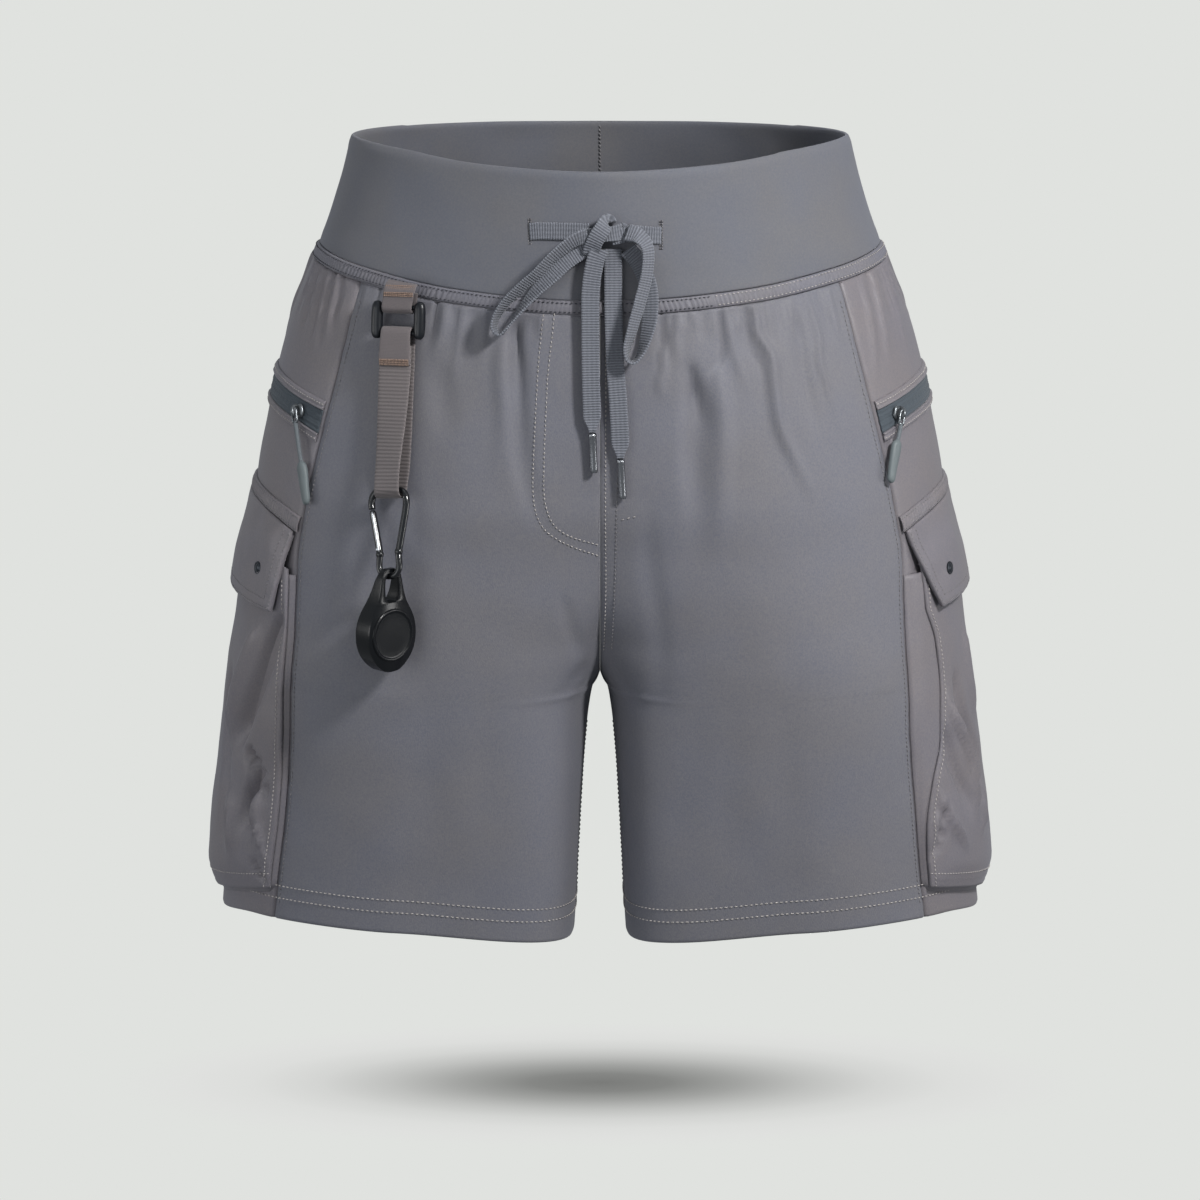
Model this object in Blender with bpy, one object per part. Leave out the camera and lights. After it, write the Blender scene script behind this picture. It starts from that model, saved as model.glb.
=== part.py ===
# Running shorts with cargo pockets, worn shape, no wearer.
# A wide folded waistband, two legs of front, back and side panels, bellows
# cargo pockets with snapped flaps, slanted zips, a flat drawstring tied in a
# bow, and a webbing strap on a ring with a carabiner and a round fob.
# Metres, +Z up, the front faces -Y; the origin is the middle of the waist
# opening, where the wearer holds the garment.
import math
import bpy
import bmesh
from mathutils import Vector

MM = 0.001

# ---------------------------------------------------------------- sizes (m)
CLOTH = 1.2 * MM          # wall of a body panel
BAND_WALL = 2.4 * MM      # waistband, cloth folded double
GAP = 0.3 * MM            # every seam and every piece that lies on another
FORK_Z = -309.4 * MM      # crotch point below the waist line
HEM_Z = -453.5 * MM       # nominal hem level
CASING_H = 7.6 * MM       # gathered strip under the waistband

# Level sections through one half of the garment, mm.  Each half is a rounded
# lobe; "out" is the side outline, "front" and "back" its depths, "split" how
# far the halves have parted (0 one body, 1 two legs), "inner" the inner edge
# of the leg, "n_out"/"n_in" how square the lobe is on its two sides.
SECTION_COLS = ("z", "out", "front", "back", "split", "inner", "n_out", "n_in")
SECTIONS = (
    (0.0, 144.5, 108, 108, 0.00, 0.0, 1.64, 2.2),
    (-30.0, 151.7, 109, 111, 0.00, 0.0, 1.74, 2.2),
    (-46.0, 156.7, 110, 113.4, 0.00, 0.0, 1.80, 2.2),
    (-62.0, 163.0, 111, 116, 0.00, 0.0, 1.86, 2.2),
    (-95.0, 176.2, 115, 122, 0.05, 0.0, 1.93, 2.2),
    (-128.0, 185.5, 118, 127, 0.11, 0.0, 1.97, 2.25),
    (-161.0, 193.2, 119, 130, 0.19, 0.0, 2.0, 2.3),
    (-194.6, 199.5, 119, 131, 0.30, 0.0, 2.0, 2.35),
    (-225.0, 202.6, 117, 130, 0.43, 0.0, 2.0, 2.4),
    (-250.0, 205.0, 116, 128, 0.56, 0.0, 1.98, 2.5),
    (-275.0, 207.2, 114, 124, 0.73, 0.0, 1.95, 2.6),
    (-292.0, 208.8, 112.3, 120.6, 0.88, 0.0, 1.93, 2.7),
    (-302.0, 209.7, 110.7, 118.6, 0.96, 0.0, 1.92, 2.8),
    (-309.4, 210.3, 109.4, 116.7, 1.00, 0.0, 1.92, 2.8),
    (-314.0, 210.8, 108.9, 115.9, 1.00, 4.2, 1.915, 2.82),
    (-326.0, 212.0, 107.5, 113.6, 1.00, 6.4, 1.905, 2.88),
    (-363.0, 215.5, 103, 108, 1.00, 9.4, 1.87, 3.1),
    (-414.0, 220.4, 97, 100, 1.00, 12.4, 1.82, 3.4),
    (-470.0, 225.4, 90, 92, 1.00, 15.2, 1.78, 3.5),
)

# Lines that run round the garment, by the angle t from the side (0 side,
# -90 front, +90 back, beyond that the inner leg), heights in mm.
EDGE_COLS = ("t", "top", "band", "hem")
EDGES = (
    (-180, -4.6, -76.8, -467.0),
    (-140, -4.6, -76.8, -460.5),
    (-90, -4.6, -76.8, -450.8),
    (-60, -2.8, -72.6, -449.0),
    (-35, 0.6, -66.2, -449.8),
    (0, 2.0, -60.5, -456.0),
    (35, -0.3, -64.0, -455.0),
    (60, -2.6, -68.5, -455.0),
    (90, -5.0, -71.0, -456.0),
    (140, -5.0, -71.0, -462.0),
    (180, -5.0, -71.0, -467.0),
)

# Side seam, by height: angle of the seam ahead of (and behind) the side line.
SEAM_COLS = ("z", "t")
SEAM = (
    (-60, 33.0), (-85, 35.3), (-110, 36.8), (-165, 37.6), (-224, 37.8),
    (-260, 41.0), (-300, 45.0), (-340, 47.6), (-375, 47.5), (-423, 46.2),
    (-470, 43.5),
)


def read(table, cols, name, x):
    """Smooth value of one named column of a table at x (first column)."""
    k = cols.index(name)
    rows = table if table[0][0] < table[-1][0] else table[::-1]
    if x <= rows[0][0]:
        return rows[0][k]
    if x >= rows[-1][0]:
        return rows[-1][k]
    i = 0
    while rows[i + 1][0] < x:
        i += 1

    def slope(j):
        if j <= 0 or j >= len(rows) - 1:
            return None
        a = (rows[j][k] - rows[j - 1][k]) / (rows[j][0] - rows[j - 1][0])
        b = (rows[j + 1][k] - rows[j][k]) / (rows[j + 1][0] - rows[j][0])
        return 0.0 if a * b <= 0 else 2 * a * b / (a + b)
    h = rows[i + 1][0] - rows[i][0]
    d = (rows[i + 1][k] - rows[i][k]) / h
    m0, m1 = slope(i), slope(i + 1)
    m0 = d if m0 is None else m0
    m1 = d if m1 is None else m1
    s = (x - rows[i][0]) / h
    return ((2 * s ** 3 - 3 * s ** 2 + 1) * rows[i][k] + (s ** 3 - 2 * s ** 2 + s) * h * m0
            + (3 * s ** 2 - 2 * s ** 3) * rows[i + 1][k] + (s ** 3 - s ** 2) * h * m1)


_cache = {}


def lobe(z):
    """Half-width, centre, depths, squareness and end angles of one half."""
    key = round(z, 7)
    if key not in _cache:
        out, front, back, split, inner, n_out, n_in = (
            read(SECTIONS, SECTION_COLS, c, z / MM) for c in SECTION_COLS[1:])
        if z < FORK_Z - 1e-7:
            split = (out + inner) / (out - inner)
        a = out / (1.0 + split)
        if split < 1.0:
            q = (1.0 - split ** n_in) ** (1.0 / n_in)
            end = math.atan2(q, -split)
        else:
            end = math.pi
        _cache[key] = (a * MM, split * a * MM, front * MM, back * MM, n_out, n_in, end)
    return _cache[key]


def skin(t, z):
    """Point of the garment's left half (+X) at angle t and height z."""
    a, cx, front, back, n_out, n_in, _end = lobe(z)
    c, s = math.cos(t), math.sin(t)
    n = n_out if c >= 0 else n_in
    rho = (abs(c) ** n + abs(s) ** n) ** (-1.0 / n)
    return Vector((cx + a * rho * c, (front if s < 0 else back) * rho * s, z))


def normal(t, z):
    e = 1e-4
    end = lobe(z)[6]
    du = skin(min(t + e, end), z) - skin(max(t - e, -end), z)
    dz = skin(t, z + e) - skin(t, z - e)
    n = du.cross(dz)
    return n.normalized()


def angle_at(x, z, back=False):
    """Angle whose point has the given X on the front (or back)."""
    lo, hi = 0.0, lobe(z)[6]
    for _ in range(40):
        mid = 0.5 * (lo + hi)
        if skin(mid, z).x > x:
            lo = mid
        else:
            hi = mid
    return lo if back else -lo


def deg_line(name, t):
    return read(EDGES, EDGE_COLS, name, math.degrees(t)) * MM


def seam_angle(z):
    return math.radians(read(SEAM, SEAM_COLS, "t", z / MM))

# ---------------------------------------------------------------- folds
# The largest gathers and folds.  "half" -1 is the wearer's right, +1 the
# left; "at" runs along X on front and back and along Y on the side panels,
# at the top and at the end of the fold; "rise" is its height (mm).
FOLD_COLS = ("half", "panel", "at_top", "at_end", "z_top", "z_end", "width", "rise")
FOLDS = (
    (-1, "front", 92.0, 100.5, -70, -125, 17, 2.4),
    (-1, "front", 82.5, 92.0, -74, -150, 18, -2.2),
    (-1, "front", 56.0, 57.5, -80, -185, 20, 2.6),
    (-1, "front", 46.0, 32.0, -80, -225, 20, -2.8),
    (-1, "front", 120.0, 124.0, -66, -135, 17, -1.8),
    (+1, "front", 42.5, 47.0, -76, -140, 18, 2.4),
    (+1, "front", 66.0, 62.5, -80, -200, 24, -3.4),
    (+1, "front", 83.0, 126.0, -74, -215, 19, 2.8),
    (+1, "front", 107.0, 115.0, -70, -130, 17, 2.2),
    (+1, "front", 115.0, 140.0, -70, -160, 17, -2.0),
    (+1, "front", 30.0, 28.0, -80, -165, 20, -2.0),
    (-1, "side", -24.0, -38.0, -62, -150, 18, -2.2),
    (-1, "side", 22.0, 30.0, -62, -140, 18, -2.2),
    (+1, "side", -30.0, -46.0, -62, -140, 18, 2.2),
    (+1, "side", 18.0, 26.0, -62, -140, 18, -2.2),
    (-1, "back", 34.0, 38.0, -68, -150, 22, -2.6),
    (-1, "back", 74.0, 80.0, -66, -165, 24, 2.8),
    (-1, "back", 112.0, 124.0, -62, -150, 20, -2.4),
    (+1, "back", 40.0, 44.0, -68, -165, 24, 2.8),
    (+1, "back", 84.0, 92.0, -66, -150, 22, -2.6),
    (+1, "back", 118.0, 130.0, -62, -155, 20, 2.4),
    (-1, "front", 120.0, 128.0, -300, -452, 46, 2.0),
    (+1, "front", 112.0, 104.0, -290, -452, 50, 2.2),
    (-1, "back", 110.0, 118.0, -290, -452, 46, 2.4),
    (+1, "back", 120.0, 112.0, -290, -452, 50, -2.2),
)


def smooth(x):
    x = max(0.0, min(1.0, x))
    return x * x * (3 - 2 * x)


def fold_rise(half, panel, t, z, p):
    """Height of the cloth above the plain form, from the fold table."""
    d = 0.0
    ts = seam_angle(z)
    edge = abs(abs(t) - ts) * 0.11 / MM          # mm from the side seam
    for row in FOLDS:
        f = dict(zip(FOLD_COLS, row))
        if f["half"] != half or f["panel"] != panel:
            continue
        zz = z / MM
        k = (f["z_top"] - zz) / (f["z_top"] - f["z_end"])
        if k < 0 or k > 1:
            continue
        at = f["at_top"] + (f["at_end"] - f["at_top"]) * k
        here = (p.y if panel == "side" else p.x) / MM
        w = abs(here - at) / (0.5 * f["width"])
        if w >= 1:
            continue
        along = smooth(k / 0.12) * (1 - smooth((k - 0.45) / 0.55))
        if f["z_end"] < -400:                    # a hem flute opens downwards
            along = smooth(k)
        d += f["rise"] * MM * along * (0.5 + 0.5 * math.cos(math.pi * w))
    return d * smooth(edge / 9.0)


# ---------------------------------------------------------------- materials
def srgb(r, g, b):
    def lin(v):
        v /= 255.0
        return v / 12.92 if v <= 0.04045 else ((v + 0.055) / 1.055) ** 2.4
    return (lin(r), lin(g), lin(b), 1.0)


FINISHES = {
    "shell_cloth": (srgb(106, 106, 110), 0.80, 0.0),
    "band_cloth": (srgb(98, 102, 106), 0.82, 0.0),
    "side_cloth": (srgb(108, 104, 106), 0.78, 0.0),
    "zip_tape": (srgb(68, 76, 82), 0.75, 0.0),
    "cord_tape": (srgb(104, 106, 112), 0.85, 0.0),
    "webbing": (srgb(120, 110, 106), 0.85, 0.0),
    "zip_metal": (srgb(96, 98, 100), 0.35, 0.9),
    "grip_rubber": (srgb(120, 128, 128), 0.6, 0.0),
    "black_plastic": (srgb(26, 32, 38), 0.35, 0.0),
    "black_metal": (srgb(24, 28, 34), 0.28, 0.6),
    "tip_metal": (srgb(120, 122, 124), 0.3, 1.0),
}


def material(name, finish):
    colour, rough, metal = FINISHES[finish]
    m = bpy.data.materials.new(name + "_finish")
    m.use_nodes = True
    b = m.node_tree.nodes["Principled BSDF"]
    b.inputs["Base Color"].default_value = colour
    b.inputs["Roughness"].default_value = rough
    b.inputs["Metallic"].default_value = metal
    return m


# ---------------------------------------------------------------- builders
ROOT = None


def start():
    global ROOT
    for o in list(bpy.data.objects):
        bpy.data.objects.remove(o, do_unlink=True)
    ROOT = bpy.data.objects.new("garment_origin", None)
    bpy.context.scene.collection.objects.link(ROOT)


def add(name, verts, faces, finish, origin=None, shade=False):
    """One closed body, faces out, with its origin where it turns."""
    o = Vector(origin) if origin is not None else Vector((0, 0, 0))
    verts = [Vector(v) - o for v in verts]
    vol = 0.0
    for f in faces:
        for i in range(1, len(f) - 1):
            a, b, c = verts[f[0]], verts[f[i]], verts[f[i + 1]]
            vol += a.dot(b.cross(c))
    if vol < 0:
        faces = [tuple(reversed(f)) for f in faces]
    me = bpy.data.meshes.new(name)
    me.from_pydata([tuple(v) for v in verts], [], faces)
    me.update()
    if shade:
        me.shade_smooth()
        me.set_sharp_from_angle(angle=math.radians(50))
    ob = bpy.data.objects.new(name, me)
    bpy.context.scene.collection.objects.link(ob)
    ob.location = o
    ob.parent = ROOT
    me.materials.append(material(name, finish))
    return ob


def slab(name, outer, inner, finish, holes=(), origin=None, shade=False):
    """A wall between two grids of points; cells listed in holes are left out."""
    ni, nj = len(outer), len(outer[0])
    present = {(i, j) for i in range(ni - 1) for j in range(nj - 1)} - set(holes)
    used = {}
    verts = []

    def vid(layer, i, j):
        key = (layer, i, j)
        if key not in used:
            used[key] = len(verts)
            verts.append((outer if layer == 0 else inner)[i][j])
        return used[key]
    faces = []
    for (i, j) in sorted(present):
        faces.append((vid(0, i, j), vid(0, i, j + 1), vid(0, i + 1, j + 1), vid(0, i + 1, j)))
        faces.append((vid(1, i, j), vid(1, i + 1, j), vid(1, i + 1, j + 1), vid(1, i, j + 1)))
        sides = (((i, j), (i, j + 1), (i - 1, j)), ((i, j + 1), (i + 1, j + 1), (i, j + 1)),
                 ((i + 1, j + 1), (i + 1, j), (i + 1, j)), ((i + 1, j), (i, j), (i, j - 1)))
        for a, b, nb in sides:
            if nb not in present:
                faces.append((vid(0, *b), vid(0, *a), vid(1, *a), vid(1, *b)))
    return add(name, verts, faces, finish, origin, shade)


def tube(name, points, radii, finish, sides=8, closed=False, origin=None):
    """Round bar along points, radius by point; ends capped unless closed."""
    n = len(points)
    pts = [Vector(p) for p in points]
    tang = []
    for i in range(n):
        a = pts[(i - 1) % n] if closed or i else pts[0]
        b = pts[(i + 1) % n] if closed or i < n - 1 else pts[-1]
        tang.append((b - a).normalized())
    ref = tang[0].orthogonal().normalized()
    frames = []
    for i in range(n):
        ref = (ref - tang[i] * ref.dot(tang[i])).normalized()
        frames.append((ref.copy(), tang[i].cross(ref)))
    verts, faces = [], []
    for i in range(n):
        r = radii[i] if isinstance(radii, (list, tuple)) else radii
        u, v = frames[i]
        for k in range(sides):
            a = 2 * math.pi * k / sides
            verts.append(pts[i] + u * (r * math.cos(a)) + v * (r * math.sin(a)))
    shift = 0
    if closed:
        u0 = frames[0][0]
        last = frames[-1][0]
        last = (last - tang[0] * last.dot(tang[0])).normalized()
        ang = math.atan2(last.dot(frames[0][1]), last.dot(u0))
        shift = int(round(ang / (2 * math.pi / sides)))
    for i in range(n if closed else n - 1):
        j = (i + 1) % n
        sh = shift if closed and i == n - 1 else 0
        for k in range(sides):
            k2 = (k + 1) % sides
            faces.append((i * sides + k, i * sides + k2,
                          j * sides + (k2 + sh) % sides, j * sides + (k + sh) % sides))
    if not closed:
        faces.append(tuple(range(sides - 1, -1, -1)))
        faces.append(tuple(range((n - 1) * sides, n * sides)))
    return add(name, verts, faces, finish, origin, shade=True)


def ribbon(name, points, across, width, thick, finish, origin=None):
    """Flat tape along points; across is its width direction at each."""
    n = len(points)
    pts = [Vector(p) for p in points]
    rows_o, rows_i = [], []
    for i in range(n):
        tan = (pts[min(i + 1, n - 1)] - pts[max(i - 1, 0)]).normalized()
        w = Vector(across[i])
        w = (w - tan * w.dot(tan)).normalized()
        up = tan.cross(w)
        half = (width[i] if isinstance(width, list) else width) / 2
        rows_o.append([pts[i] + w * (s * half) + up * (thick / 2) for s in (-1, 1)])
        rows_i.append([pts[i] + w * (s * half) - up * (thick / 2) for s in (-1, 1)])
    return slab(name, rows_o, rows_i, finish, origin=origin)


def smooth_path(rows, count):
    """Even points on a smooth curve through rows of numbers."""
    def at(u):
        i = min(int(u), len(rows) - 2)
        f = u - i
        p0, p1 = rows[max(i - 1, 0)], rows[i]
        p2, p3 = rows[i + 1], rows[min(i + 2, len(rows) - 1)]
        return tuple(0.5 * (2 * b + (c - a) * f + (2 * a - 5 * b + 4 * c - d) * f * f
                            + (3 * b - a - 3 * c + d) * f ** 3)
                     for a, b, c, d in zip(p0, p1, p2, p3))
    fine = [at(u * (len(rows) - 1) / 400.0) for u in range(401)]
    run = [0.0]
    for a, b in zip(fine, fine[1:]):
        run.append(run[-1] + math.dist(a[:3], b[:3]))
    out, k = [], 0
    for j in range(count):
        want = run[-1] * j / (count - 1)
        while k < 399 and run[k + 1] < want:
            k += 1
        f = (want - run[k]) / max(run[k + 1] - run[k], 1e-12)
        out.append(tuple(a + (b - a) * f for a, b in zip(fine[k], fine[k + 1])))
    return out


# ---------------------------------------------------------------- body cloth
def side_of(half, p):
    return Vector((half * p.x, p.y, p.z))


def cloth_point(half, panel, t, z, off):
    """Point off metres outside the cloth, on its folds."""
    p = skin(t, z)
    n = normal(t, z)
    d = fold_rise(half, panel, t, z, p) if panel else 0.0
    q = p + n * (off + d)
    if q.x < GAP / 2:
        q.x = GAP / 2
    return side_of(half, q)


def on_front(x, z, off, lift=0.0):
    """Point over the front at X = x mm, z mm, off mm outside the cloth."""
    half = -1 if x < 0 else 1
    t = angle_at(abs(x) * MM, z * MM)
    p = skin(t, z * MM) + normal(t, z * MM) * (off * MM)
    return side_of(half, p)


def level(zn, t, z_top, z_bottom, top_line, hem_line):
    """Height of a grid row: level in the middle, on the seams at the ends."""
    a = smooth((zn - (z_top - 90 * MM)) / (90 * MM))
    b = smooth(((z_bottom + 70 * MM) - zn) / (70 * MM))
    return zn + a * (top_line(t) - z_top) + b * (hem_line(t) - z_bottom)


def body_top(t):
    return deg_line("band", t) - CASING_H - 2 * GAP


def body_hem(t):
    return deg_line("hem", t)


BODY_ROWS = (-80, -90, -103, -119, -138, -160, -188, -218, -247, -272, -291, -302,
             -309.4, -313.8, -323, -345, -375, -410, -435, -453.5)
SIDE_ROWS = (-68, -80, -96, -116, -135, -147, -159, -178, -198, -212, -222, -240, -262,
             -285, -312, -340, -370, -400, -424, -441, -453.5)


def body_panel(name, half, where, cols, finish):
    sign = -1 if where == "front" else 1
    outer, inner = [], []
    for zn in BODY_ROWS:
        zn *= MM
        ro, ri = [], []
        for j in range(cols + 1):
            v = j / cols
            t = 0.0
            z = zn
            for _ in range(3):
                end = lobe(z)[6]
                ts = seam_angle(z) + GAP / 2 / 0.11
                te = end
                if end >= math.pi - 1e-6:
                    te = math.pi - GAP / 2 / 0.09
                t = sign * (ts + (te - ts) * v)
                z = level(zn, t, BODY_ROWS[0] * MM, HEM_Z, body_top, body_hem)
            d = fold_rise(half, where, t, z, skin(t, z))
            n = normal(t, z)
            p = skin(t, z) + n * d
            q = p - n * CLOTH
            for w in (p, q):
                w.x = max(w.x, GAP / 2)
                if v == 1:
                    w.y = min(w.y, -GAP / 2) if sign < 0 else max(w.y, GAP / 2)
            ro.append(side_of(half, p))
            ri.append(side_of(half, q))
        outer.append(ro)
        inner.append(ri)
    return slab(name, outer, inner, finish)


SIDE_COLS_U = (-1, -0.72, -0.48, -0.24, 0, 0.24, 0.48, 0.72, 1)


def side_grid_point(half, u, z, off):
    """Point of the side panel: u runs from front seam (-1) to back seam (1)."""
    ts = seam_angle(z) - GAP / 2 / 0.11
    t = u * ts
    return cloth_point(half, "side", t, z, off)


def side_z(zn, u):
    t = u * seam_angle(zn * MM)
    return level(zn * MM, t, SIDE_ROWS[0] * MM, HEM_Z, body_top, body_hem)


def side_panel(name, half):
    outer = [[side_grid_point(half, u, side_z(zn, u), 0.0) for u in SIDE_COLS_U]
             for zn in SIDE_ROWS]
    inner = [[side_grid_point(half, u, side_z(zn, u), -CLOTH) for u in SIDE_COLS_U]
             for zn in SIDE_ROWS]
    return slab(name, outer, inner, "side_cloth")


RING_COLS = 48


def ring_columns():
    for j in range(RING_COLS + 1):
        a = -180.0 + 360.0 * j / RING_COLS
        half = -1 if a < 0 else 1
        yield half, math.radians(abs(a) - 90.0), j in (0, RING_COLS)


def ring_band(name, z_lines, out_off, in_off, finish):
    """A strip all round the garment, open by the gap at the back seam."""
    outer, inner = [], []
    for zl in z_lines:
        ro, ri = [], []
        for half, t, end in ring_columns():
            z = zl(t)
            te = max(-lobe(z)[6], min(lobe(z)[6], t))
            n = normal(te, z)
            p, q = skin(te, z) + n * out_off, skin(te, z) + n * in_off
            for w in (p, q):
                if end or abs(abs(te) - lobe(z)[6]) < 1e-6:
                    w.x = GAP / 2 if end else 0.0
            ro.append(side_of(half, p))
            ri.append(side_of(half, q))
        outer.append(ro)
        inner.append(ri)
    return slab(name, outer, inner, finish)


def build_cloth():
    def frac(f):
        return lambda t: (deg_line("top", t) * (1 - f) + deg_line("band", t) * f)
    ring_band("waistband", [frac(f) for f in (0, 0.3, 0.65, 1)], 0.0, -BAND_WALL, "band_cloth")
    ring_band("waist_casing", [lambda t: deg_line("band", t) - GAP,
                               lambda t: deg_line("band", t) - GAP - CASING_H],
              0.8 * MM, -1.6 * MM, "shell_cloth")
    for half, who in ((-1, "right"), (1, "left")):
        body_panel("front_" + who, half, "front", 14, "shell_cloth")
        body_panel("back_" + who, half, "back", 10, "shell_cloth")
        side_panel("side_" + who, half)


# ---------------------------------------------------------------- side pieces
# Cargo pocket, by height: how far its face stands off the panel in the middle
# and at the border, and how far the stitched front edge lies behind the seam
# on the wearer's right and left.
POCKET_COLS = ("z", "middle", "border", "inset_right", "inset_left")
POCKET = (
    (-236, 5.2, 5.0, 3.0, 8.0),
    (-262, 5.4, 5.0, 3.2, 14.0),
    (-285, 6.6, 5.0, 3.4, 24.0),
    (-312, 8.3, 5.0, 3.2, 28.0),
    (-340, 9.0, 5.0, 3.0, 26.0),
    (-370, 9.8, 5.0, 3.0, 14.0),
    (-400, 11.0, 5.2, 3.2, 6.0),
    (-424, 11.0, 5.2, 3.4, 4.0),
    (-434, 8.4, 5.0, 3.4, 4.0),
    (-441, 5.4, 4.8, 3.4, 4.0),
)
POCKET_BOTTOM = -444.0
FACE_U = (-1, -0.86, -0.58, -0.29, 0, 0.29, 0.58, 0.86, 1)


# Lines across the side panel, by u from the front seam to the back seam (mm)
LINE_COLS = ("u", "zip_up", "zip_low", "band_top", "band_low", "flap_low", "pocket_low")
LINES = (
    (-1.0, -147.0, -161.5, -209.5, -218.5, -266.0, -432.0),
    (-0.7, -142.5, -155.5, -203.0, -211.5, -264.5, -437.0),
    (-0.35, -138.0, -151.5, -198.5, -206.5, -262.5, -442.5),
    (0.0, -136.0, -149.5, -197.0, -205.0, -261.5, -446.0),
    (0.35, -137.5, -151.0, -198.5, -206.5, -262.5, -444.0),
    (0.7, -140.5, -154.0, -203.0, -211.5, -264.5, -441.0),
    (1.0, -143.5, -157.0, -209.5, -218.5, -266.0, -438.0),
)


def line_z(name, u):
    return read(LINES, LINE_COLS, name, u) * MM


def pocket_z(z, u):
    """Height on the pocket: level above, along its sloping bottom below."""
    k = smooth((-340.0 - z) / (-340.0 - POCKET_BOTTOM))
    return z * MM + k * (line_z("pocket_low", u) - POCKET_BOTTOM * MM)


def pocket(name, half):
    inset = "inset_right" if half < 0 else "inset_left"
    rows = [r[0] for r in POCKET]
    wall = 1.2 * MM

    def edge_u(z, extra):
        """u of the face's front edge, extra mm further in."""
        ts = seam_angle(z * MM)
        return 1.0 - (read(POCKET, POCKET_COLS, inset, z) + extra) * MM / (0.115 * ts)

    def back_u(z, extra):
        ts = seam_angle(z * MM)
        return 1.0 - (3.2 + extra) * MM / (0.115 * ts)
    outer, inner = [], []
    for z in rows:
        f, b = edge_u(z, 0.0), back_u(z, 0.0)
        mid, brd = (read(POCKET, POCKET_COLS, c, z) for c in ("middle", "border"))
        ro, ri = [], []
        for u in FACE_U:
            v = u * (f if u < 0 else b)
            e = (brd + (mid - brd) * (1 - abs(u) ** 2.2)) * MM
            zz = pocket_z(z, v)
            if z == rows[0]:
                zz = line_z("band_low", v) - 30 * MM
            ro.append(side_grid_point(half, v, zz, e))
            ri.append(side_grid_point(half, v, zz, e - wall))
        outer.append(ro)
        inner.append(ri)
    slab("pocket_face_" + name, outer, inner, "side_cloth")
    # bellows strip: down the front edge, along the bottom and up the back
    path = []
    strip_rows = [-245] + rows[1:-1]
    for z in strip_rows:
        path.append(((-back_u(z, -2.4), z), (-edge_u(z, 4.5), z)))
    zb = POCKET_BOTTOM - 1.5
    path.append(((-back_u(zb, -2.4), zb), (-edge_u(zb, 5.0), zb + 7)))
    for u in (-0.72, -0.48, -0.24, 0.0, 0.24, 0.48, 0.72):
        path.append(((u, zb), (u, zb + 7)))
    path.append(((back_u(zb, -2.4), zb), (back_u(zb, 5.0), zb + 7)))
    for z in strip_rows[::-1]:
        path.append(((back_u(z, -2.4), z), (back_u(z, 4.5), z)))
    outer, inner = [], []
    for (ua, za), (ub, zb2) in path:
        ro, ri = [], []
        for k, e in ((0.0, 2.4), (0.5, 3.0), (1.0, 3.4)):
            u, z = ua + (ub - ua) * k, za + (zb2 - za) * k
            zz = pocket_z(z, u)
            ro.append(side_grid_point(half, u, zz, e * MM))
            ri.append(side_grid_point(half, u, zz, (e - 1.2) * MM))
        outer.append(ro)
        inner.append(ri)
    slab("pocket_gusset_" + name, outer, inner, "side_cloth")


def strip(name, half, us, top, low, offs_out, offs_in, finish, rows=1, holes=()):
    """A piece that lies on the side panel between two of its lines."""
    outer, inner = [], []
    for i in range(rows + 1):
        k = i / rows
        ro, ri = [], []
        for u in us:
            z = top(u) * (1 - k) + low(u) * k
            eo = offs_out(u, k) if callable(offs_out) else offs_out
            ei = offs_in(u, k) if callable(offs_in) else offs_in
            ro.append(side_grid_point(half, u, z, eo))
            ri.append(side_grid_point(half, u, z, ei))
        outer.append(ro)
        inner.append(ri)
    return slab(name, outer, inner, finish, holes)


# How far the flap's outer face stands off the panel, by share of its height
FLAP_COLS = ("share", "proud")
FLAP = ((0.0, 3.1), (0.25, 5.3), (0.45, 7.3), (0.72, 9.6), (1.0, 10.8))
FLAP_TAPER = {-1: 0.10, 1: 0.24}   # share of the panel the front edge slants in

# Zip pull: heights and places of its parts (mm); slider and grip end lie at
# u, z on the side panel.
PULLS = {-1: dict(u=-0.76, z=-150.7, end_u=-1.07, end_z=-200.0),
         1: dict(u=-0.80, z=-151.4, end_u=-1.06, end_z=-187.3)}
BAR_H = 4.3 * MM           # hinge bar above the zip tape
TAPE_TOP = 1.2 * MM        # outer face of the zip tape above the panel


def pull_frame(half):
    """Hinge centre, its axis, the hanging direction and the outward one."""
    q = PULLS[half]
    base = side_grid_point(half, q["u"], q["z"] * MM, 0.0)
    ts = seam_angle(q["z"] * MM)
    n = side_of(half, normal(q["u"] * ts, q["z"] * MM))
    hinge = base + n * (TAPE_TOP + BAR_H)
    tse = seam_angle(q["end_z"] * MM)
    ne = side_of(half, normal(q["end_u"] * tse, q["end_z"] * MM))
    end = side_grid_point(half, q["end_u"], q["end_z"] * MM, 0.0) + ne * 4.4 * MM
    down = (end - hinge).normalized()
    axis = down.cross(n).normalized()
    out = axis.cross(down).normalized()
    if out.dot(n) < 0:
        out = -out
    return hinge, axis, down, out, (end - hinge).length


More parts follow.
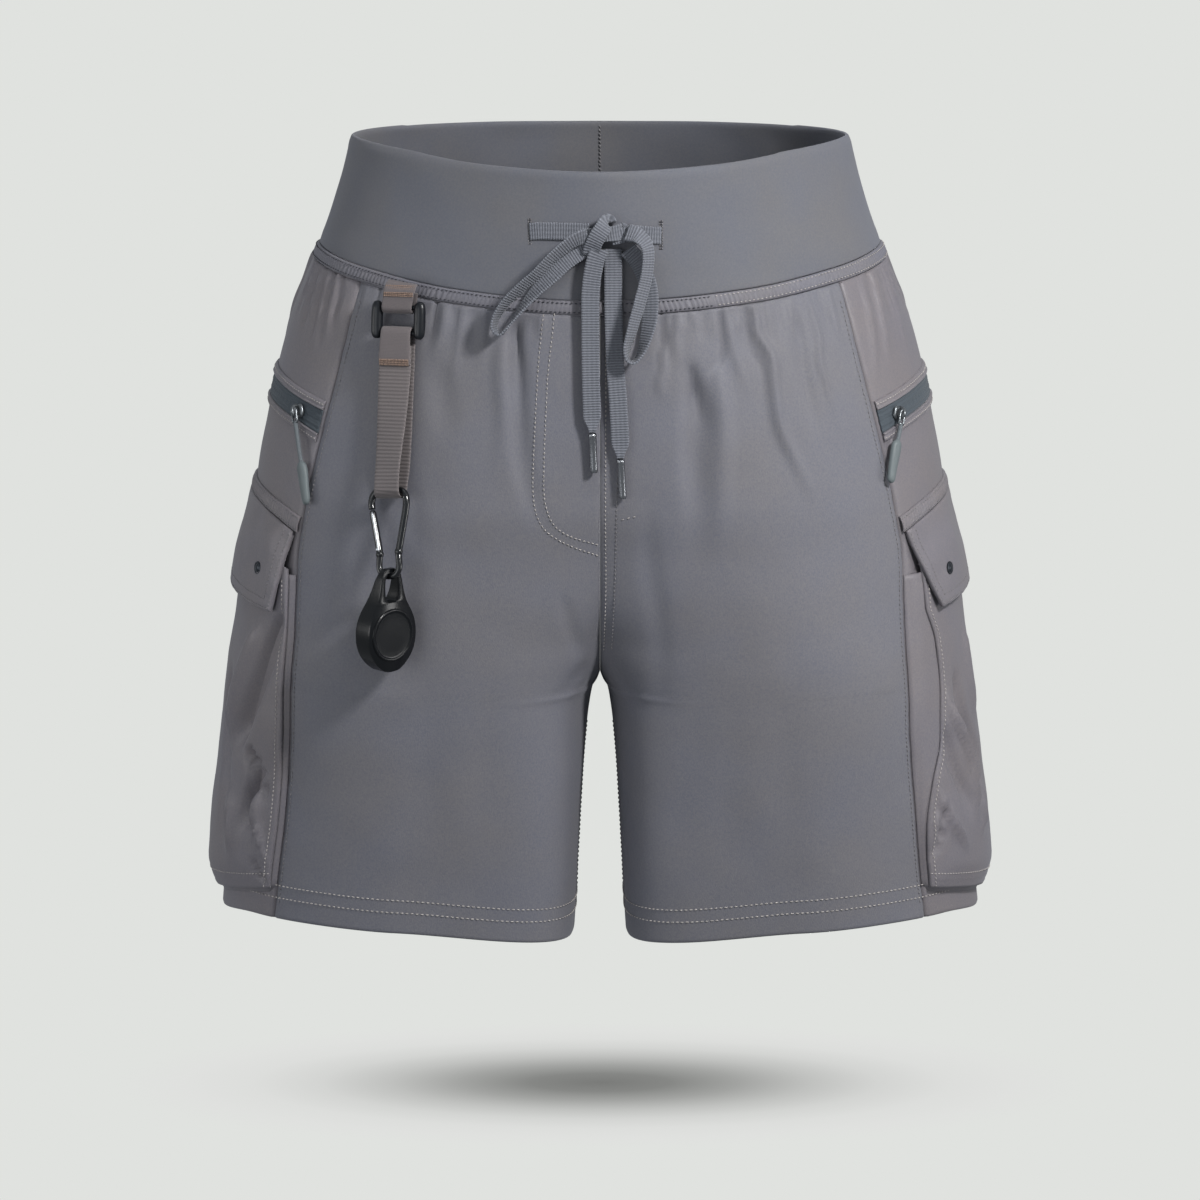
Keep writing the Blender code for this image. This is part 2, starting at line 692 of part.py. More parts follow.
def build_zip(name, half):
    us = (-0.97, -0.72, -0.48, -0.24, 0, 0.24, 0.48, 0.72, 0.9)
    strip("zip_tape_" + name, half, us, lambda u: line_z("zip_up", u) - 1.0 * MM,
          lambda u: line_z("zip_low", u) + 1.0 * MM, TAPE_TOP, 0.4 * MM, "zip_tape")
    strip("zip_welt_upper_" + name, half, us, lambda u: line_z("zip_up", u) + 2.6 * MM,
          lambda u: line_z("zip_up", u) - 0.7 * MM, 1.7 * MM, 0.4 * MM, "side_cloth")
    strip("zip_welt_lower_" + name, half, us, lambda u: line_z("zip_low", u) + 0.7 * MM,
          lambda u: line_z("zip_low", u) - 2.6 * MM, 1.7 * MM, 0.4 * MM, "side_cloth")
    hinge, axis, down, out, reach = pull_frame(half)

    def loc(a, d, h):
        return hinge + axis * (a * MM) + down * (d * MM) + out * ((h - 4.3) * MM)
    # slider: a plate with a staple whose bar carries the pull
    xs = (-4.0, -2.9, -1.9, 1.9, 2.9, 4.0)
    hs = (0.45, 1.9, 3.55, 5.0)
    ds = (-3.4, -0.75, 0.75, 3.4)

    def solid(i, j, k):
        if j == 0:
            return True
        if k != 1:
            return False
        if j == 1:
            return i in (1, 3)
        return i in (1, 2, 3)
    cells = {(i, j, k) for i in range(5) for j in range(3) for k in range(3) if solid(i, j, k)}
    verts, faces, ids = [], [], {}

    def vid(i, j, k):
        if (i, j, k) not in ids:
            ids[(i, j, k)] = len(verts)
            verts.append(loc(xs[i], ds[k], hs[j]))
        return ids[(i, j, k)]
    quads = {(-1, 0, 0): ((0, 0, 0), (0, 0, 1), (0, 1, 1), (0, 1, 0)),
             (1, 0, 0): ((1, 0, 0), (1, 1, 0), (1, 1, 1), (1, 0, 1)),
             (0, -1, 0): ((0, 0, 0), (1, 0, 0), (1, 0, 1), (0, 0, 1)),
             (0, 1, 0): ((0, 1, 0), (0, 1, 1), (1, 1, 1), (1, 1, 0)),
             (0, 0, -1): ((0, 0, 0), (0, 1, 0), (1, 1, 0), (1, 0, 0)),
             (0, 0, 1): ((0, 0, 1), (1, 0, 1), (1, 1, 1), (0, 1, 1))}
    for (i, j, k) in sorted(cells):
        for (di, dj, dk), q in quads.items():
            if (i + di, j + dj, k + dk) not in cells:
                faces.append(tuple(vid(i + a, j + b, k + c) for a, b, c in q))
    add("zip_slider_" + name, verts, faces, "zip_metal")
    # link: an eye round the bar with a short tail
    n = 12
    verts, faces = [], []
    for side in (-1.3, 1.3):
        for k in range(n):
            a = 2 * math.pi * k / n
            verts.append(loc(side, 1.15 * math.cos(a), 4.3 + 1.15 * math.sin(a)))
        for k in range(n):
            a = 2 * math.pi * k / n
            d, h = 2.05 * math.cos(a), 2.05 * math.sin(a)
            if k in (0, 1, n - 1):
                d, h = 5.6, (0.0, 0.8, -0.8)[(0, 1, n - 1).index(k)]
            verts.append(loc(side, d, 4.3 + h))
    for k in range(n):
        k2 = (k + 1) % n
        faces.append((k, k2, n + k2, n + k))
        faces.append((2 * n + k, 3 * n + k, 3 * n + k2, 2 * n + k2))
        faces.append((k, 2 * n + k, 2 * n + k2, k2))
        faces.append((n + k, n + k2, 3 * n + k2, 3 * n + k))
    add("zip_link_" + name, verts, faces, "zip_metal", origin=hinge)
    # cord from the link to the moulded grip
    length = reach / MM
    grip = 24.0
    pts = [loc(0, 5.9 + (length - grip - 6.2) * f, 4.3) for f in (0, 0.33, 0.67, 1)]
    tube("zip_cord_" + name, pts, 1.2 * MM, "grip_rubber", sides=8, origin=hinge)
    prof = ((0.0, 2.2, 1.5), (2.5, 3.1, 1.9), (7, 3.1, 1.9), (15, 2.6, 1.7), (21, 2.5, 1.6),
            (24, 1.6, 1.1))
    outer, inner = [], []
    for d, w, h in prof:
        dd = length - grip + d + 0.1
        outer.append([loc(-w, dd, 4.3 + h * 0.4), loc(-w * 0.5, dd, 4.3 + h),
                      loc(w * 0.5, dd, 4.3 + h), loc(w, dd, 4.3 + h * 0.4)])
        inner.append([loc(-w, dd, 4.3 - h * 0.4), loc(-w * 0.5, dd, 4.3 - h),
                      loc(w * 0.5, dd, 4.3 - h), loc(w, dd, 4.3 - h * 0.4)])
    slab("zip_grip_" + name, outer, inner, "grip_rubber", origin=hinge)


def build_flap(name, half):
    us = (-0.985, -0.72, -0.48, -0.24, 0.0, 0.24, 0.48, 0.72, 0.985)
    strip("pocket_flap_band_" + name, half, us, lambda u: line_z("band_top", u),
          lambda u: line_z("band_low", u), lambda u, k: (1.8 + 0.8 * k) * MM, 0.5 * MM,
          "side_cloth")

    def top(u):
        return line_z("band_low", u) - GAP

    def low(u):
        return line_z("flap_low", u)

    def out(u, k):
        return (read(FLAP, FLAP_COLS, "proud", k) - 1.0 * k * u ** 4) * MM
    outer, inner = [], []
    for i in range(6):
        k = i / 5
        ends = (0.955 - FLAP_TAPER[half] * k ** 1.5, 0.955 - 0.06 * k)
        us_k = [u * (ends[0] if u < 0 else ends[1]) / 0.985 for u in us]
        outer.append([side_grid_point(half, v, top(v) * (1 - k) + low(v) * k, out(u, k))
                      for u, v in zip(us, us_k)])
        inner.append([side_grid_point(half, v, top(v) * (1 - k) + low(v) * k,
                                      out(u, k) - 1.9 * MM) for u, v in zip(us, us_k)])
    slab("pocket_flap_" + name, outer, inner, "side_cloth")
    # press stud: a low dome in the middle of the flap's lower half
    u, z = (-0.70, -0.66)[half > 0], (-0.2435, -0.2455)[half > 0]
    base = side_grid_point(half, u, z, 10.6 * MM)
    ts = seam_angle(z)
    nrm = side_of(half, normal(u * ts, z))
    e1 = nrm.cross(Vector((0, 0, 1))).normalized()
    e2 = nrm.cross(e1)
    verts, faces, n = [], [], 12
    for r, h in ((3.6, 0.0), (3.6, 0.5), (2.4, 1.1)):
        for k in range(n):
            a = 2 * math.pi * k / n
            verts.append(base + e1 * (r * MM * math.cos(a)) + e2 * (r * MM * math.sin(a))
                         + nrm * (h * MM))
    for i in range(2):
        for k in range(n):
            k2 = (k + 1) % n
            faces.append((i * n + k, i * n + k2, (i + 1) * n + k2, (i + 1) * n + k))
    faces.append(tuple(range(n - 1, -1, -1)))
    faces.append(tuple(range(2 * n, 3 * n)))
    add("pocket_snap_" + name, verts, faces, "black_metal")


# ---------------------------------------------------------------- drawstring
TAPE_W = 10.0 * MM
TAPE_T = 1.2 * MM
# Each tape's middle line over the front: X, height, distance off the cloth
# and how far it is turned on edge (mm, degrees).
TAPE_COLS = ("x", "z", "off", "turn")
RUN_RIGHT = ((-39.3, -38.8, 1.2, 0), (-30.5, -38.1, 1.2, 0), (-19.3, -38.0, 1.5, 0),
             (-10.0, -38.0, 2.0, 0), (-5.9, -37.9, 2.2, 0))
RUN_LEFT = ((34.2, -40.8, 1.2, 0), (26.0, -40.2, 1.3, 0), (18.5, -39.4, 1.8, 0),
            (13.9, -39.0, 2.2, 0))
LOOP_RIGHT = ((-6.4, -39.6, 8.2, 20), (-13.4, -42.3, 11.0, 45), (-24.2, -51.5, 13.0, 58),
              (-33.3, -61.9, 13.4, 62), (-41.9, -70.5, 13.0, 68), (-50.7, -79.9, 12.0, 75),
              (-56.0, -87.7, 10.6, 82), (-57.2, -93.5, 9.6, 86), (-54.0, -96.4, 9.2, 86),
              (-50.6, -92.9, 8.8, 80), (-46.0, -86.6, 8.2, 70), (-40.0, -78.4, 7.4, 55),
              (-34.0, -71.0, 6.6, 42), (-26.2, -62.6, 5.8, 28), (-18.6, -54.6, 5.0, 15),
              (-10.3, -48.4, 4.4, 5), (-6.0, -46.4, 4.2, 0))
LOOP_LEFT = ((14.0, -37.6, 9.0, 10), (20.0, -40.0, 12.5, 30), (24.5, -47.0, 14.0, 40),
             (24.5, -60.0, 14.0, 42), (21.5, -76.0, 13.5, 45), (17.5, -92.0, 12.5, 54),
             (15.0, -102.0, 11.4, 66), (15.4, -108.4, 10.2, 80), (18.8, -110.2, 9.2, 84),
             (22.2, -106.0, 8.2, 74), (25.3, -97.0, 7.0, 54), (27.3, -85.0, 6.0, 34),
             (26.6, -70.0, 5.4, 20), (22.0, -56.5, 4.8, 8), (15.0, -47.5, 4.4, 0))
END_RIGHT = ((0.2, -46.8, 7.4, 0), (-2.6, -54.4, 7.6, 0), (-5.0, -70.4, 7.2, 0),
             (-5.4, -91.5, 6.6, 0), (-5.2, -119.8, 5.8, 0), (-4.7, -140.1, 5.0, 0),
             (-4.6, -149.5, 5.0, 0))
END_LEFT = ((7.0, -47.4, 2.2, 0), (7.2, -56.4, 2.2, 0), (7.4, -80.6, 2.6, 0),
            (8.6, -112.2, 3.0, 0), (10.2, -132.8, 3.4, 0), (11.4, -154.3, 3.8, 0),
            (11.7, -164.5, 4.0, 0))
TIPS = {"right": ((-4.6, -150.6, 5.0), (-3.8, -173.0, 4.6)),
        "left": ((11.8, -165.6, 4.0), (13.2, -188.0, 3.8))}
KNOT = (4.0, -38.9, 5.4)   # X, height and distance off the cloth


def tape(name, rows, count):
    pts, across = [], []
    fine = smooth_path([tuple(r) for r in rows], count)
    xyz = [on_front(r[0], r[1], r[2]) for r in fine]
    for i, r in enumerate(fine):
        tan = (xyz[min(i + 1, count - 1)] - xyz[max(i - 1, 0)]).normalized()
        nrm = (on_front(r[0], r[1], r[2] + 1) - xyz[i]).normalized()
        nrm = (nrm - tan * nrm.dot(tan)).normalized()
        flat = tan.cross(nrm)
        a = math.radians(r[3])
        pts.append(xyz[i])
        across.append(flat * math.cos(a) + nrm * math.sin(a))
    ribbon(name, pts, across, TAPE_W, TAPE_T, "cord_tape")


def build_drawstring():
    tape("drawstring_run_right", RUN_RIGHT, 5)
    tape("drawstring_run_left", RUN_LEFT, 4)
    tape("bow_loop_right", LOOP_RIGHT, 24)
    tape("bow_loop_left", LOOP_LEFT, 22)
    tape("drawstring_end_right", END_RIGHT, 9)
    tape("drawstring_end_left", END_LEFT, 9)
    for who, (a, b) in TIPS.items():
        p, q = on_front(*a), on_front(*b)
        pts = [p + (q - p) * f for f in (0, 0.25, 0.9, 1)]
        tube("drawstring_tip_" + who, pts, [2.1 * MM, 2.3 * MM, 2.1 * MM, 1.5 * MM], "tip_metal",
             sides=10)
    # knot: a flattened round wrap
    c = on_front(KNOT[0], KNOT[1], KNOT[2])
    nrm = (on_front(KNOT[0], KNOT[1], KNOT[2] + 1) - c).normalized()
    ex = Vector((1, 0, 0))
    ez = nrm.cross(ex).normalized()
    verts, faces, n, m = [], [], 14, 7
    for i in range(1, m):
        ph = math.pi * i / m
        for k in range(n):
            a = 2 * math.pi * k / n
            r = math.sin(ph) ** 0.7
            verts.append(c + ex * (8.6 * MM * r * math.cos(a)) + ez * (6.6 * MM * r * math.sin(a))
                         + nrm * (4.2 * MM * math.cos(ph)))
    verts += [c + nrm * 4.2 * MM, c - nrm * 4.2 * MM]
    top, bot = len(verts) - 2, len(verts) - 1
    for i in range(m - 2):
        for k in range(n):
            k2 = (k + 1) % n
            faces.append((i * n + k, i * n + k2, (i + 1) * n + k2, (i + 1) * n + k))
    for k in range(n):
        k2 = (k + 1) % n
        faces.append((top, k2, k))
        faces.append((bot, (m - 2) * n + k, (m - 2) * n + k2))
    add("bow_knot", verts, faces, "cord_tape")


# ---------------------------------------------------------------- strap chain
WEB_W = 20.0 * MM
WEB_T = 1.3 * MM
TURN = math.radians(24.0)          # the strap faces this far to the wearer's right
HANG = math.radians(2.2)           # and hangs this far off square to its ring
OUTWARD = Vector((-math.sin(TURN), -math.cos(TURN), 0))
AXIS_X = -111.0                    # where the strap hangs on the front (mm)
RING_Z = -90.8
RING_OFF = 7.0
RING_W, RING_H = 33.4, 21.4
RING_BAR = 6.9                     # width of the ring's thick side bars
STRAP_LENGTH = 95.2                # from the ring's middle to the bottom fold
FOLD_R = 4.9                       # radius of the strap's bottom fold
FOLD_SKEW = 0.06                   # and how far its left end hangs lower
# Strap's front layer: distance down from the ring's lower bar, height off the
# ring's plane, how far it turns further than the ring, and its width (mm).
STRAP_COLS = ("down", "off", "turn", "width")
STRAP_FRONT = (
    (20.0, 3.5, 1.0, 20.0),
    (40.0, 4.4, 4.0, 19.6),
    (60.0, 5.8, 9.0, 18.8),
    (74.0, 7.2, 14.0, 17.8),
)
# Carabiner's wire in its own plane: across, down from its top bar, radius
FRAME_COLS = ("s", "d", "r")
CARABINER = (
    (-10.5, 10.2, 1.8), (-10.9, 6.8, 2.0), (-10.5, 3.9, 2.0), (-9.6, 1.9, 2.0),
    (-8.0, 0.5, 2.0), (-5.5, 0.0, 2.0), (0.2, 0.0, 2.0), (5.8, 0.0, 2.0),
    (8.4, 0.3, 2.0), (10.3, 1.6, 2.0), (11.5, 3.8, 2.0), (12.0, 7.0, 2.0),
    (11.6, 12.0, 2.0), (10.0, 22.0, 2.0), (8.6, 30.6, 1.9), (7.8, 35.6, 1.8),
    (8.2, 39.0, 1.8), (8.5, 43.0, 1.8), (8.0, 45.7, 1.8), (5.8, 48.2, 1.8),
    (2.2, 48.8, 1.8), (-1.4, 48.2, 1.8), (-3.8, 45.7, 1.8), (-4.5, 43.0, 1.8),
    (-4.6, 39.4, 1.8), (-4.4, 37.0, 1.8),
)
GATE = ((-10.3, 11.6, 1.3), (-9.4, 14.5, 1.9), (-7.6, 22.0, 1.9), (-5.5, 31.0, 1.8),
        (-4.7, 34.8, 1.2))
# Fob by distance from its top: half-width, half-thickness, slot half-width and
# how far the middle of its thickness lies off the hanging wire
FOB_COLS = ("d", "w", "n", "slot", "mid")
FOB = (
    (0.0, 3.2, 1.6, 2.0, 0.0), (0.9, 4.8, 1.8, 3.2, 0.0), (1.8, 6.0, 2.0, 4.0, 0.0),
    (6.8, 7.6, 3.0, 5.0, -0.9), (13.1, 8.8, 4.0, 5.2, -1.8), (19.0, 10.6, 5.0, 4.4, -2.8),
    (22.4, 12.6, 5.4, 5.4, -3.2), (27.2, 15.2, 5.7, 7.2, -3.4), (32.1, 16.8, 5.8, 8.1, -3.5),
    (37.4, 17.5, 5.8, 8.5, -3.5), (42.8, 17.2, 5.8, 8.3, -3.5), (47.7, 15.7, 5.7, 7.5, -3.4),
    (52.2, 12.9, 5.4, 6.1, -3.2), (56.1, 9.0, 4.8, 4.3, -2.8), (59.2, 4.4, 3.8, 2.0, -2.4),
)
FOB_TOP = 4.4                      # top of its arch above the wire it hangs on
FOB_TURN = math.radians(43.0)
CAR_TURN = math.radians(31.0)
CAR_ROLL = math.radians(8.3)
CAR_TILT = math.radians(17.0)


def strap_base(z, x=AXIS_X):
    return on_front(x, z, 0.0)


def strap_axes():
    """Middle of the ring and the strap's directions: across, down, outward."""
    centre = strap_base(RING_Z) + OUTWARD * (RING_OFF * MM)
    across = Vector((math.cos(TURN), -math.sin(TURN), 0))
    dn = strap_base(-190) - strap_base(-95)
    dn = (dn - across * dn.dot(across)).normalized()
    across, dn = (across * math.cos(HANG) - dn * math.sin(HANG),
                  dn * math.cos(HANG) + across * math.sin(HANG))
    nrm = across.cross(dn).normalized()
    if nrm.dot(OUTWARD) < 0:
        nrm = -nrm
    return centre, across, dn, nrm


def carabiner_axes():
    """Across, down and outward directions of the carabiner's own plane."""
    flat = Vector((math.cos(CAR_TURN), -math.sin(CAR_TURN), 0))
    out = Vector((-math.sin(CAR_TURN), -math.cos(CAR_TURN), 0))
    down = Vector((0, 0, -1)) * math.cos(CAR_TILT) + out * math.sin(CAR_TILT)
    a = flat * math.cos(CAR_ROLL) - down * math.sin(CAR_ROLL)
    d = down * math.cos(CAR_ROLL) + flat * math.sin(CAR_ROLL)
    n = a.cross(d).normalized()
    if n.dot(out) < 0:
        n = -n
    return a, d, n


def build_strap_chain():
    centre, across, dn, nrm = strap_axes()

    def loc(s, d, h, base=centre):
        return base + across * (s * MM) + dn * (d * MM) + nrm * (h * MM)
    # ring: thick rounded side bars and two thinner cross bars, as one casting
    hw, hh, rb, tb = RING_W / 2, RING_H / 2, RING_BAR, 2.8
    xs = (-hw, -hw + rb * 0.5, -hw + rb, hw - rb, hw - rb * 0.5, hw)
    ds = (-hh, -hh + 2.0, -hh + 2.0 + tb, hh - 2.0 - tb, hh - 2.0, hh)

    def thick(i, j):
        edge = 0.45 if i in (0, 5) else (1.0 if i in (1, 4) else 0.5)
        end = 0.6 if j in (0, 5) else 1.0
        return edge * end * 5.6 / 2
    outer = [[loc(x * (0.93 if j in (0, 5) and abs(x) > 12 else 1), d, thick(i, j))
              for i, x in enumerate(xs)] for j, d in enumerate(ds)]
    inner = [[loc(x * (0.93 if j in (0, 5) and abs(x) > 12 else 1), d, -thick(i, j))
              for i, x in enumerate(xs)] for j, d in enumerate(ds)]
    holes = {(0, 2), (2, 2), (4, 2)}
    slab("strap_ring", outer, inner, "black_plastic", holes, shade=True)
    # hang loop: from the waist seam, round the top bar and back up
    bar_top = -hh + 2.0 + tb / 2
    r = 3.0
    up = [(1.4, -hh - 7.5, r + 0.2), (0.6, -hh - 1.0, r + 0.1), (0, bar_top - 1.0, r)]
    turn = [(0, bar_top + r * math.sin(a), r * math.cos(a)) for a in
            (math.radians(v) for v in (20, 55, 90, 125, 160))]
    dnw = [(0, bar_top - 1.0, -r), (0.6, -hh - 1.0, -r + 0.3), (1.2, -hh - 6.0, -r + 1.0)]
    pts = [loc(s, d, h) for s, d, h in up + turn + dnw]
    ribbon("hang_loop", pts, [across] * len(pts), 19.0 * MM, WEB_T, "webbing")
    # strap: doubled webbing from the ring's lower bar to the bottom fold
    bar_low = hh - 2.0 - tb / 2
    length = STRAP_LENGTH
    c = FOLD_R - 1.5
    rows = [(bar_low + 15.5, 3.4, 0, 19.6), (bar_low + 8.0, 3.3, 0, 19.2),
            (bar_low + 1.0, r, 0, 18.6)]
    rows += [(bar_low - r * math.sin(a), r * math.cos(a), 0, 18.6) for a in
             (math.radians(v) for v in (25, 58, 90, 122, 155))]
    rows += [(bar_low + 1.0, -r, 0, 18.6), (bar_low + 12.0, -2.6, 0, 19.6),
             (bar_low + 30.0, -2.0, 0, 20), (bar_low + 55.0, -1.7, 1, 19.6),
             (length - 7.0, -1.5, 3, 18.0)]
    rows += [(length + FOLD_R * math.sin(a), c - FOLD_R * math.cos(a), 4 + 5 * (a / math.pi),
              16.0)
             for a in (math.radians(v) for v in (0, 26, 52, 78, 102, 128, 154, 180))]
    rows += [(bar_low + d, h, tw, w) for d, h, tw, w in STRAP_FRONT[::-1]]
    pts, sides, widths = [], [], []
    for d, h, tw, w in rows:
        pts.append(loc(0, d, h))
        tw = math.radians(tw)
        skew = FOLD_SKEW * smooth((d - 60.0) / 30.0)
        sides.append(across * math.cos(tw) + nrm * math.sin(tw) - dn * skew)
        widths.append(w * MM)
    ribbon("strap", pts, sides, widths, WEB_T, "webbing")
    # carabiner: its top bar lies in the strap's bottom fold
    pivot = loc(-1.0, length + 1.2, c)
    ca, cd, cn = carabiner_axes()

    def car(s, d, h=0.0):
        return pivot + ca * (s * MM) + cd * (d * MM) + cn * (h * MM)
    tube("carabiner_frame", [car(s, d) for s, d, _ in CARABINER],
         [r * MM for _, _, r in CARABINER], "black_metal", sides=8, origin=pivot)
    gp = car(GATE[-1][0], GATE[-1][1] + 0.6)
    tube("carabiner_gate", [car(s, d) for s, d, _ in GATE], [r * MM for _, _, r in GATE],
         "black_metal", sides=8, origin=gp)
    # fob: hangs by its slot from the carabiner's lower eye, nearly edge on
    bar = car(2.2, max(d for _, d, _ in CARABINER))
    fn = Vector((math.sin(FOB_TURN), -math.cos(FOB_TURN), 0))
    fw = Vector((math.cos(FOB_TURN), math.sin(FOB_TURN), 0))
    fd = Vector((0, 0, -1))

    def fob(w, d, n):
        return bar + fw * (w * MM) + fd * ((d - FOB_TOP) * MM) + fn * (n * MM)
    outer, inner = [], []
    for d, w, tk, sl, mid in FOB:
        for side, rows in ((1, outer), (-1, inner)):
            rows.append([fob(-w, d, mid + side * tk * 0.8), fob(-sl, d, mid + side * tk),
                         fob(sl, d, mid + side * tk), fob(w, d, mid + side * tk * 0.8)])
    slab("fob_case", outer, inner, "black_plastic", {(2, 1), (3, 1), (4, 1)}, origin=bar,
         shade=True)
    verts, faces, n = [], [], 20
    for r, h in ((14.4, 2.7), (14.4, 3.2), (13.4, 3.7)):
        for k in range(n):
            a = 2 * math.pi * k / n
            verts.append(fob(r * math.cos(a), 38.0 + r * math.sin(a), h))
    for i in range(2):
        for k in range(n):
            k2 = (k + 1) % n
            faces.append((i * n + k, i * n + k2, (i + 1) * n + k2, (i + 1) * n + k))
    faces.append(tuple(range(n - 1, -1, -1)))
    faces.append(tuple(range(2 * n, 3 * n)))
    add("fob_disc", verts, faces, "black_plastic", origin=bar)
    return pivot, ca, gp, cn, bar


def build():
    start()
    build_cloth()
    for half, who in ((-1, "right"), (1, "left")):
        pocket(who, half)
        build_zip(who, half)
        build_flap(who, half)
    build_drawstring()
    build_strap_chain()


build()
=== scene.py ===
"""Running shorts: the looks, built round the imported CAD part."""

import math

import bmesh
import bpy
import numpy as np
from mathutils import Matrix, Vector


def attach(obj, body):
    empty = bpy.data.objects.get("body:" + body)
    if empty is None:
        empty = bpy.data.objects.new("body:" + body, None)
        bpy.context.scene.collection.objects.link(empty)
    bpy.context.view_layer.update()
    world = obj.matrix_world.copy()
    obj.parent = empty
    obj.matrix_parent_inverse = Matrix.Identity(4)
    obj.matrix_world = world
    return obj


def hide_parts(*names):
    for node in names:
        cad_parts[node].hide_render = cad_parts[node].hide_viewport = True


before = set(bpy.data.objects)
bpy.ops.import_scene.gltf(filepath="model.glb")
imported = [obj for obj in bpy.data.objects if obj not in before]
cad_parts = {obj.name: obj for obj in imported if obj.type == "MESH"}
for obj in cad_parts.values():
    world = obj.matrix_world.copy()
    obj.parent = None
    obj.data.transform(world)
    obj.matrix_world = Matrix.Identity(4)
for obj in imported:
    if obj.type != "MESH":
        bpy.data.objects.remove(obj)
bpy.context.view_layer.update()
MM = 0.001

# ------------------------------------------------------------------ form
# The garment's sections, edges and seam lines, as in the CAD (mm, degrees).
CLOTH, BAND_WALL, GAP = 1.2 * MM, 2.4 * MM, 0.3 * MM
FORK_Z, HEM_Z, CASING_H = -309.4 * MM, -453.5 * MM, 7.6 * MM
SECTION_COLS = ("z", "out", "front", "back", "split", "inner", "n_out", "n_in")
SECTIONS = (
    (0.0, 144.5, 108, 108, 0.00, 0.0, 1.64, 2.2),
    (-30.0, 151.7, 109, 111, 0.00, 0.0, 1.74, 2.2),
    (-46.0, 156.7, 110, 113.4, 0.00, 0.0, 1.80, 2.2),
    (-62.0, 163.0, 111, 116, 0.00, 0.0, 1.86, 2.2),
    (-95.0, 176.2, 115, 122, 0.05, 0.0, 1.93, 2.2),
    (-128.0, 185.5, 118, 127, 0.11, 0.0, 1.97, 2.25),
    (-161.0, 193.2, 119, 130, 0.19, 0.0, 2.0, 2.3),
    (-194.6, 199.5, 119, 131, 0.30, 0.0, 2.0, 2.35),
    (-225.0, 202.6, 117, 130, 0.43, 0.0, 2.0, 2.4),
    (-250.0, 205.0, 116, 128, 0.56, 0.0, 1.98, 2.5),
    (-275.0, 207.2, 114, 124, 0.73, 0.0, 1.95, 2.65),
    (-292.0, 208.8, 112.3, 120.6, 0.88, 0.0, 1.93, 3.14),
    (-302.0, 209.7, 111.0, 118.7, 0.96, 0.0, 1.92, 3.45),
    (-309.4, 210.3, 110.05, 117.3, 1.00, 0.0, 1.92, 3.66),
    (-314.0, 210.8, 109.45, 116.4, 1.00, 3.1, 1.915, 3.79),
    (-326.0, 212.0, 107.9, 114.2, 1.00, 5.9, 1.905, 4.06),
    (-363.0, 215.5, 103, 108, 1.00, 9.4, 1.87, 4.55),
    (-414.0, 220.4, 97, 100, 1.00, 12.4, 1.82, 4.8),
    (-470.0, 225.4, 90, 92, 1.00, 15.2, 1.78, 4.9),
)
EDGE_COLS = ("t", "top", "band", "hem")
EDGES = (
    (-180, -4.6, -76.8, -467.0),
    (-140, -4.6, -76.8, -460.5),
    (-90, -4.6, -76.8, -450.8),
    (-60, -2.8, -72.6, -449.0),
    (-35, 0.6, -66.2, -449.8),
    (0, 2.0, -60.5, -456.0),
    (35, -0.3, -64.0, -455.0),
    (60, -2.6, -68.5, -455.0),
    (90, -5.0, -71.0, -456.0),
    (140, -5.0, -71.0, -462.0),
    (180, -5.0, -71.0, -467.0),
)
SEAM_COLS = ("z", "t")
SEAM = (
    (-60, 33.0), (-85, 35.3), (-110, 36.8), (-165, 37.6), (-224, 37.8),
    (-260, 41.0), (-300, 45.0), (-340, 47.6), (-375, 47.5), (-423, 46.2),
    (-470, 43.5),
)
LINE_COLS = ("u", "zip_up", "zip_low", "band_top", "band_low", "flap_low", "pocket_low")
LINES = (
    (-1.0, -147.0, -161.5, -209.5, -218.5, -266.0, -432.0),
    (-0.7, -142.5, -155.5, -203.0, -211.5, -264.5, -437.0),
    (-0.35, -138.0, -151.5, -198.5, -206.5, -262.5, -442.5),
    (0.0, -136.0, -149.5, -197.0, -205.0, -261.5, -446.0),
    (0.35, -137.5, -151.0, -198.5, -206.5, -262.5, -444.0),
    (0.7, -140.5, -154.0, -203.0, -211.5, -264.5, -441.0),
    (1.0, -143.5, -157.0, -209.5, -218.5, -266.0, -438.0),
)


class Table:
    """Smooth monotone curves through the rows of a table, one per column."""

    def __init__(self, cols, rows):
        rows = sorted(rows)
        self.x = np.array([r[0] for r in rows], float)
        self.cols = {}
        h = np.diff(self.x)
        for k, c in enumerate(cols[1:], 1):
            y = np.array([r[k] for r in rows], float)
            d = np.diff(y) / h
            m = np.empty_like(y)
            m[0], m[-1] = d[0], d[-1]
            p = d[:-1] * d[1:]
            s = d[:-1] + d[1:]
            m[1:-1] = np.where(p <= 0, 0.0, 2 * p / np.where(s == 0, 1, s))
            self.cols[c] = (y, m)

    def __call__(self, name, x):
        y, m = self.cols[name]
        x = np.clip(np.asarray(x, float), self.x[0], self.x[-1])
        i = np.clip(np.searchsorted(self.x, x, side="right") - 1, 0, len(self.x) - 2)
        h = self.x[i + 1] - self.x[i]
        s = (x - self.x[i]) / h
        return ((2 * s ** 3 - 3 * s ** 2 + 1) * y[i] + (s ** 3 - 2 * s ** 2 + s) * h * m[i]
                + (3 * s ** 2 - 2 * s ** 3) * y[i + 1] + (s ** 3 - s ** 2) * h * m[i + 1])


sections = Table(SECTION_COLS, SECTIONS)
edges = Table(EDGE_COLS, EDGES)
seam = Table(SEAM_COLS, SEAM)
lines = Table(LINE_COLS, LINES)


def smooth(x):
    x = np.clip(x, 0.0, 1.0)
    return x * x * (3 - 2 * x)


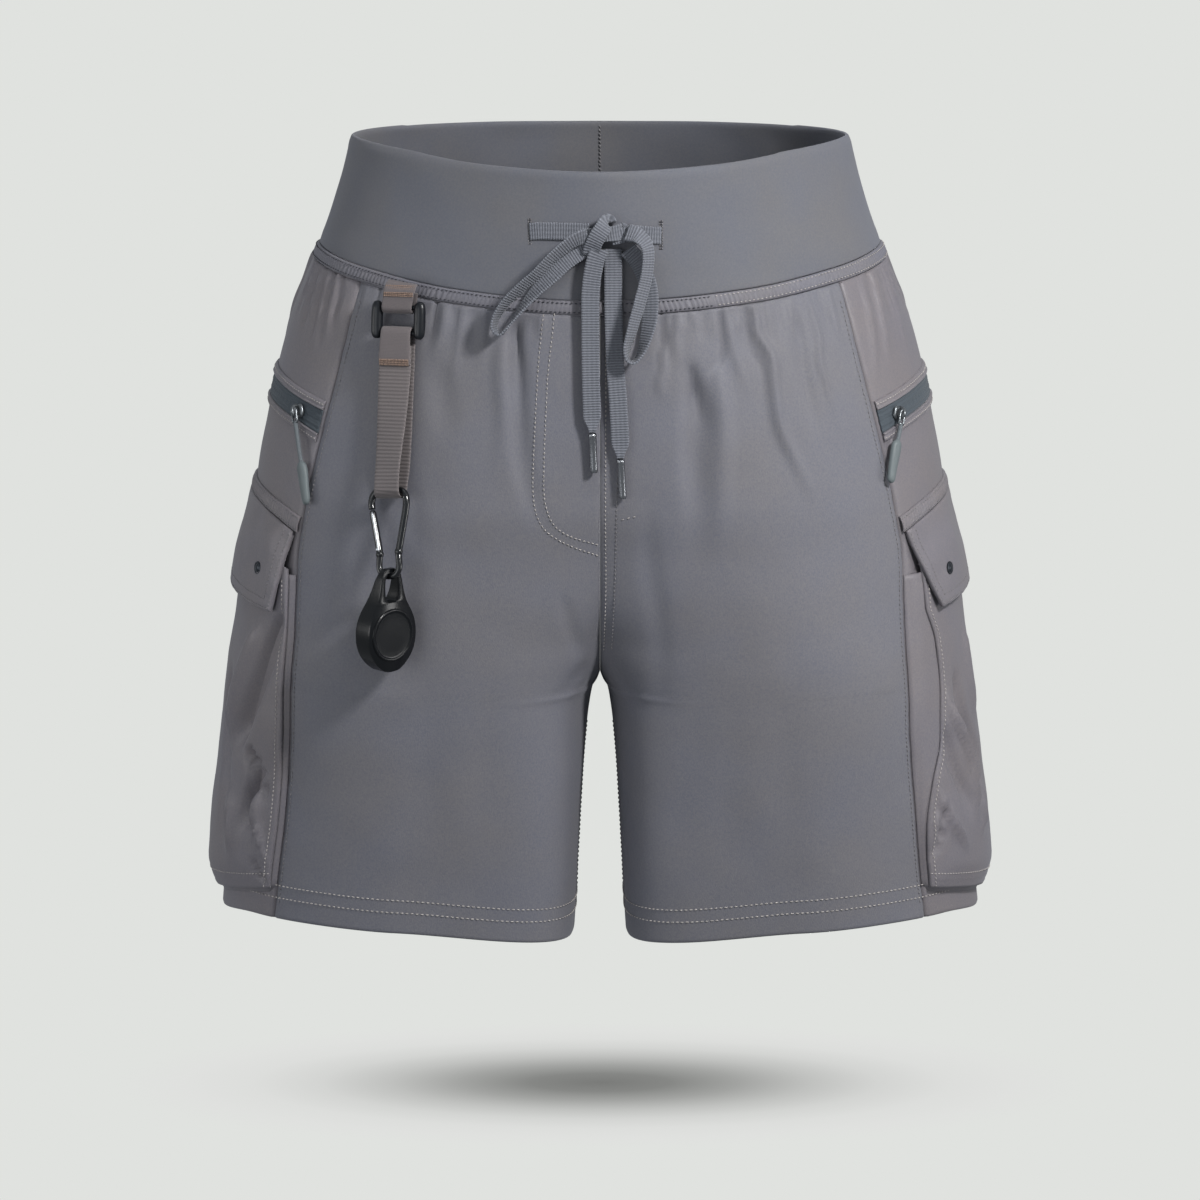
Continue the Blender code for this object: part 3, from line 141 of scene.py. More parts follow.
# Below the fork a leg's middle moves outwards evenly; its two sides have
# their own half-widths about it.
CORE_COLS = ("z", "cx")
CORE = (
    (-275.0, 87.4), (-292.0, 97.7), (-302.0, 102.7), (-309.4, 105.5), (-318.0, 107.9), (-330.0, 109.9),
    (-345.0, 111.4), (-363.0, 112.6), (-414.0, 116.4), (-470.0, 120.3),
)
core = Table(CORE_COLS, CORE)


def lobe(z):
    zz = np.asarray(z, float) / MM
    out, front, back, split, inner, n_out, n_in = (sections(c, zz) for c in SECTION_COLS[1:])
    low = np.asarray(z) < FORK_Z - 1e-7
    split = np.where(low, (out + inner) / (out - inner), split)
    a = out / (1.0 + split)
    s1 = np.minimum(split, 1.0)
    q = np.maximum(1.0 - s1 ** n_in, 0.0) ** (1.0 / n_in)
    end = np.where(split < 1.0, np.arctan2(q, -s1), math.pi)
    share = smooth((-275.0 - zz) / 27.0)
    cx = split * a * (1 - share) + core("cx", zz) * share
    a_in = np.where(low, cx - inner, np.where(split > 1e-6, cx / np.maximum(split, 1e-6), a))
    return (out - cx) * MM, cx * MM, front * MM, back * MM, n_out, n_in, end, a_in * MM


def skin(t, z):
    t, z = np.broadcast_arrays(np.asarray(t, float), np.asarray(z, float))
    a, cx, front, back, n_out, n_in, _, a_in = lobe(z)
    c, s = np.cos(t), np.sin(t)
    n = np.where(c >= 0, n_out, n_in)
    rho = (np.abs(c) ** n + np.abs(s) ** n) ** (-1.0 / n)
    return np.stack([cx + np.where(c >= 0, a, a_in) * rho * c, np.where(s < 0, front, back) * rho * s, z], -1)


def normal(t, z):
    e = 1e-4
    end = lobe(z)[6]
    du = skin(np.minimum(t + e, end), z) - skin(np.maximum(t - e, -end), z)
    dz = skin(t, z + e) - skin(t, z - e)
    n = np.cross(du, dz)
    return n / np.linalg.norm(n, axis=-1, keepdims=True)


def angle_at(x, z, back=False):
    x, z = np.broadcast_arrays(np.asarray(x, float), np.asarray(z, float))
    lo, hi = np.zeros_like(x), lobe(z)[6] * 1.0
    for _ in range(36):
        mid = 0.5 * (lo + hi)
        more = skin(mid, z)[..., 0] > x
        lo, hi = np.where(more, mid, lo), np.where(more, hi, mid)
    return lo if back else -lo


def edge_line(name, t):
    return edges(name, np.degrees(t)) * MM


def seam_angle(z):
    return np.radians(seam("t", np.asarray(z, float) / MM))


def body_top(t):
    return edge_line("band", t) - CASING_H - 2 * GAP


def body_hem(t):
    return edge_line("hem", t)


# ------------------------------------------------------------------ noise
def lattice(ix, iy, iz, seed):
    h = (ix * 374761393 + iy * 668265263 + iz * 2147483647 + seed * 974634777) & 0xFFFFFFFF
    h = ((h ^ (h >> 13)) * 1274126177) & 0xFFFFFFFF
    h = (h ^ (h >> 16)) & 0xFFFFFFFF
    return h / 4294967295.0 * 2 - 1


def noise(p, scale, seed=0):
    """Smooth value noise in -1..1 at points p (metres), cell size scale."""
    q = np.asarray(p, float) / scale
    if q.shape[-1] == 2:
        q = np.concatenate([q, np.zeros(q.shape[:-1] + (1,))], -1)
    i = np.floor(q).astype(np.int64)
    f = q - i
    f = f * f * f * (f * (f * 6 - 15) + 10)
    v = 0
    for dx in (0, 1):
        for dy in (0, 1):
            for dz in (0, 1):
                w = (f[..., 0] if dx else 1 - f[..., 0]) * (f[..., 1] if dy else 1 - f[..., 1]) \
                    * (f[..., 2] if dz else 1 - f[..., 2])
                v = v + w * lattice(i[..., 0] + dx, i[..., 1] + dy, i[..., 2] + dz, seed)
    return v


def spline(points, count):
    """Even points on a smooth curve through rows of numbers."""
    p = np.array(points, float)
    n = len(p)
    pad = np.vstack([2 * p[0] - p[1], p, 2 * p[-1] - p[-2]])
    u = np.linspace(0, n - 1, 40 * n)
    i = np.minimum(u.astype(int), n - 2)
    f = (u - i)[:, None]
    p0, p1, p2, p3 = pad[i], pad[i + 1], pad[i + 2], pad[i + 3]
    fine = 0.5 * (2 * p1 + (p2 - p0) * f + (2 * p0 - 5 * p1 + 4 * p2 - p3) * f ** 2
                  + (3 * p1 - p0 - 3 * p2 + p3) * f ** 3)
    run = np.concatenate([[0], np.cumsum(np.linalg.norm(np.diff(fine[:, :3], axis=0), axis=1))])
    want = np.linspace(0, run[-1], count)
    return np.stack([np.interp(want, run, fine[:, k]) for k in range(fine.shape[1])], 1)


# ------------------------------------------------------------------ folds
# A fold is a soft ridge (+) or trough (-) along a given path.
# For each: height mm, width mm, share of its length where it rises from the
# top and where it starts to die away, and its path.  Front and back paths are
# (x, z) in mm on the garment, side ones (y, z).
class Fold:
    def __init__(self, height, width, rise, fade, path, sharp=1.0, lean=0.0):
        self.h, self.w, self.rise, self.fade = height * MM, width * MM, rise, fade
        self.p = spline([(a * MM, b * MM, 0) for a, b in path], 28)[:, :2]
        self.sharp, self.lean = sharp, lean

    def at(self, q):
        """Height at points q (N, 2)."""
        d = np.zeros(len(q))
        lo, hi = self.p.min(0) - self.w, self.p.max(0) + self.w
        near = np.flatnonzero(((q > lo) & (q < hi)).all(1))
        if not len(near):
            return d
        x = q[near]
        best = np.full(len(x), 1e9)
        along = np.zeros(len(x))
        side = np.zeros(len(x))
        n = len(self.p) - 1
        for k in range(n):
            a, b = self.p[k], self.p[k + 1]
            ab = b - a
            L2 = (ab ** 2).sum()
            s = ((x - a) @ ab) / L2
            over = np.maximum(np.where(k == 0, -s, 0), np.where(k == n - 1, s - 1, 0))
            s = np.clip(s, 0, 1)
            c = a + s[:, None] * ab
            dist = np.linalg.norm(x - c, axis=1)
            m = dist < best
            best[m] = dist[m]
            along[m] = ((k + s) / n)[m]
            side[m] = np.sign(ab[0] * (x[:, 1] - a[1]) - ab[1] * (x[:, 0] - a[0]))[m]
        w = self.w * 0.5 * (0.55 + 0.45 * smooth(along / 0.3)) * (1 - self.lean * side)
        r = np.clip(best / w, 0, 1)
        prof = (0.5 + 0.5 * np.cos(math.pi * r)) ** self.sharp
        amp = smooth(along / max(self.rise, 1e-3)) * (1 - smooth((along - self.fade)
                                                                / max(1 - self.fade, 1e-3)))
        d[near] = self.h * amp * prof
        return d


def folded(folds, q):
    d = np.zeros(len(q))
    for f in folds:
        d += f.at(q)
    return d


# ------------------------------------------------------------------ distances round the cloth
_wz = np.linspace(6, -472, 120) * MM
_wt = np.linspace(-math.pi, math.pi, 361)
_wp = skin(_wt[None, :], _wz[:, None])
_ww = np.concatenate([np.zeros((120, 1)),
                      np.cumsum(np.linalg.norm(np.diff(_wp, axis=1), axis=2), 1)], 1)
_ww -= _ww[:, 180:181]


def from_side(t, z):
    """Distance (m) round the cloth from the side line (t = 0) to angle t, at z."""
    t, z = np.broadcast_arrays(np.asarray(t, float), np.asarray(z, float))
    v = np.clip((t + math.pi) / (2 * math.pi), 0, 1) * 360
    i = np.clip((z - _wz[0]) / (_wz[1] - _wz[0]), 0, 118.999)
    a, b = np.minimum(v.astype(int), 359), i.astype(int)
    fv, fi = v - a, i - b
    return ((_ww[b, a] * (1 - fv) + _ww[b, a + 1] * fv) * (1 - fi)
            + (_ww[b + 1, a] * (1 - fv) + _ww[b + 1, a + 1] * fv) * fi)


def round_at(t, z):
    """The same from the centre front (or from the inner leg seam)."""
    return from_side(t, z) - from_side(-lobe(z)[6], z)


# ------------------------------------------------------------------ folds
# Creases and gathers, listed one by one.  "rise" and "fade" are the shares of the
# length where the fold has grown and where it starts to die.  Paths on the
# front are (x, z) in mm, negative x on the wearer's right; paths round the
# sides and the back are (degrees from the side line, z in mm).
FOLD_COLS = ("height", "width", "rise", "fade", "sharp", "path")
FRONT_FOLDS = (
    (-1.1, 8, 0.0, 0.35, 1.0, ((-92, -80), (-95.5, -97), (-100.5, -112))),
    (-0.7, 6, 0.0, 0.3, 1.0, ((-82, -81), (-83, -92), (-86, -105))),
    (-1.7, 62, 0.25, 0.75, 0.8, ((-117, -212), (-120, -245), (-122, -280), (-123, -312))),   # pressed in by the fob
    (1.6, 17, 0.25, 0.4, 1.0, ((64, -104), (68, -128), (70, -152), (69, -190), (66, -232))),
    (0.9, 9, 0.0, 0.3, 1.0, ((-87, -81), (-88.5, -95), (-95, -116))),
    (0.9, 10, 0.0, 0.3, 1.0, ((-77, -82), (-79, -101), (-85, -134))),
    (-1.0, 22, 0.3, 0.5, 1.0, ((-92, -110), (-88.5, -134), (-84, -165))),
    (1.6, 16, 0.25, 0.4, 1.0, ((-54, -86), (-55, -114), (-54, -149), (-59, -185))),
    (-2.1, 17, 0.12, 0.45, 1.0, ((-47, -84), (-46.5, -118), (-45, -150), (-43, -172), (-36, -197), (-26, -219))),
    (-1.2, 9, 0.15, 0.3, 1.0, ((-47, -84), (-46.5, -110), (-45.5, -150))),
    (0.9, 8, 0.0, 0.25, 1.0, ((-64, -82), (-65, -96), (-69, -124))),
    (-0.8, 7, 0.0, 0.3, 1.0, ((-70, -82), (-71, -92), (-75, -112))),
    (-0.7, 5, 0.0, 0.4, 1.0, ((-38, -82), (-38, -94), (-40, -112))),
    (0.6, 6, 0.0, 0.3, 1.0, ((-33, -82), (-33, -90), (-34, -104))),
    (-0.9, 7, 0.0, 0.4, 1.0, ((-124, -74), (-128, -88), (-132, -108))),
    (0.8, 7, 0.0, 0.4, 1.0, ((-117, -75), (-121, -90), (-126, -112))),
    (-0.8, 7, 0.0, 0.4, 1.0, ((-134, -72), (-139, -90), (-143, -112))),
    (-1.0, 8, 0.0, 0.4, 1.0, ((34, -82), (34.5, -100), (31.5, -126))),
    (1.0, 9, 0.0, 0.4, 1.0, ((42.7, -82), (44.5, -89), (42.5, -99), (45, -118))),
    (0.8, 5, 0.0, 0.4, 1.0, ((51, -82), (53.5, -88), (54.5, -97))),
    (1.0, 6, 0.0, 0.35, 1.2, ((74.5, -80), (78, -92), (85, -112), (88, -120))),
    (1.1, 7, 0.3, 0.6, 1.1, ((33.5, -96), (35.5, -112), (34, -124), (36.5, -136))),
    (-1.2, 9, 0.2, 0.5, 1.0, ((50, -110), (54, -132), (57, -150))),
    (-0.8, 5, 0.0, 0.4, 1.0, ((56.5, -82), (57.5, -90), (56.5, -102))),
    (0.9, 6, 0.0, 0.4, 1.0, ((63, -82), (64.7, -92), (64, -102))),
    (-1.5, 6.5, 0.1, 0.6, 1.0, ((67.5, -82), (68.2, -93), (68.7, -107), (66, -114), (60, -120))),
    (-3.3, 23, 0.2, 0.35, 0.9, ((50, -106), (53.5, -128), (55.5, -146), (54, -172), (52, -236))),
    (1.1, 8, 0.0, 0.45, 1.0, ((70, -80.5), (73.2, -96), (77.2, -112), (85, -134))),
    (2.4, 12.5, 0.03, 0.5, 1.2, ((83, -79), (87.4, -87), (88, -97), (96.5, -111), (97.7, -125), (101.7, -149.5),
                               (110.3, -168.7), (125, -201))),
    (-0.9, 8, 0.0, 0.5, 1.0, ((79, -80), (81.5, -92), (83, -104), (91, -118), (93, -138))),
    (0.9, 6, 0.0, 0.4, 1.0, ((92.6, -78.5), (95.4, -87), (95.4, -100))),
    (-0.8, 6, 0.0, 0.4, 1.0, ((100, -78), (101.5, -92), (104, -110))),
    (1.0, 7, 0.0, 0.45, 1.0, ((106.9, -77), (108.6, -92.7), (111.4, -106), (115.5, -116))),
    (1.4, 9, 0.0, 0.45, 1.1, ((114.4, -75.5), (123, -99), (124.1, -115.5), (128.7, -130), (136, -160))),
    (-1.3, 14, 0.15, 0.5, 1.0, ((110, -84), (114, -112), (119, -138), (127, -170))),
    (1.0, 7, 0.0, 0.45, 1.0, ((128.4, -76), (134, -98), (139.5, -112))),
    (-0.8, 6, 0.0, 0.45, 1.0, ((122, -75), (128, -92), (132, -112))),
    (-0.9, 20, 0.3, 0.6, 1.0, ((26, -180), (28, -225), (34, -273), (31, -330))),
    (-0.7, 14, 0.3, 0.6, 1.0, ((-23, -240), (-14.5, -274), (-6, -294))),
    (-0.8, 16, 0.2, 0.4, 1.0, ((-6, -288), (-14, -300), (-26, -314))),
    (-0.8, 16, 0.2, 0.4, 1.0, ((6, -288), (13, -302), (26, -322))),
    (0.8, 40, 0.4, 0.6, 1.0, ((-70, -270), (-82, -350), (-78, -430))),
    (0.9, 44, 0.4, 0.6, 1.0, ((96, -260), (90, -340), (96, -430))),
    (-0.7, 36, 0.4, 0.6, 1.0, ((58, -300), (52, -350), (40, -420))),
)
RIGHT_FOLDS = (   # wearer's right, image left
    (-1.2, 6, 0.0, 0.45, 1.0, ((-28, -72), (-29.5, -86), (-33, -112))),
    (0.8, 5, 0.0, 0.45, 1.0, ((-25.5, -71), (-27, -86), (-30, -112))),
    (-1.2, 6, 0.0, 0.45, 1.0, ((-23, -70), (-25.5, -87), (-28.5, -119))),
    (0.8, 5, 0.0, 0.45, 1.0, ((-20.5, -69), (-22.5, -86), (-26, -116))),
    (-1.2, 6, 0.0, 0.45, 1.0, ((-18, -68), (-21, -88), (-25, -124))),
    (0.7, 5, 0.0, 0.45, 1.0, ((-15.5, -67), (-18, -86), (-22, -114))),
    (-1.1, 6, 0.0, 0.45, 1.0, ((-13, -67), (-15, -84), (-19, -114))),
    (0.7, 5, 0.0, 0.45, 1.0, ((-10, -66), (-12, -84), (-15, -108))),
    (-1.0, 6, 0.0, 0.45, 1.0, ((-7, -66), (-9, -84), (-11, -106))),
    (1.2, 10, 0.0, 0.4, 1.0, ((4, -66), (5, -90), (3, -128))),
    (-1.3, 10, 0.0, 0.4, 1.0, ((14, -66), (16, -88), (15, -122))),
    (1.1, 9, 0.0, 0.4, 1.0, ((24, -67), (26, -92), (28, -130))),
    (-1.4, 11, 0.0, 0.4, 1.0, ((44, -72), (46, -98), (47, -140))),
    (1.7, 15, 0.0, 0.4, 1.0, ((53, -72), (54, -110), (57, -166))),
    (-1.9, 16, 0.0, 0.4, 1.0, ((61, -73), (64, -108), (66, -160))),
    (1.1, 9, 0.0, 0.4, 1.0, ((69, -74), (70, -94), (72, -126))),
    (-1.5, 12, 0.0, 0.4, 1.0, ((76, -75), (77, -100), (76, -146))),
    (1.3, 12, 0.0, 0.4, 1.0, ((84, -76), (84, -104), (83, -140))),
    (1.2, 34, 0.3, 0.6, 1.0, ((62, -250), (66, -330), (64, -450))),
    (-1.6, 40, 0.3, 0.6, 1.0, ((100, -270), (104, -340), (108, -450))),
    (-1.2, 26, 0.2, 0.5, 1.0, ((86, -268), (98, -300), (118, -330))),
    (1.2, 30, 0.4, 0.7, 1.0, ((140, -320), (136, -380), (134, -455))),
)
LEFT_FOLDS = (    # wearer's left, image right
    (1.0, 7, 0.0, 0.45, 1.1, ((-25.5, -69), (-29.5, -101), (-33, -128), (-34, -140))),
    (-0.9, 6, 0.0, 0.45, 1.0, ((-22, -69), (-26, -98), (-29, -126))),
    (1.0, 6, 0.0, 0.45, 1.1, ((-19, -67.5), (-23, -95), (-26, -122), (-26.5, -134))),
    (-0.8, 5, 0.0, 0.45, 1.0, ((-15, -67), (-18, -92), (-20, -118))),
    (0.9, 6, 0.0, 0.45, 1.1, ((-11, -66), (-14, -97), (-15, -121), (-13, -128))),
    (0.8, 5, 0.0, 0.45, 1.0, ((-6, -66), (-10, -84), (-13, -107))),
    (-0.9, 6, 0.0, 0.45, 1.0, ((-3, -66), (-5, -84), (-7, -106))),
    (1.2, 9, 0.0, 0.4, 1.0, ((6, -66), (7, -92), (4, -126))),
    (-1.2, 10, 0.0, 0.4, 1.0, ((17, -66), (20, -92), (19, -128))),
    (1.0, 8, 0.0, 0.4, 1.0, ((26, -67), (28, -88), (30, -120))),
    (-1.5, 12, 0.0, 0.4, 1.0, ((42, -71), (45, -104), (48, -150))),
    (1.9, 16, 0.0, 0.4, 1.0, ((50, -72), (52, -108), (56, -172))),
    (-1.6, 12, 0.0, 0.4, 1.0, ((58, -73), (59, -102), (61, -142))),
    (1.2, 10, 0.0, 0.4, 1.0, ((66, -74), (67, -98), (70, -134))),
    (-2.0, 16, 0.0, 0.4, 1.0, ((73, -75), (75, -106), (76, -160))),
    (1.2, 11, 0.0, 0.4, 1.0, ((82, -76), (82, -98), (80, -130))),
    (-1.4, 40, 0.3, 0.6, 1.0, ((66, -260), (68, -340), (64, -450))),
    (1.4, 40, 0.3, 0.6, 1.0, ((98, -280), (100, -350), (106, -450))),
    (-1.2, 26, 0.2, 0.5, 1.0, ((88, -268), (100, -300), (120, -334))),
    (1.1, 30, 0.4, 0.7, 1.0, ((138, -320), (134, -380), (136, -455))),
)


def front_fold(row):
    f = dict(zip(FOLD_COLS, row))
    x, z = (np.array([p[k] for p in f["path"]]) * MM for k in (0, 1))
    w = from_side(angle_at(np.abs(x), z), z) / MM
    fine = f["width"] < 12      # gathers under the casing are narrow and crisp
    return (1 if x[0] > 0 else -1), Fold(f["height"] * (1.75 if fine else 1.5), f["width"] * (0.72 if fine else 1.0),
                                         f["rise"], f["fade"],
                                         list(zip(w, z / MM)), f["sharp"])


def round_fold(half, row):
    f = dict(zip(FOLD_COLS, row))
    t = np.radians([p[0] for p in f["path"]])
    z = np.array([p[1] for p in f["path"]]) * MM
    w = from_side(t, z) / MM
    fine = f["width"] < 12
    return half, Fold(f["height"] * (1.85 if fine else 1.6), f["width"] * (0.78 if fine else 1.0), f["rise"],
                      f["fade"], list(zip(w, z / MM)), f["sharp"])


ALL_FOLDS = ([front_fold(r) for r in FRONT_FOLDS] + [round_fold(-1, r) for r in RIGHT_FOLDS]
             + [round_fold(1, r) for r in LEFT_FOLDS])


def relief(half, t, z):
    """How far the cloth stands off its plain form at t, z (m)."""
    t, z = np.broadcast_arrays(np.asarray(t, float), np.asarray(z, float))
    w = round_at(t, z)
    side = from_side(t, z)
    d = folded([f for h, f in ALL_FOLDS if h == half],
               np.stack([side.ravel(), z.ravel()], 1)).reshape(w.shape)
    depth = body_top(t) - z
    flat = np.stack([w * half, depth, np.full_like(w, 0.3)], -1)
    near = np.exp(-np.maximum(depth, 0) / (11 * MM))
    busy = 0.25 + 0.75 * smooth((w - 12 * MM) / (30 * MM))
    fine = noise(flat * np.array([1, 0.14, 1]), 4.6 * MM, 3)
    patch = 0.55 + 0.55 * noise(flat * np.array([1, 0, 1]), 24 * MM, 8)
    d = d + 0.85 * MM * near * smooth(depth / (2.0 * MM)) * fine * patch * busy
    far = np.exp(-np.maximum(depth, 0) / (34 * MM))
    d = d + 0.5 * MM * far * smooth(depth / (4 * MM)) * busy * noise(flat * np.array([1, 0.2, 1]), 11 * MM, 5)
    p3 = skin(t, z) * np.array([half, 1, 1])
    d = d + 0.8 * MM * noise(p3, 62 * MM, 11) * smooth(depth / (60 * MM))
    d = d + 0.22 * MM * noise(p3, 20 * MM, 12) * smooth(depth / (40 * MM))
    # slight pucker along the side seams
    edge = np.abs(np.abs(t) - seam_angle(z)) * 0.12
    down = np.stack([0 * w, depth, np.full_like(w, 0.2 + half)], -1)
    d = d + 0.28 * MM * np.exp(-edge / (3.5 * MM)) * noise(down, 6.5 * MM, 21)
    return d


def cloth(half, t, z, off=0.0, folds=True):
    """Points on the cloth, off metres outside it, and the plain normals."""
    t, z = np.broadcast_arrays(np.asarray(t, float), np.asarray(z, float))
    n = normal(t, z)
    e = np.asarray(off) + (relief(half, t, z) if folds else 0.0)
    p = skin(t, z) + n * (e if np.ndim(e) == 0 else e[..., None])
    return p * np.array([half, 1, 1]), n * np.array([half, 1, 1])


def over_front(x, z, off=0.0):
    """Point and normal over the plain front at X = x, z, off (all mm)."""
    x, z, off = np.broadcast_arrays(np.asarray(x, float), np.asarray(z, float), np.asarray(off, float))
    t = angle_at(np.abs(x) * MM, z * MM)
    n = normal(t, z * MM)
    p = skin(t, z * MM) + n * (off * MM)[..., None]
    s = np.where(x < 0, -1.0, 1.0)[..., None] * np.array([1, 0, 0]) + np.array([0, 1, 1])
    return p * s, n * s


# ------------------------------------------------------------------ meshes
def mesh_object(name, verts, faces, mats, uv=None, shade=True, face_mat=None):
    me = bpy.data.meshes.new(name)
    verts = np.asarray(verts, np.float32).reshape(-1, 3)
    me.vertices.add(len(verts))
    me.vertices.foreach_set("co", verts.ravel())
    if isinstance(faces, np.ndarray):
        sizes = np.full(len(faces), faces.shape[1], np.int32)
        flat = faces.ravel().astype(np.int32)
    else:
        sizes = np.array([len(f) for f in faces], np.int32)
        flat = np.array([i for f in faces for i in f], np.int32)
    me.loops.add(len(flat))
    me.loops.foreach_set("vertex_index", flat)
    me.polygons.add(len(sizes))
    me.polygons.foreach_set("loop_start",
                            np.concatenate([[0], np.cumsum(sizes)[:-1]]).astype(np.int32))
    if uv is not None:
        layer = me.uv_layers.new(name="cloth")
        layer.data.foreach_set("uv", np.asarray(uv, np.float32).reshape(-1, 2)[flat].ravel())
    me.update(calc_edges=True)
    me.polygons.foreach_set("use_smooth", np.full(len(me.polygons), shade))
    for m in (mats if isinstance(mats, (list, tuple)) else [mats]):
        me.materials.append(m)
    if face_mat is not None:
        me.polygons.foreach_set("material_index", np.asarray(face_mat, np.int32))
    ob = bpy.data.objects.new(name, me)
    bpy.context.scene.collection.objects.link(ob)
    return ob


def grid_faces(ni, nj, closed=False):
    idx = np.arange(ni * nj).reshape(ni, nj)
    if closed:
        idx = np.concatenate([idx, idx[:, :1]], 1)
    q = np.stack([idx[:-1, :-1], idx[:-1, 1:], idx[1:, 1:], idx[1:, :-1]], -1).reshape(-1, 4)
    return idx, q


def shell(name, P, N, thick, mat, uv=None, closed=False):
    """Thin cloth: outer points P (i, j, 3), normals N, and a wall round its rim."""
    ni, nj = P.shape[:2]
    outer, inner = P.reshape(-1, 3), (P - N * thick).reshape(-1, 3)
    idx, top = grid_faces(ni, nj, closed)
    m = ni * nj
    a, b, c = (outer[top[:, k]] for k in (0, 1, 2))
    flip = (np.cross(b - a, c - a) * N.reshape(-1, 3)[top[:, 0]]).sum() < 0

    def wall(line):
        return np.stack([line[1:], line[:-1], line[:-1] + m, line[1:] + m], -1)
    rims = [wall(idx[0]), wall(idx[-1][::-1])]
    if not closed:
        rims += [wall(idx[::-1, 0]), wall(idx[:, -1])]
    faces = np.concatenate([top, top[:, ::-1] + m] + rims)
    if flip:
        faces = faces[:, ::-1]
    verts = np.concatenate([outer, inner])
    if uv is not None:
        uv = np.concatenate([uv.reshape(-1, 2)] * 2)
    return mesh_object(name, verts, faces, mat, uv)


def frames_along(p, closed=False, up=None):
    p = np.asarray(p, float)
    tan = (np.roll(p, -1, 0) - np.roll(p, 1, 0)) if closed else np.gradient(p, axis=0)
    tan /= np.linalg.norm(tan, axis=1, keepdims=True)
    ref = np.cross(tan[0], [0.3, 0.5, 0.81]) if up is None else np.asarray(up, float)
    us = []
    for i in range(len(p)):
        ref = ref - tan[i] * (ref @ tan[i])
        ref = ref / np.linalg.norm(ref)
        us.append(ref)
    us = np.array(us)
    if closed:
        last = us[-1] - tan[0] * (us[-1] @ tan[0])
        ang = math.atan2(last @ np.cross(tan[0], us[0]), last @ us[0])
        for i in range(len(p)):
            a = -ang * i / (len(p) - 1)
            us[i] = us[i] * math.cos(a) + np.cross(tan[i], us[i]) * math.sin(a)
    return tan, us, np.cross(tan, us)


def tube_mesh(points, radius, sides=12, closed=False, squash=1.0, up=None):
    p = np.asarray(points, float)
    n = len(p)
    r = np.broadcast_to(np.asarray(radius, float), (n,))
    tan, us, vs = frames_along(p, closed, up)
    a = np.linspace(0, 2 * math.pi, sides, endpoint=False)
    ring = us[:, None] * np.cos(a)[None, :, None] + vs[:, None] * (squash * np.sin(a))[None, :, None]
    verts = (p[:, None] + ring * r[:, None, None]).reshape(-1, 3)
    faces = []
    for i in range(n if closed else n - 1):
        j = (i + 1) % n
        for k in range(sides):
            k2 = (k + 1) % sides
            faces.append((i * sides + k, i * sides + k2, j * sides + k2, j * sides + k))
    if not closed:
        faces.append(tuple(range(sides - 1, -1, -1)))
        faces.append(tuple(range((n - 1) * sides, n * sides)))
    return verts, faces


class Joined:
    """Many small things in one mesh."""

    def __init__(self):
        self.v, self.f, self.n = [], [], 0

    def add(self, verts, faces):
        self.v.append(np.asarray(verts, float))
        self.f += [tuple(int(i) + self.n for i in f) for f in faces]
        self.n += len(verts)
        return self

    def object(self, name, mat):
        return mesh_object(name, np.concatenate(self.v), self.f, mat)


_ca = np.linspace(0, 2 * math.pi, 5, endpoint=False)
_st = ((-0.5, 0.3, -0.2), (-0.3, 1.0, 0.4), (0, 1.1, 0.7), (0.3, 1.0, 0.4), (0.5, 0.3, -0.2))
_sf = [(i * 5 + k, i * 5 + (k + 1) % 5, (i + 1) * 5 + (k + 1) % 5, (i + 1) * 5 + k)
       for i in range(4) for k in range(5)] + [(4, 3, 2, 1, 0), (20, 21, 22, 23, 24)]


def stitch_row(bag, pts, nrm, pitch=2.9, long_=2.1, r=0.27, lift=0.12, tilt=0.0, skip=()):
    """Stitches (sizes in mm) along points with their normals."""
    pts, nrm = np.asarray(pts, float), np.asarray(nrm, float)
    run = np.concatenate([[0], np.cumsum(np.linalg.norm(np.diff(pts, axis=0), axis=1))])
    count = max(int(run[-1] / (pitch * MM)), 1)
    s = (np.arange(count) + 0.5) * run[-1] / count
    c = np.stack([np.interp(s, run, pts[:, k]) for k in range(3)], 1)
    ahead = np.stack([np.interp(s + 2e-4, run, pts[:, k]) - np.interp(s - 2e-4, run, pts[:, k])
                      for k in range(3)], 1)
    tan = ahead / np.linalg.norm(ahead, axis=1, keepdims=True)
    nn = np.stack([np.interp(s, run, nrm[:, k]) for k in range(3)], 1)
    nn /= np.linalg.norm(nn, axis=1, keepdims=True)
    side = np.cross(nn, tan)
    if tilt:
        tan = tan * math.cos(tilt) + side * math.sin(tilt)
        side = np.cross(nn, tan)
    rows = []
    for a, rr, up in _st:
        base = c + tan * (a * long_ * MM) + nn * (lift * up * MM)
        for k in _ca:
            rows.append(base + side * (rr * r * MM * math.cos(k)) + nn * (rr * r * MM * math.sin(k)))
    v = np.stack(rows, 1)
    for k in range(count):
        if k not in skip:
            bag.add(v[k], _sf)


# ------------------------------------------------------------------ materials
def srgb(r, g, b):
    def lin(v):
        v /= 255.0
        return v / 12.92 if v <= 0.04045 else ((v + 0.055) / 1.055) ** 2.4
    return (lin(r), lin(g), lin(b), 1.0)


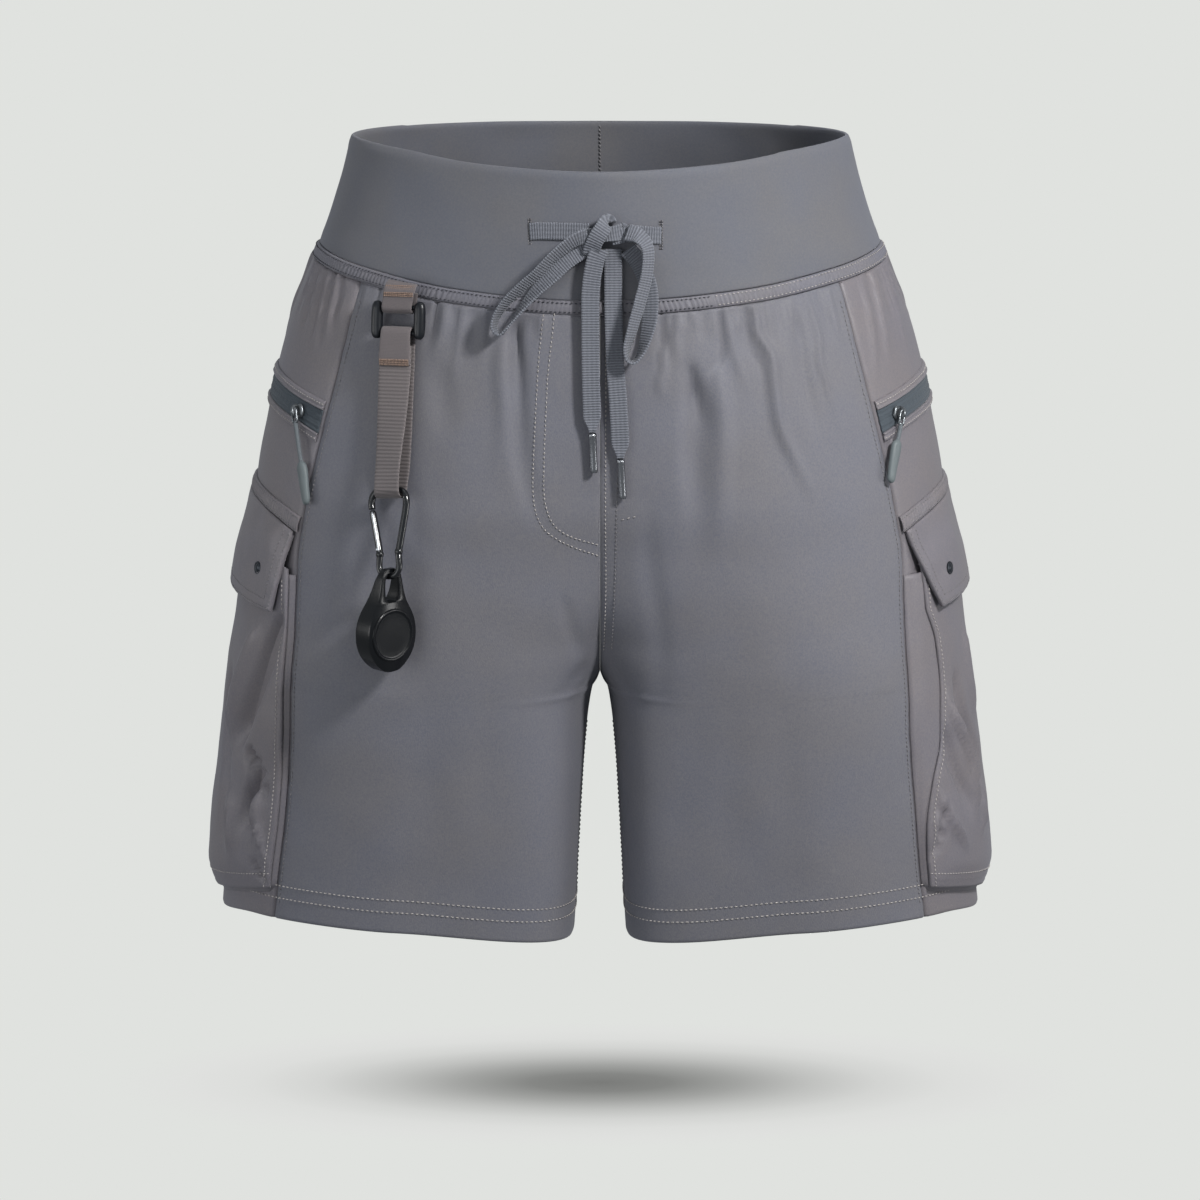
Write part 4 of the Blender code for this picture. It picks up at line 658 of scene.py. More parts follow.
class Mat:
    """A node material, built by short calls."""

    def __init__(self, name, colour, rough, metal=0.0, spec=0.5, **more):
        self.m = bpy.data.materials.new(name)
        self.m.use_nodes = True
        self.t = self.m.node_tree
        self.b = self.t.nodes["Principled BSDF"]
        self.col = colour
        self.b.inputs["Base Color"].default_value = colour
        self.b.inputs["Roughness"].default_value = rough
        self.b.inputs["Metallic"].default_value = metal
        self.b.inputs["Specular IOR Level"].default_value = spec
        for k, v in more.items():
            self.b.inputs[k.replace("_", " ")].default_value = v

    def node(self, kind, **sets):
        n = self.t.nodes.new(kind)
        for k, v in sets.items():
            if hasattr(n, k):
                setattr(n, k, v)
            else:
                n.inputs[k.replace("_", " ")].default_value = v
        return n

    def link(self, a, b):
        self.t.links.new(a, b)
        return self

    def coords(self, uv=False, scale=(1, 1, 1), turn=0.0):
        tc = self.node("ShaderNodeTexCoord")
        mp = self.node("ShaderNodeMapping")
        mp.inputs["Scale"].default_value = scale
        mp.inputs["Rotation"].default_value = (0, 0, turn)
        self.link(tc.outputs["UV" if uv else "Object"], mp.inputs["Vector"])
        return mp.outputs["Vector"]

    def noise(self, scale, vec=None, detail=2.0, rough=0.5):
        n = self.node("ShaderNodeTexNoise")
        n.inputs["Scale"].default_value = scale
        n.inputs["Detail"].default_value = detail
        n.inputs["Roughness"].default_value = rough
        self.link(vec if vec is not None else self.coords(), n.inputs["Vector"])
        return n.outputs["Fac"]

    def wave(self, scale, vec, kind="BANDS", along="X", distortion=0.0):
        n = self.node("ShaderNodeTexWave", wave_type=kind, bands_direction=along)
        n.inputs["Scale"].default_value = scale
        n.inputs["Distortion"].default_value = distortion
        self.link(vec, n.inputs["Vector"])
        return n.outputs["Fac"]

    def math(self, op, a, b=None):
        n = self.node("ShaderNodeMath", operation=op)
        for k, v in enumerate((a, b)):
            if v is None:
                continue
            if isinstance(v, (int, float)):
                n.inputs[k].default_value = v
            else:
                self.link(v, n.inputs[k])
        return n.outputs[0]

    def blend(self, fac, a, b):
        n = self.node("ShaderNodeMix", data_type="RGBA")
        self.link(fac, n.inputs["Factor"])
        for k, v in (("A", a), ("B", b)):
            s = [i for i in n.inputs if i.name == k and i.type == "RGBA"][0]
            if isinstance(v, tuple):
                s.default_value = v
            else:
                self.link(v, s)
        return [o for o in n.outputs if o.type == "RGBA"][0]

    def ramp(self, fac, lo, hi, a=0.0, b=1.0):
        n = self.node("ShaderNodeMapRange")
        n.inputs["From Min"].default_value = lo
        n.inputs["From Max"].default_value = hi
        n.inputs["To Min"].default_value = a
        n.inputs["To Max"].default_value = b
        self.link(fac, n.inputs["Value"])
        return n.outputs["Result"]

    def bump(self, height, distance, strength=1.0):
        n = self.node("ShaderNodeBump")
        n.inputs["Strength"].default_value = strength
        n.inputs["Distance"].default_value = distance
        self.link(height, n.inputs["Height"])
        old = self.b.inputs["Normal"].links
        if old:
            self.link(old[0].from_socket, n.inputs["Normal"])
        self.link(n.outputs["Normal"], self.b.inputs["Normal"])
        return self

    def colour(self, socket):
        self.link(socket, self.b.inputs["Base Color"])
        return self


def tint(c, r, g=None, b=None):
    g, b = (r, r) if g is None else (g, b)
    return (c[0] * r, c[1] * g, c[2] * b, 1.0)


def woven(name, colour, rough=0.62, warm=0.5, grain=1.0, sheen=0.12, spec=0.35):
    """Stretch-woven cloth: fine twill, a mottle of warm and cool threads."""
    m = Mat(name, colour, rough, spec=spec)
    m.b.inputs["Sheen Weight"].default_value = sheen
    m.b.inputs["Sheen Roughness"].default_value = 0.45
    m.b.inputs["Sheen Tint"].default_value = (0.9, 0.92, 1.0, 1.0)
    broad = m.ramp(m.noise(17.0, detail=3.0), 0.36, 0.64)
    cloud = m.blend(broad, tint(colour, 0.95, 0.975, 1.05), tint(colour, 1.045, 1.01, 0.965))
    speck = m.noise(900.0, detail=3.0, rough=0.7)
    fine = m.blend(m.ramp(speck, 0.32, 0.68), tint(colour, 0.74, 0.77, 0.86), tint(colour, 1.27, 1.23, 1.13))
    mid = m.node("ShaderNodeMix", data_type="RGBA")
    mid.inputs["Factor"].default_value = 0.5 * grain
    a, b = [i for i in mid.inputs if i.type == "RGBA"][:2]
    m.link(cloud, a)
    m.link(fine, b)
    m.colour([o for o in mid.outputs if o.type == "RGBA"][0])
    twill = m.coords(uv=True, scale=(1900, 620, 1), turn=math.radians(58))
    weave = m.noise(1.0, twill, detail=1.0)
    m.bump(weave, 0.00012 * grain, 0.8)
    m.bump(m.noise(1500.0, detail=2.0), 0.00006, 0.6)
    return m.m


SEWN = 0.03 * MM
GREY = srgb(108, 108, 112)
front_cloth = woven("front_cloth", srgb(106, 106, 112))
side_cloth = woven("side_cloth", srgb(110, 106, 110), rough=0.5, spec=0.5)
band_knit = woven("band_knit", srgb(98, 99, 104), rough=0.75, grain=0.7, sheen=0.2, spec=0.25)
casing_cloth = woven("casing_cloth", srgb(105, 104, 110), grain=0.8)


def thread(name, rgb):
    m = Mat(name, srgb(*rgb), 0.6, spec=0.3)
    m.colour(m.blend(m.noise(700.0), tint(srgb(*rgb), 0.75), tint(srgb(*rgb), 1.2)))
    return m.m


thread_light = thread("thread_light", (163, 158, 155))
thread_mid = thread("thread_mid", (116, 114, 116))
# painted shade: the dark thread is the pale stitching's shaded look, used where stitches lie in shade
painted_shade_thread = thread("painted_shade_thread", (62, 62, 68))
thread_tan = thread("thread_tan", (140, 118, 104))


# ------------------------------------------------------------------ body cloth
def rows_between(*spans):
    out = []
    for a, b, step in spans:
        n = max(int(round(abs(b - a) / step)), 1)
        out += list(np.linspace(a, b, n, endpoint=False))
    return np.array(out + [spans[-1][1]]) * MM


def level(zn, t, z_top, z_bottom):
    a = smooth((zn - (z_top - 90 * MM)) / (90 * MM))
    b = smooth(((z_bottom + 70 * MM) - zn) / (70 * MM))
    return zn + a * (body_top(t) - z_top) + b * (body_hem(t) - z_bottom)


def seam_dip(v, n, width=1.6, depth=0.9):
    """Panel edges turn in a little where they are sewn."""
    return -depth * MM * (1 - smooth(v / (width * MM))) - 0.0 * n


def body_panel(name, half, where, cols, rows, mat):
    sign = -1 if where == "front" else 1
    zn = rows[:, None] * np.ones(cols + 1)
    v = np.linspace(0, 1, cols + 1)
    v = v[None, :] * np.ones((len(rows), 1))
    z, t = zn.copy(), None
    for _ in range(3):
        end = lobe(z)[6]
        ts = seam_angle(z) + SEWN / 0.11
        te = np.where(end >= math.pi - 1e-6, math.pi - SEWN / 0.09, end)
        mid = np.minimum(te - math.radians(4.0), math.radians(138.0))
        t = sign * np.where(v < 0.8, ts + (mid - ts) * v / 0.8, mid + (te - mid) * (v - 0.8) / 0.2)
        z = level(zn, t, -80 * MM, HEM_Z)
    d = relief(half, t, z)
    w = round_at(t, z)
    ends = np.abs(w - w[:, :1])
    inner = np.abs(w - w[:, -1:])
    d = d + seam_dip(ends, 0) + seam_dip(inner, 0, 2.2, 0.7) * (z > FORK_Z)
    n = normal(t, z)
    hem = (z - z[-1:, :])
    roll = 0.5 * MM * (1 - smooth(hem / (1.4 * MM)))
    P = skin(t, z) + n * (d - roll)[..., None]
    P[..., 0] = np.maximum(P[..., 0], SEWN)
    P[:, -1, 0] = np.where(z[:, -1] > FORK_Z, SEWN, P[:, -1, 0])
    P[:, -1, 1] = np.minimum(P[:, -1, 1], -SEWN) if sign < 0 else np.maximum(P[:, -1, 1], SEWN)
    m = np.array([half, 1, 1])
    return shell(name, P * m, n * m, CLOTH, mat, np.stack([w * half, z], -1))


BODY_ROWS = rows_between((-80, -150, 1.7), (-150, -296, 2.6), (-296, -314, 0.9), (-314, -448, 2.8),
                         (-448, -453.5, 0.8))
BACK_ROWS = rows_between((-80, -160, 2.2), (-160, -296, 3.6), (-296, -314, 1.2), (-314, -448, 3.8),
                         (-448, -453.5, 1.1))
SIDE_ROWS = rows_between((-68, -140, 1.8), (-140, -230, 2.4), (-230, -448, 3.2), (-448, -453.5, 0.8))


def side_point(half, u, z, off=0.0, folds=True):
    """On the side panel: u from its front seam (-1) to its back seam (1)."""
    z = np.asarray(z, float)
    t = np.asarray(u, float) * (seam_angle(z) - SEWN / 0.11)
    return cloth(half, t, z, off, folds)


def side_z(zn, u):
    return level(zn, u * seam_angle(zn), SIDE_ROWS[0], HEM_Z)


def side_panel(name, half, cols=64):
    u = np.linspace(-1, 1, cols + 1)[None, :] * np.ones((len(SIDE_ROWS), 1))
    z = side_z(SIDE_ROWS[:, None] * np.ones(cols + 1), u)
    w = round_at(u * seam_angle(z), z)
    d = seam_dip(np.abs(w - w[:, :1]), 0) + seam_dip(np.abs(w - w[:, -1:]), 0)
    d = d - 0.5 * MM * (1 - smooth((z - z[-1:, :]) / (1.4 * MM)))
    P, N = side_point(half, u, z, d)
    return shell(name, P, N, CLOTH, side_cloth, np.stack([w * half, z], -1))


panels = {}
for half, who in ((-1, "right"), (1, "left")):
    panels["front_" + who] = body_panel("visual_front_" + who, half, "front", 84, BODY_ROWS, front_cloth)
    panels["back_" + who] = body_panel("visual_back_" + who, half, "back", 58, BACK_ROWS, front_cloth)
    panels["side_" + who] = side_panel("visual_side_" + who, half)


# ------------------------------------------------------------------ waistband
def ring_angles(count):
    """Columns all round: half, angle and its distance from the back seam."""
    a = np.linspace(-180, 180, count + 1)
    half = np.where(a < 0, -1.0, 1.0)
    return half, np.radians(np.abs(a) - 90.0)


def ring_points(half, t, z, off):
    te = np.clip(t, -lobe(z)[6], lobe(z)[6])
    n = normal(te, z)
    p = skin(te, z) + n * (off[..., None] if np.ndim(off) else off)
    p[..., 0] = np.where(np.abs(np.abs(te) - lobe(z)[6]) < 1e-6, 0.0, p[..., 0])
    m = np.stack([half, np.ones_like(half), np.ones_like(half)], -1)
    return p * m, n * m


def waistband():
    half, t = ring_angles(300)
    top, low = edge_line("top", t), edge_line("band", t)
    # profile: height share/distance below the fold and offset, round the top
    prof = [(1.0, None, -0.6), (0.995, None, -0.1), (0.985, None, 0.0)]
    prof += [(f, None, 0.0) for f in np.linspace(0.93, 0.14, 30)]
    prof += [(None, s, o) for s, o in ((8.0, 0.0), (6.0, 0.0), (4.4, -0.05), (3.0, -0.24), (2.0, -0.5),
                                       (1.1, -0.86), (0.45, -1.3), (0.08, -1.75), (0.0, -2.1),
                                       (0.08, -2.5), (0.5, -2.95), (1.2, -3.25), (2.4, -3.4), (4.0, -3.4))]
    prof += [(f, None, -3.2) for f in np.linspace(0.14, 0.98, 16)] + [(1.0, None, -2.6)]
    H = np.ones_like(t)
    P, N = [], []
    for share, s, off in prof:
        z = top * (1 - share) + low * share if share is not None else top - s * MM
        p3 = np.stack([np.cos(t) * half * 0.15, np.sin(t) * 0.15, z], -1)
        wav = 0.55 * MM * noise(p3, 46 * MM, 31) + 0.22 * MM * noise(p3, 17 * MM, 32)
        fall = smooth((top - z) / (10 * MM)) * smooth((z - low) / (6 * MM))
        p, n = ring_points(half, t, z, off * MM + wav * fall * H)
        P.append(p)
        N.append(n)
    P, N = np.array(P)[:, :-1], np.array(N)[:, :-1]
    idx, q = grid_faces(P.shape[0], P.shape[1], closed=True)
    m = P.shape[1]
    k = np.arange(m)
    last = (P.shape[0] - 1) * m
    q = np.concatenate([q, np.stack([k, last + k, last + (k + 1) % m, (k + 1) % m], -1)])
    V = P.reshape(-1, 3)
    a, b, c = (V[q[:m * 20, j]] for j in (0, 1, 2))
    if (np.cross(b - a, c - a) * N.reshape(-1, 3)[q[:m * 20, 0]]).sum() < 0:
        q = q[:, ::-1]
    return mesh_object("visual_waistband", V, q, band_knit)


band = waistband()


def waist_casing():
    count = 1150
    half, t = ring_angles(count)
    band_z = edge_line("band", t)
    w = np.cumsum(np.concatenate([[0], np.linalg.norm(np.diff(ring_points(half, t, band_z, 0.0)[0], axis=0), axis=1)]))
    rib = np.sin(2 * math.pi * w / (2.75 * MM) + 5 * noise(np.stack([w, 0 * w], -1), 14 * MM, 41))
    rib = rib * (0.7 + 0.4 * noise(np.stack([w, 0 * w], -1), 20 * MM, 43))
    P, N = [], []
    for s, off, amp in ((0.0, -0.3, 0.0), (0.25, 0.55, 0.1), (0.9, 0.85, 0.5), (2.0, 1.0, 1.0), (3.4, 1.15, 1.0),
                        (4.8, 1.1, 1.0), (6.0, 0.95, 0.9), (6.9, 0.75, 0.5), (7.45, 0.4, 0.2), (7.6, -0.5, 0.0)):
        z = band_z - GAP - s * MM
        p, n = ring_points(half, t, z, (off + 0.42 * amp * rib) * MM)
        P.append(p)
        N.append(n)
    P, N = np.array(P)[:, :-1], np.array(N)[:, :-1]
    uv = np.stack([np.broadcast_to(w[:-1], P.shape[:2]), P[..., 2]], -1)
    return shell("visual_casing", P, N, 1.5 * MM, casing_cloth, uv, closed=True)


casing = waist_casing()

for node, ob in panels.items():
    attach(ob, "garment")
    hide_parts(node)
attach(band, "garment")
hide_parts("waistband")
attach(casing, "garment")
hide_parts("waist_casing")


# ------------------------------------------------------------------ cargo pockets
# By height (mm): how far the face stands off the panel in the middle and at
# its border, and how far its front edge lies behind the seam on each side.
POCKET_COLS = ("z", "middle", "border", "inset_right", "inset_left")
POCKET = (
    (-236, 5.2, 5.0, 3.0, 8.0),
    (-262, 5.4, 5.0, 3.2, 14.0),
    (-285, 6.6, 5.0, 3.4, 24.0),
    (-312, 8.3, 5.0, 3.2, 28.0),
    (-340, 9.0, 5.0, 3.0, 26.0),
    (-370, 9.8, 5.0, 3.0, 14.0),
    (-400, 11.0, 5.2, 3.2, 6.0),
    (-424, 11.0, 5.2, 3.4, 4.0),
    (-434, 8.4, 5.0, 3.4, 4.0),
    (-441, 5.4, 4.8, 3.4, 4.0),
)
POCKET_BOTTOM = -444.0
pocket_table = Table(POCKET_COLS, POCKET)


def across_line(name, u):
    return lines(name, u) * MM


def pocket_z(z, u):
    k = smooth((-340.0 * MM - z) / ((-340.0 - POCKET_BOTTOM) * MM))
    return z + k * (across_line("pocket_low", u) - POCKET_BOTTOM * MM)


def pocket_edges(half, z):
    """u of the face's front and back edges at height z."""
    ts = seam_angle(z)
    inset = pocket_table("inset_right" if half < 0 else "inset_left", z / MM)
    return 1.0 - inset * MM / (0.115 * ts), 1.0 - 3.2 * MM / (0.115 * ts)


# Folds of the pocket faces: paths in (degrees from the side line, z in mm)
POCKET_FOLDS = {
    -1: (
        (-3.3, 19, 0.1, 0.7, 1.0, ((-39, -262), (-36, -290), (-31, -320), (-25, -345), (-22, -362))),
        (1.5, 16, 0.2, 0.7, 1.0, ((-30, -270), (-24, -300), (-18, -335), (-16, -360))),
        (-4.6, 13, 0.15, 0.6, 1.0, ((-30, -346), (-35, -364), (-33, -382), (-31, -404))),
        (1.3, 7, 0.2, 0.6, 1.0, ((-34, -358), (-36.5, -376), (-37, -392), (-42, -411), (-47, -420))),
        (-1.0, 5, 0.2, 0.7, 1.0, ((-36, -350), (-40, -368), (-41, -382))),
        (-1.0, 6, 0.2, 0.7, 1.0, ((-36, -412), (-41, -424), (-47, -431))),
        (-1.6, 16, 0.2, 0.6, 1.0, ((-12, -300), (-14, -340), (-18, -380), (-20, -415))),
        (1.4, 14, 0.3, 0.6, 1.0, ((-22, -372), (-24, -396), (-26, -424))),
        (-1.2, 12, 0.2, 0.6, 1.0, ((8, -280), (6, -320), (10, -370))),
        (1.2, 16, 0.2, 0.6, 1.0, ((20, -300), (22, -350), (20, -410))),
        (-1.4, 16, 0.2, 0.6, 1.0, ((34, -290), (30, -340), (36, -400))),
    ),
    1: (
        (1.7, 9.5, 0.3, 0.6, 1.2, ((-32, -306), (-28, -330), (-20.5, -358), (-19, -379), (-18, -404), (-19, -413))),
        (1.2, 9, 0.5, 0.7, 1.1, ((-9, -372), (-13, -390), (-16, -412))),
        (1.2, 9, 0.3, 0.6, 1.2, ((-40, -368), (-34, -390), (-27, -409), (-23, -415))),
        (-1.5, 5, 0.2, 0.7, 1.0, ((-36, -374), (-37.5, -392), (-42, -408), (-46.5, -416))),
        (1.0, 6, 0.2, 0.7, 1.0, ((-40, -384), (-43, -400), (-45, -410))),
        (-1.8, 15, 0.2, 0.6, 1.0, ((-24, -300), (-22, -330), (-13, -362), (-13, -392))),
        (-1.6, 13, 0.2, 0.6, 1.0, ((-34, -330), (-30, -362), (-24, -388), (-23, -404))),
        (1.0, 16, 0.2, 0.6, 1.0, ((-12, -280), (-12, -310), (-8, -350))),
        (1.3, 14, 0.2, 0.6, 1.0, ((14, -290), (12, -340), (16, -410))),
        (-1.5, 16, 0.2, 0.6, 1.0, ((26, -300), (28, -350), (24, -410))),
    ),
}


def pocket_face(half, who):
    # distance along the edge is measured down from the flap band
    b = np.concatenate([np.linspace(0, 0.93, 62), np.linspace(0.938, 1, 9)])
    zr = (-236 + b * (-441.6 + 236)) * MM
    a = np.concatenate([np.linspace(-1, -0.94, 5), np.linspace(-0.92, 0.92, 47), np.linspace(0.94, 1, 5)])
    A, Z = np.meshgrid(a, zr)
    front, back = pocket_edges(half, Z)
    u = A * np.where(A < 0, front, back)
    mid, brd = pocket_table("middle", Z / MM), pocket_table("border", Z / MM)
    e = (brd + (mid - brd) * (1 - np.abs(A) ** 2.2)) * MM
    k = smooth((Z - zr[0]) / (-40 * MM))
    zz = pocket_z(Z, u)
    zz = np.where(Z > -262 * MM, (across_line("band_low", u) - 22 * MM) * (1 - k) + zz * k, zz)
    t = u * seam_angle(zz)
    w = from_side(t, zz)
    inside = smooth((1 - np.abs(A)) / 0.10) * smooth((zz - across_line("pocket_low", u)) / (9 * MM))
    d = 1.7 * folded([round_fold(half, r)[1] for r in POCKET_FOLDS[half]], np.stack([w.ravel(), zz.ravel()], 1))
    d = d.reshape(w.shape) * (0.15 + 0.85 * inside)
    flat = np.stack([w * half, zz, np.full_like(w, 1.7)], -1)
    d = d + (0.5 * noise(flat, 24 * MM, 51) + 0.16 * noise(flat, 8 * MM, 52)) * MM * (0.4 + 0.6 * inside)
    # the stitched edge is a flat, crisp fold with a slight groove behind it
    rim = np.minimum((1 - np.abs(A)) * 60, 3.0)
    d = d - 0.30 * MM * np.exp(-((rim - 1.6) / 0.55) ** 2)
    d = d - 0.7 * MM * (1 - smooth((1 - np.abs(A)) / 0.012))
    foot = (zz - zz[-1:, :]) / MM
    d = d - 0.7 * MM * (1 - smooth(foot / 1.0)) - 0.25 * MM * np.exp(-((foot - 3.0) / 0.7) ** 2)
    P, N = side_point(half, u, zz, e + d)
    ob = shell("visual_pocket_face_" + who, P, N, 1.2 * MM, side_cloth, np.stack([w * half, zz], -1))
    stitch = {}
    col = 3
    stitch["front"] = (P[6:, col], N[6:, col])
    stitch["foot"] = (P[-7, :], N[-7, :])
    stitch["back"] = (P[6:, -1 - col], N[6:, -1 - col])
    return ob, stitch


def pocket_gusset(half, who):
    """Bellows strip: down the front edge, along the bottom and up the back."""
    zr = np.linspace(-243, -440, 66) * MM
    f, b = pocket_edges(half, zr)
    ts = seam_angle(zr)
    one = 1 * MM / (0.115 * ts)
    rows = [(-(b + 2.6 * one)[i], -(f - 3.0 * one[i])[i] if False else -(f[i] - 3.0 * one[i]), zr[i], zr[i])
            for i in range(len(zr))]
    zb, zt = (POCKET_BOTTOM - 0.6) * MM, (POCKET_BOTTOM + 5.5) * MM
    for u in np.linspace(-0.93, 0.93, 34):
        rows.append((u, u, zb, zt))
    fb, bb = b, b
    rows += [(bb[i] + 2.6 * one[i], bb[i] - 3.0 * one[i], zr[i], zr[i]) for i in range(len(zr) - 1, -1, -1)]
    rows = np.array(rows)
    k = np.linspace(0, 1, 9)[None, :]
    u = rows[:, :1] + (rows[:, 1:2] - rows[:, :1]) * k
    z = rows[:, 2:3] + (rows[:, 3:4] - rows[:, 2:3]) * k
    brd = pocket_table("border", z / MM)
    zz = pocket_z(z, np.clip(u, -1, 1))
    rise = np.where(k < 0.5, 0.25 + 2.1 * smooth(k / 0.5), 2.35 + (brd - 1.5 - 2.35) * smooth((k - 0.5) / 0.5))
    P, N = side_point(half, u, zz, rise * MM)
    w = from_side(u * seam_angle(zz), zz)
    return shell("visual_pocket_gusset_" + who, P, N, 1.0 * MM, side_cloth, np.stack([w * half, zz], -1))


# ------------------------------------------------------------------ flaps
FLAP_COLS = ("share", "proud")
FLAP = ((0.0, 3.1), (0.25, 5.3), (0.45, 7.3), (0.72, 9.6), (1.0, 10.8))
flap_table = Table(FLAP_COLS, FLAP)
FLAP_TAPER = {-1: 0.10, 1: 0.24}   # how far the front end leans back, by side
# soft dents and ridges of the flaps: share across (-1 front), share down,
# size (mm) and height (mm), on each side
FLAP_DENTS = {
    -1: ((-0.78, 0.30, 9, 0.9), (-0.5, 0.18, 8, -0.7), (-0.2, 0.55, 12, 0.8), (-0.62, 0.62, 8, -0.8),
         (0.3, 0.3, 14, 0.8), (0.7, 0.6, 12, -0.7)),
    1: ((-0.8, 0.25, 9, -0.8), (-0.45, 0.4, 10, 0.9), (-0.7, 0.66, 8, -0.7), (-0.1, 0.3, 12, -0.6),
        (0.3, 0.5, 14, 0.8), (0.7, 0.4, 12, -0.7)),
}


def flap_off(half, u, k):
    return flap_table("proud", k) - 1.0 * k * u ** 4


def flap_shape(half, u, k):
    top = across_line("band_low", u) - GAP
    return top * (1 - k) + across_line("flap_low", u) * k


def pocket_flap(half, who):
    u = np.concatenate([np.linspace(-0.955, -0.915, 4), np.linspace(-0.9, 0.9, 56), np.linspace(0.915, 0.955, 4)])
    k = np.concatenate([np.linspace(0, 0.93, 34), np.linspace(0.945, 1, 6)])
    share, K = np.meshgrid(u, k)
    U = share * (1 - np.where(share < 0, FLAP_TAPER[half] * K ** 1.5, 0.06 * K) / 0.955)
    z = flap_shape(half, U, K)
    e = flap_off(half, U, K)
    w = from_side(U * seam_angle(z), z)
    for du, dk, size, h in FLAP_DENTS[half]:
        r2 = ((U - du) * 75) ** 2 + ((K - dk) * 52) ** 2
        e = e + 1.5 * h * np.exp(-r2 / size ** 2)
    flat = np.stack([w * half, z, np.full_like(w, 3.1)], -1)
    e = e + 0.3 * noise(flat, 13 * MM, 61) + 0.1 * noise(flat, 5 * MM, 62)
    side = (1 - np.abs(share) / 0.955) * 75
    foot = (1 - K) * 52
    near = np.minimum(side, foot)
    e = e - 0.28 * np.exp(-((near - 1.6) / 0.6) ** 2) - 0.22 * np.exp(-((near - 6.4) / 0.6) ** 2)
    e = e - 0.75 * (1 - smooth(near / 0.9))
    pucker = noise(np.stack([w * half + z, 0 * z], -1), 3.4 * MM, 64)
    e = e + 0.16 * pucker * np.exp(-near / 6.0)
    P, N = side_point(half, U, z, e * MM, folds=False)
    P2, _ = side_point(half, U, z, e * MM)
    P = P + (P2 - P) * 0.6
    ob = shell("visual_pocket_flap_" + who, P, N, 1.9 * MM, side_cloth, np.stack([w * half, z], -1))
    lines_ = []
    for inset in (1.6, 6.4):
        uu = 0.955 - inset / 75 * 0.955
        kk = 1 - inset / 52
        path = [(-uu, a) for a in np.linspace(0.03, kk, 20)] + [(a, kk) for a in np.linspace(-uu, uu, 30)] \
            + [(uu, a) for a in np.linspace(kk, 0.03, 20)]
        iu = np.interp([p[0] for p in path], u, np.arange(len(u)))
        ik = np.interp([p[1] for p in path], k, np.arange(len(k)))
        pts, nn = sample(P, ik, iu), sample(N, ik, iu)
        lines_.append((pts, nn))
    return ob, lines_, (P, N, u, k)


def sample(G, i, j):
    """Bilinear read of a point grid at fractional rows i and columns j."""
    i, j = np.asarray(i, float), np.asarray(j, float)
    i0 = np.clip(i.astype(int), 0, G.shape[0] - 2)
    j0 = np.clip(j.astype(int), 0, G.shape[1] - 2)
    fi, fj = (i - i0)[..., None], (j - j0)[..., None]
    return ((G[i0, j0] * (1 - fj) + G[i0, j0 + 1] * fj) * (1 - fi)
            + (G[i0 + 1, j0] * (1 - fj) + G[i0 + 1, j0 + 1] * fj) * fi)


def flap_band(half, who):
    u = np.linspace(-0.985, 0.985, 260)
    k = np.array([0, 0.04, 0.14, 0.3, 0.5, 0.7, 0.86, 0.96, 1.0])
    U, K = np.meshgrid(u, k)
    z = across_line("band_top", U) * (1 - K) + across_line("band_low", U) * K
    w = from_side(U * seam_angle(z), z)
    rib = np.sin(2 * math.pi * w / (2.5 * MM) + 4 * noise(np.stack([w, 0 * w], -1), 12 * MM, 71))
    puff = np.sin(math.pi * np.clip(K, 0, 1)) ** 0.5
    e = 1.5 + 0.8 * K + 0.35 * rib * puff + 0.5 * puff
    e = e - 0.8 * (K < 0.02) - 0.8 * (K > 0.98)
    e = e - 0.3 * np.exp(-((K - 0.14) / 0.07) ** 2) - 0.3 * np.exp(-((K - 0.86) / 0.07) ** 2)
    P, N = side_point(half, U, z, e * MM)
    ob = shell("visual_flap_band_" + who, P, N, 1.2 * MM, side_cloth, np.stack([w * half, z], -1))
    rows = [(sample(P, np.full(len(u), i), np.arange(len(u))), N[2]) for i in (2.0, 6.0)]
    return ob, rows


# Press studs: share across and height (mm), as they lie on the flaps
SNAPS = {-1: (-0.70, -243.5), 1: (-0.66, -245.5)}


def press_stud(half, who, shape):
    P, N, u, k = shape
    su, sz = SNAPS[half]
    top, low = across_line("band_low", su), across_line("flap_low", su)
    kk = (top - sz * MM) / (top - low)
    i, j = np.interp(kk, k, np.arange(len(k))), np.interp(su, u, np.arange(len(u)))
    c, n = sample(P, i, j), sample(N, i, j)
    n = n / np.linalg.norm(n)
    e1 = np.cross(n, [0, 0, 1])
    e1 /= np.linalg.norm(e1)
    e2 = np.cross(n, e1)
    prof = ((3.9, -0.3), (3.9, 0.25), (3.6, 0.55), (3.1, 0.62), (2.75, 0.4), (2.5, 0.34), (2.3, 0.55),
            (1.6, 0.95), (0.8, 1.12), (0.02, 1.16))
    v, m = [], 28
    for r, h in prof:
        for q in range(m):
            a = 2 * math.pi * q / m
            v.append(c + e1 * (r * MM * math.cos(a)) + e2 * (r * MM * math.sin(a)) + n * (h * MM))
    f = [tuple(range(m))]
    for i2 in range(len(prof) - 1):
        for q in range(m):
            q2 = (q + 1) % m
            f.append((i2 * m + q2, i2 * m + q, (i2 + 1) * m + q, (i2 + 1) * m + q2))
    f.append(tuple(range((len(prof) - 1) * m + m - 1, (len(prof) - 1) * m - 1, -1)))
    return mesh_object("visual_snap_" + who, v, f, snap_metal)


# ------------------------------------------------------------------ side zips
def lying_strip(name, half, us, top, low, ks, off, thick, mat, folds=True):
    U, K = np.meshgrid(us, ks)
    z = top(U) * (1 - K) + low(U) * K
    w = from_side(U * seam_angle(z), z)
    P, N = side_point(half, U, z, off(U, K, w) * MM, folds)
    ob = shell(name, P, N, thick * MM, mat, np.stack([w * half, (K - 0.5) * 0.012], -1))
    return ob, P, N


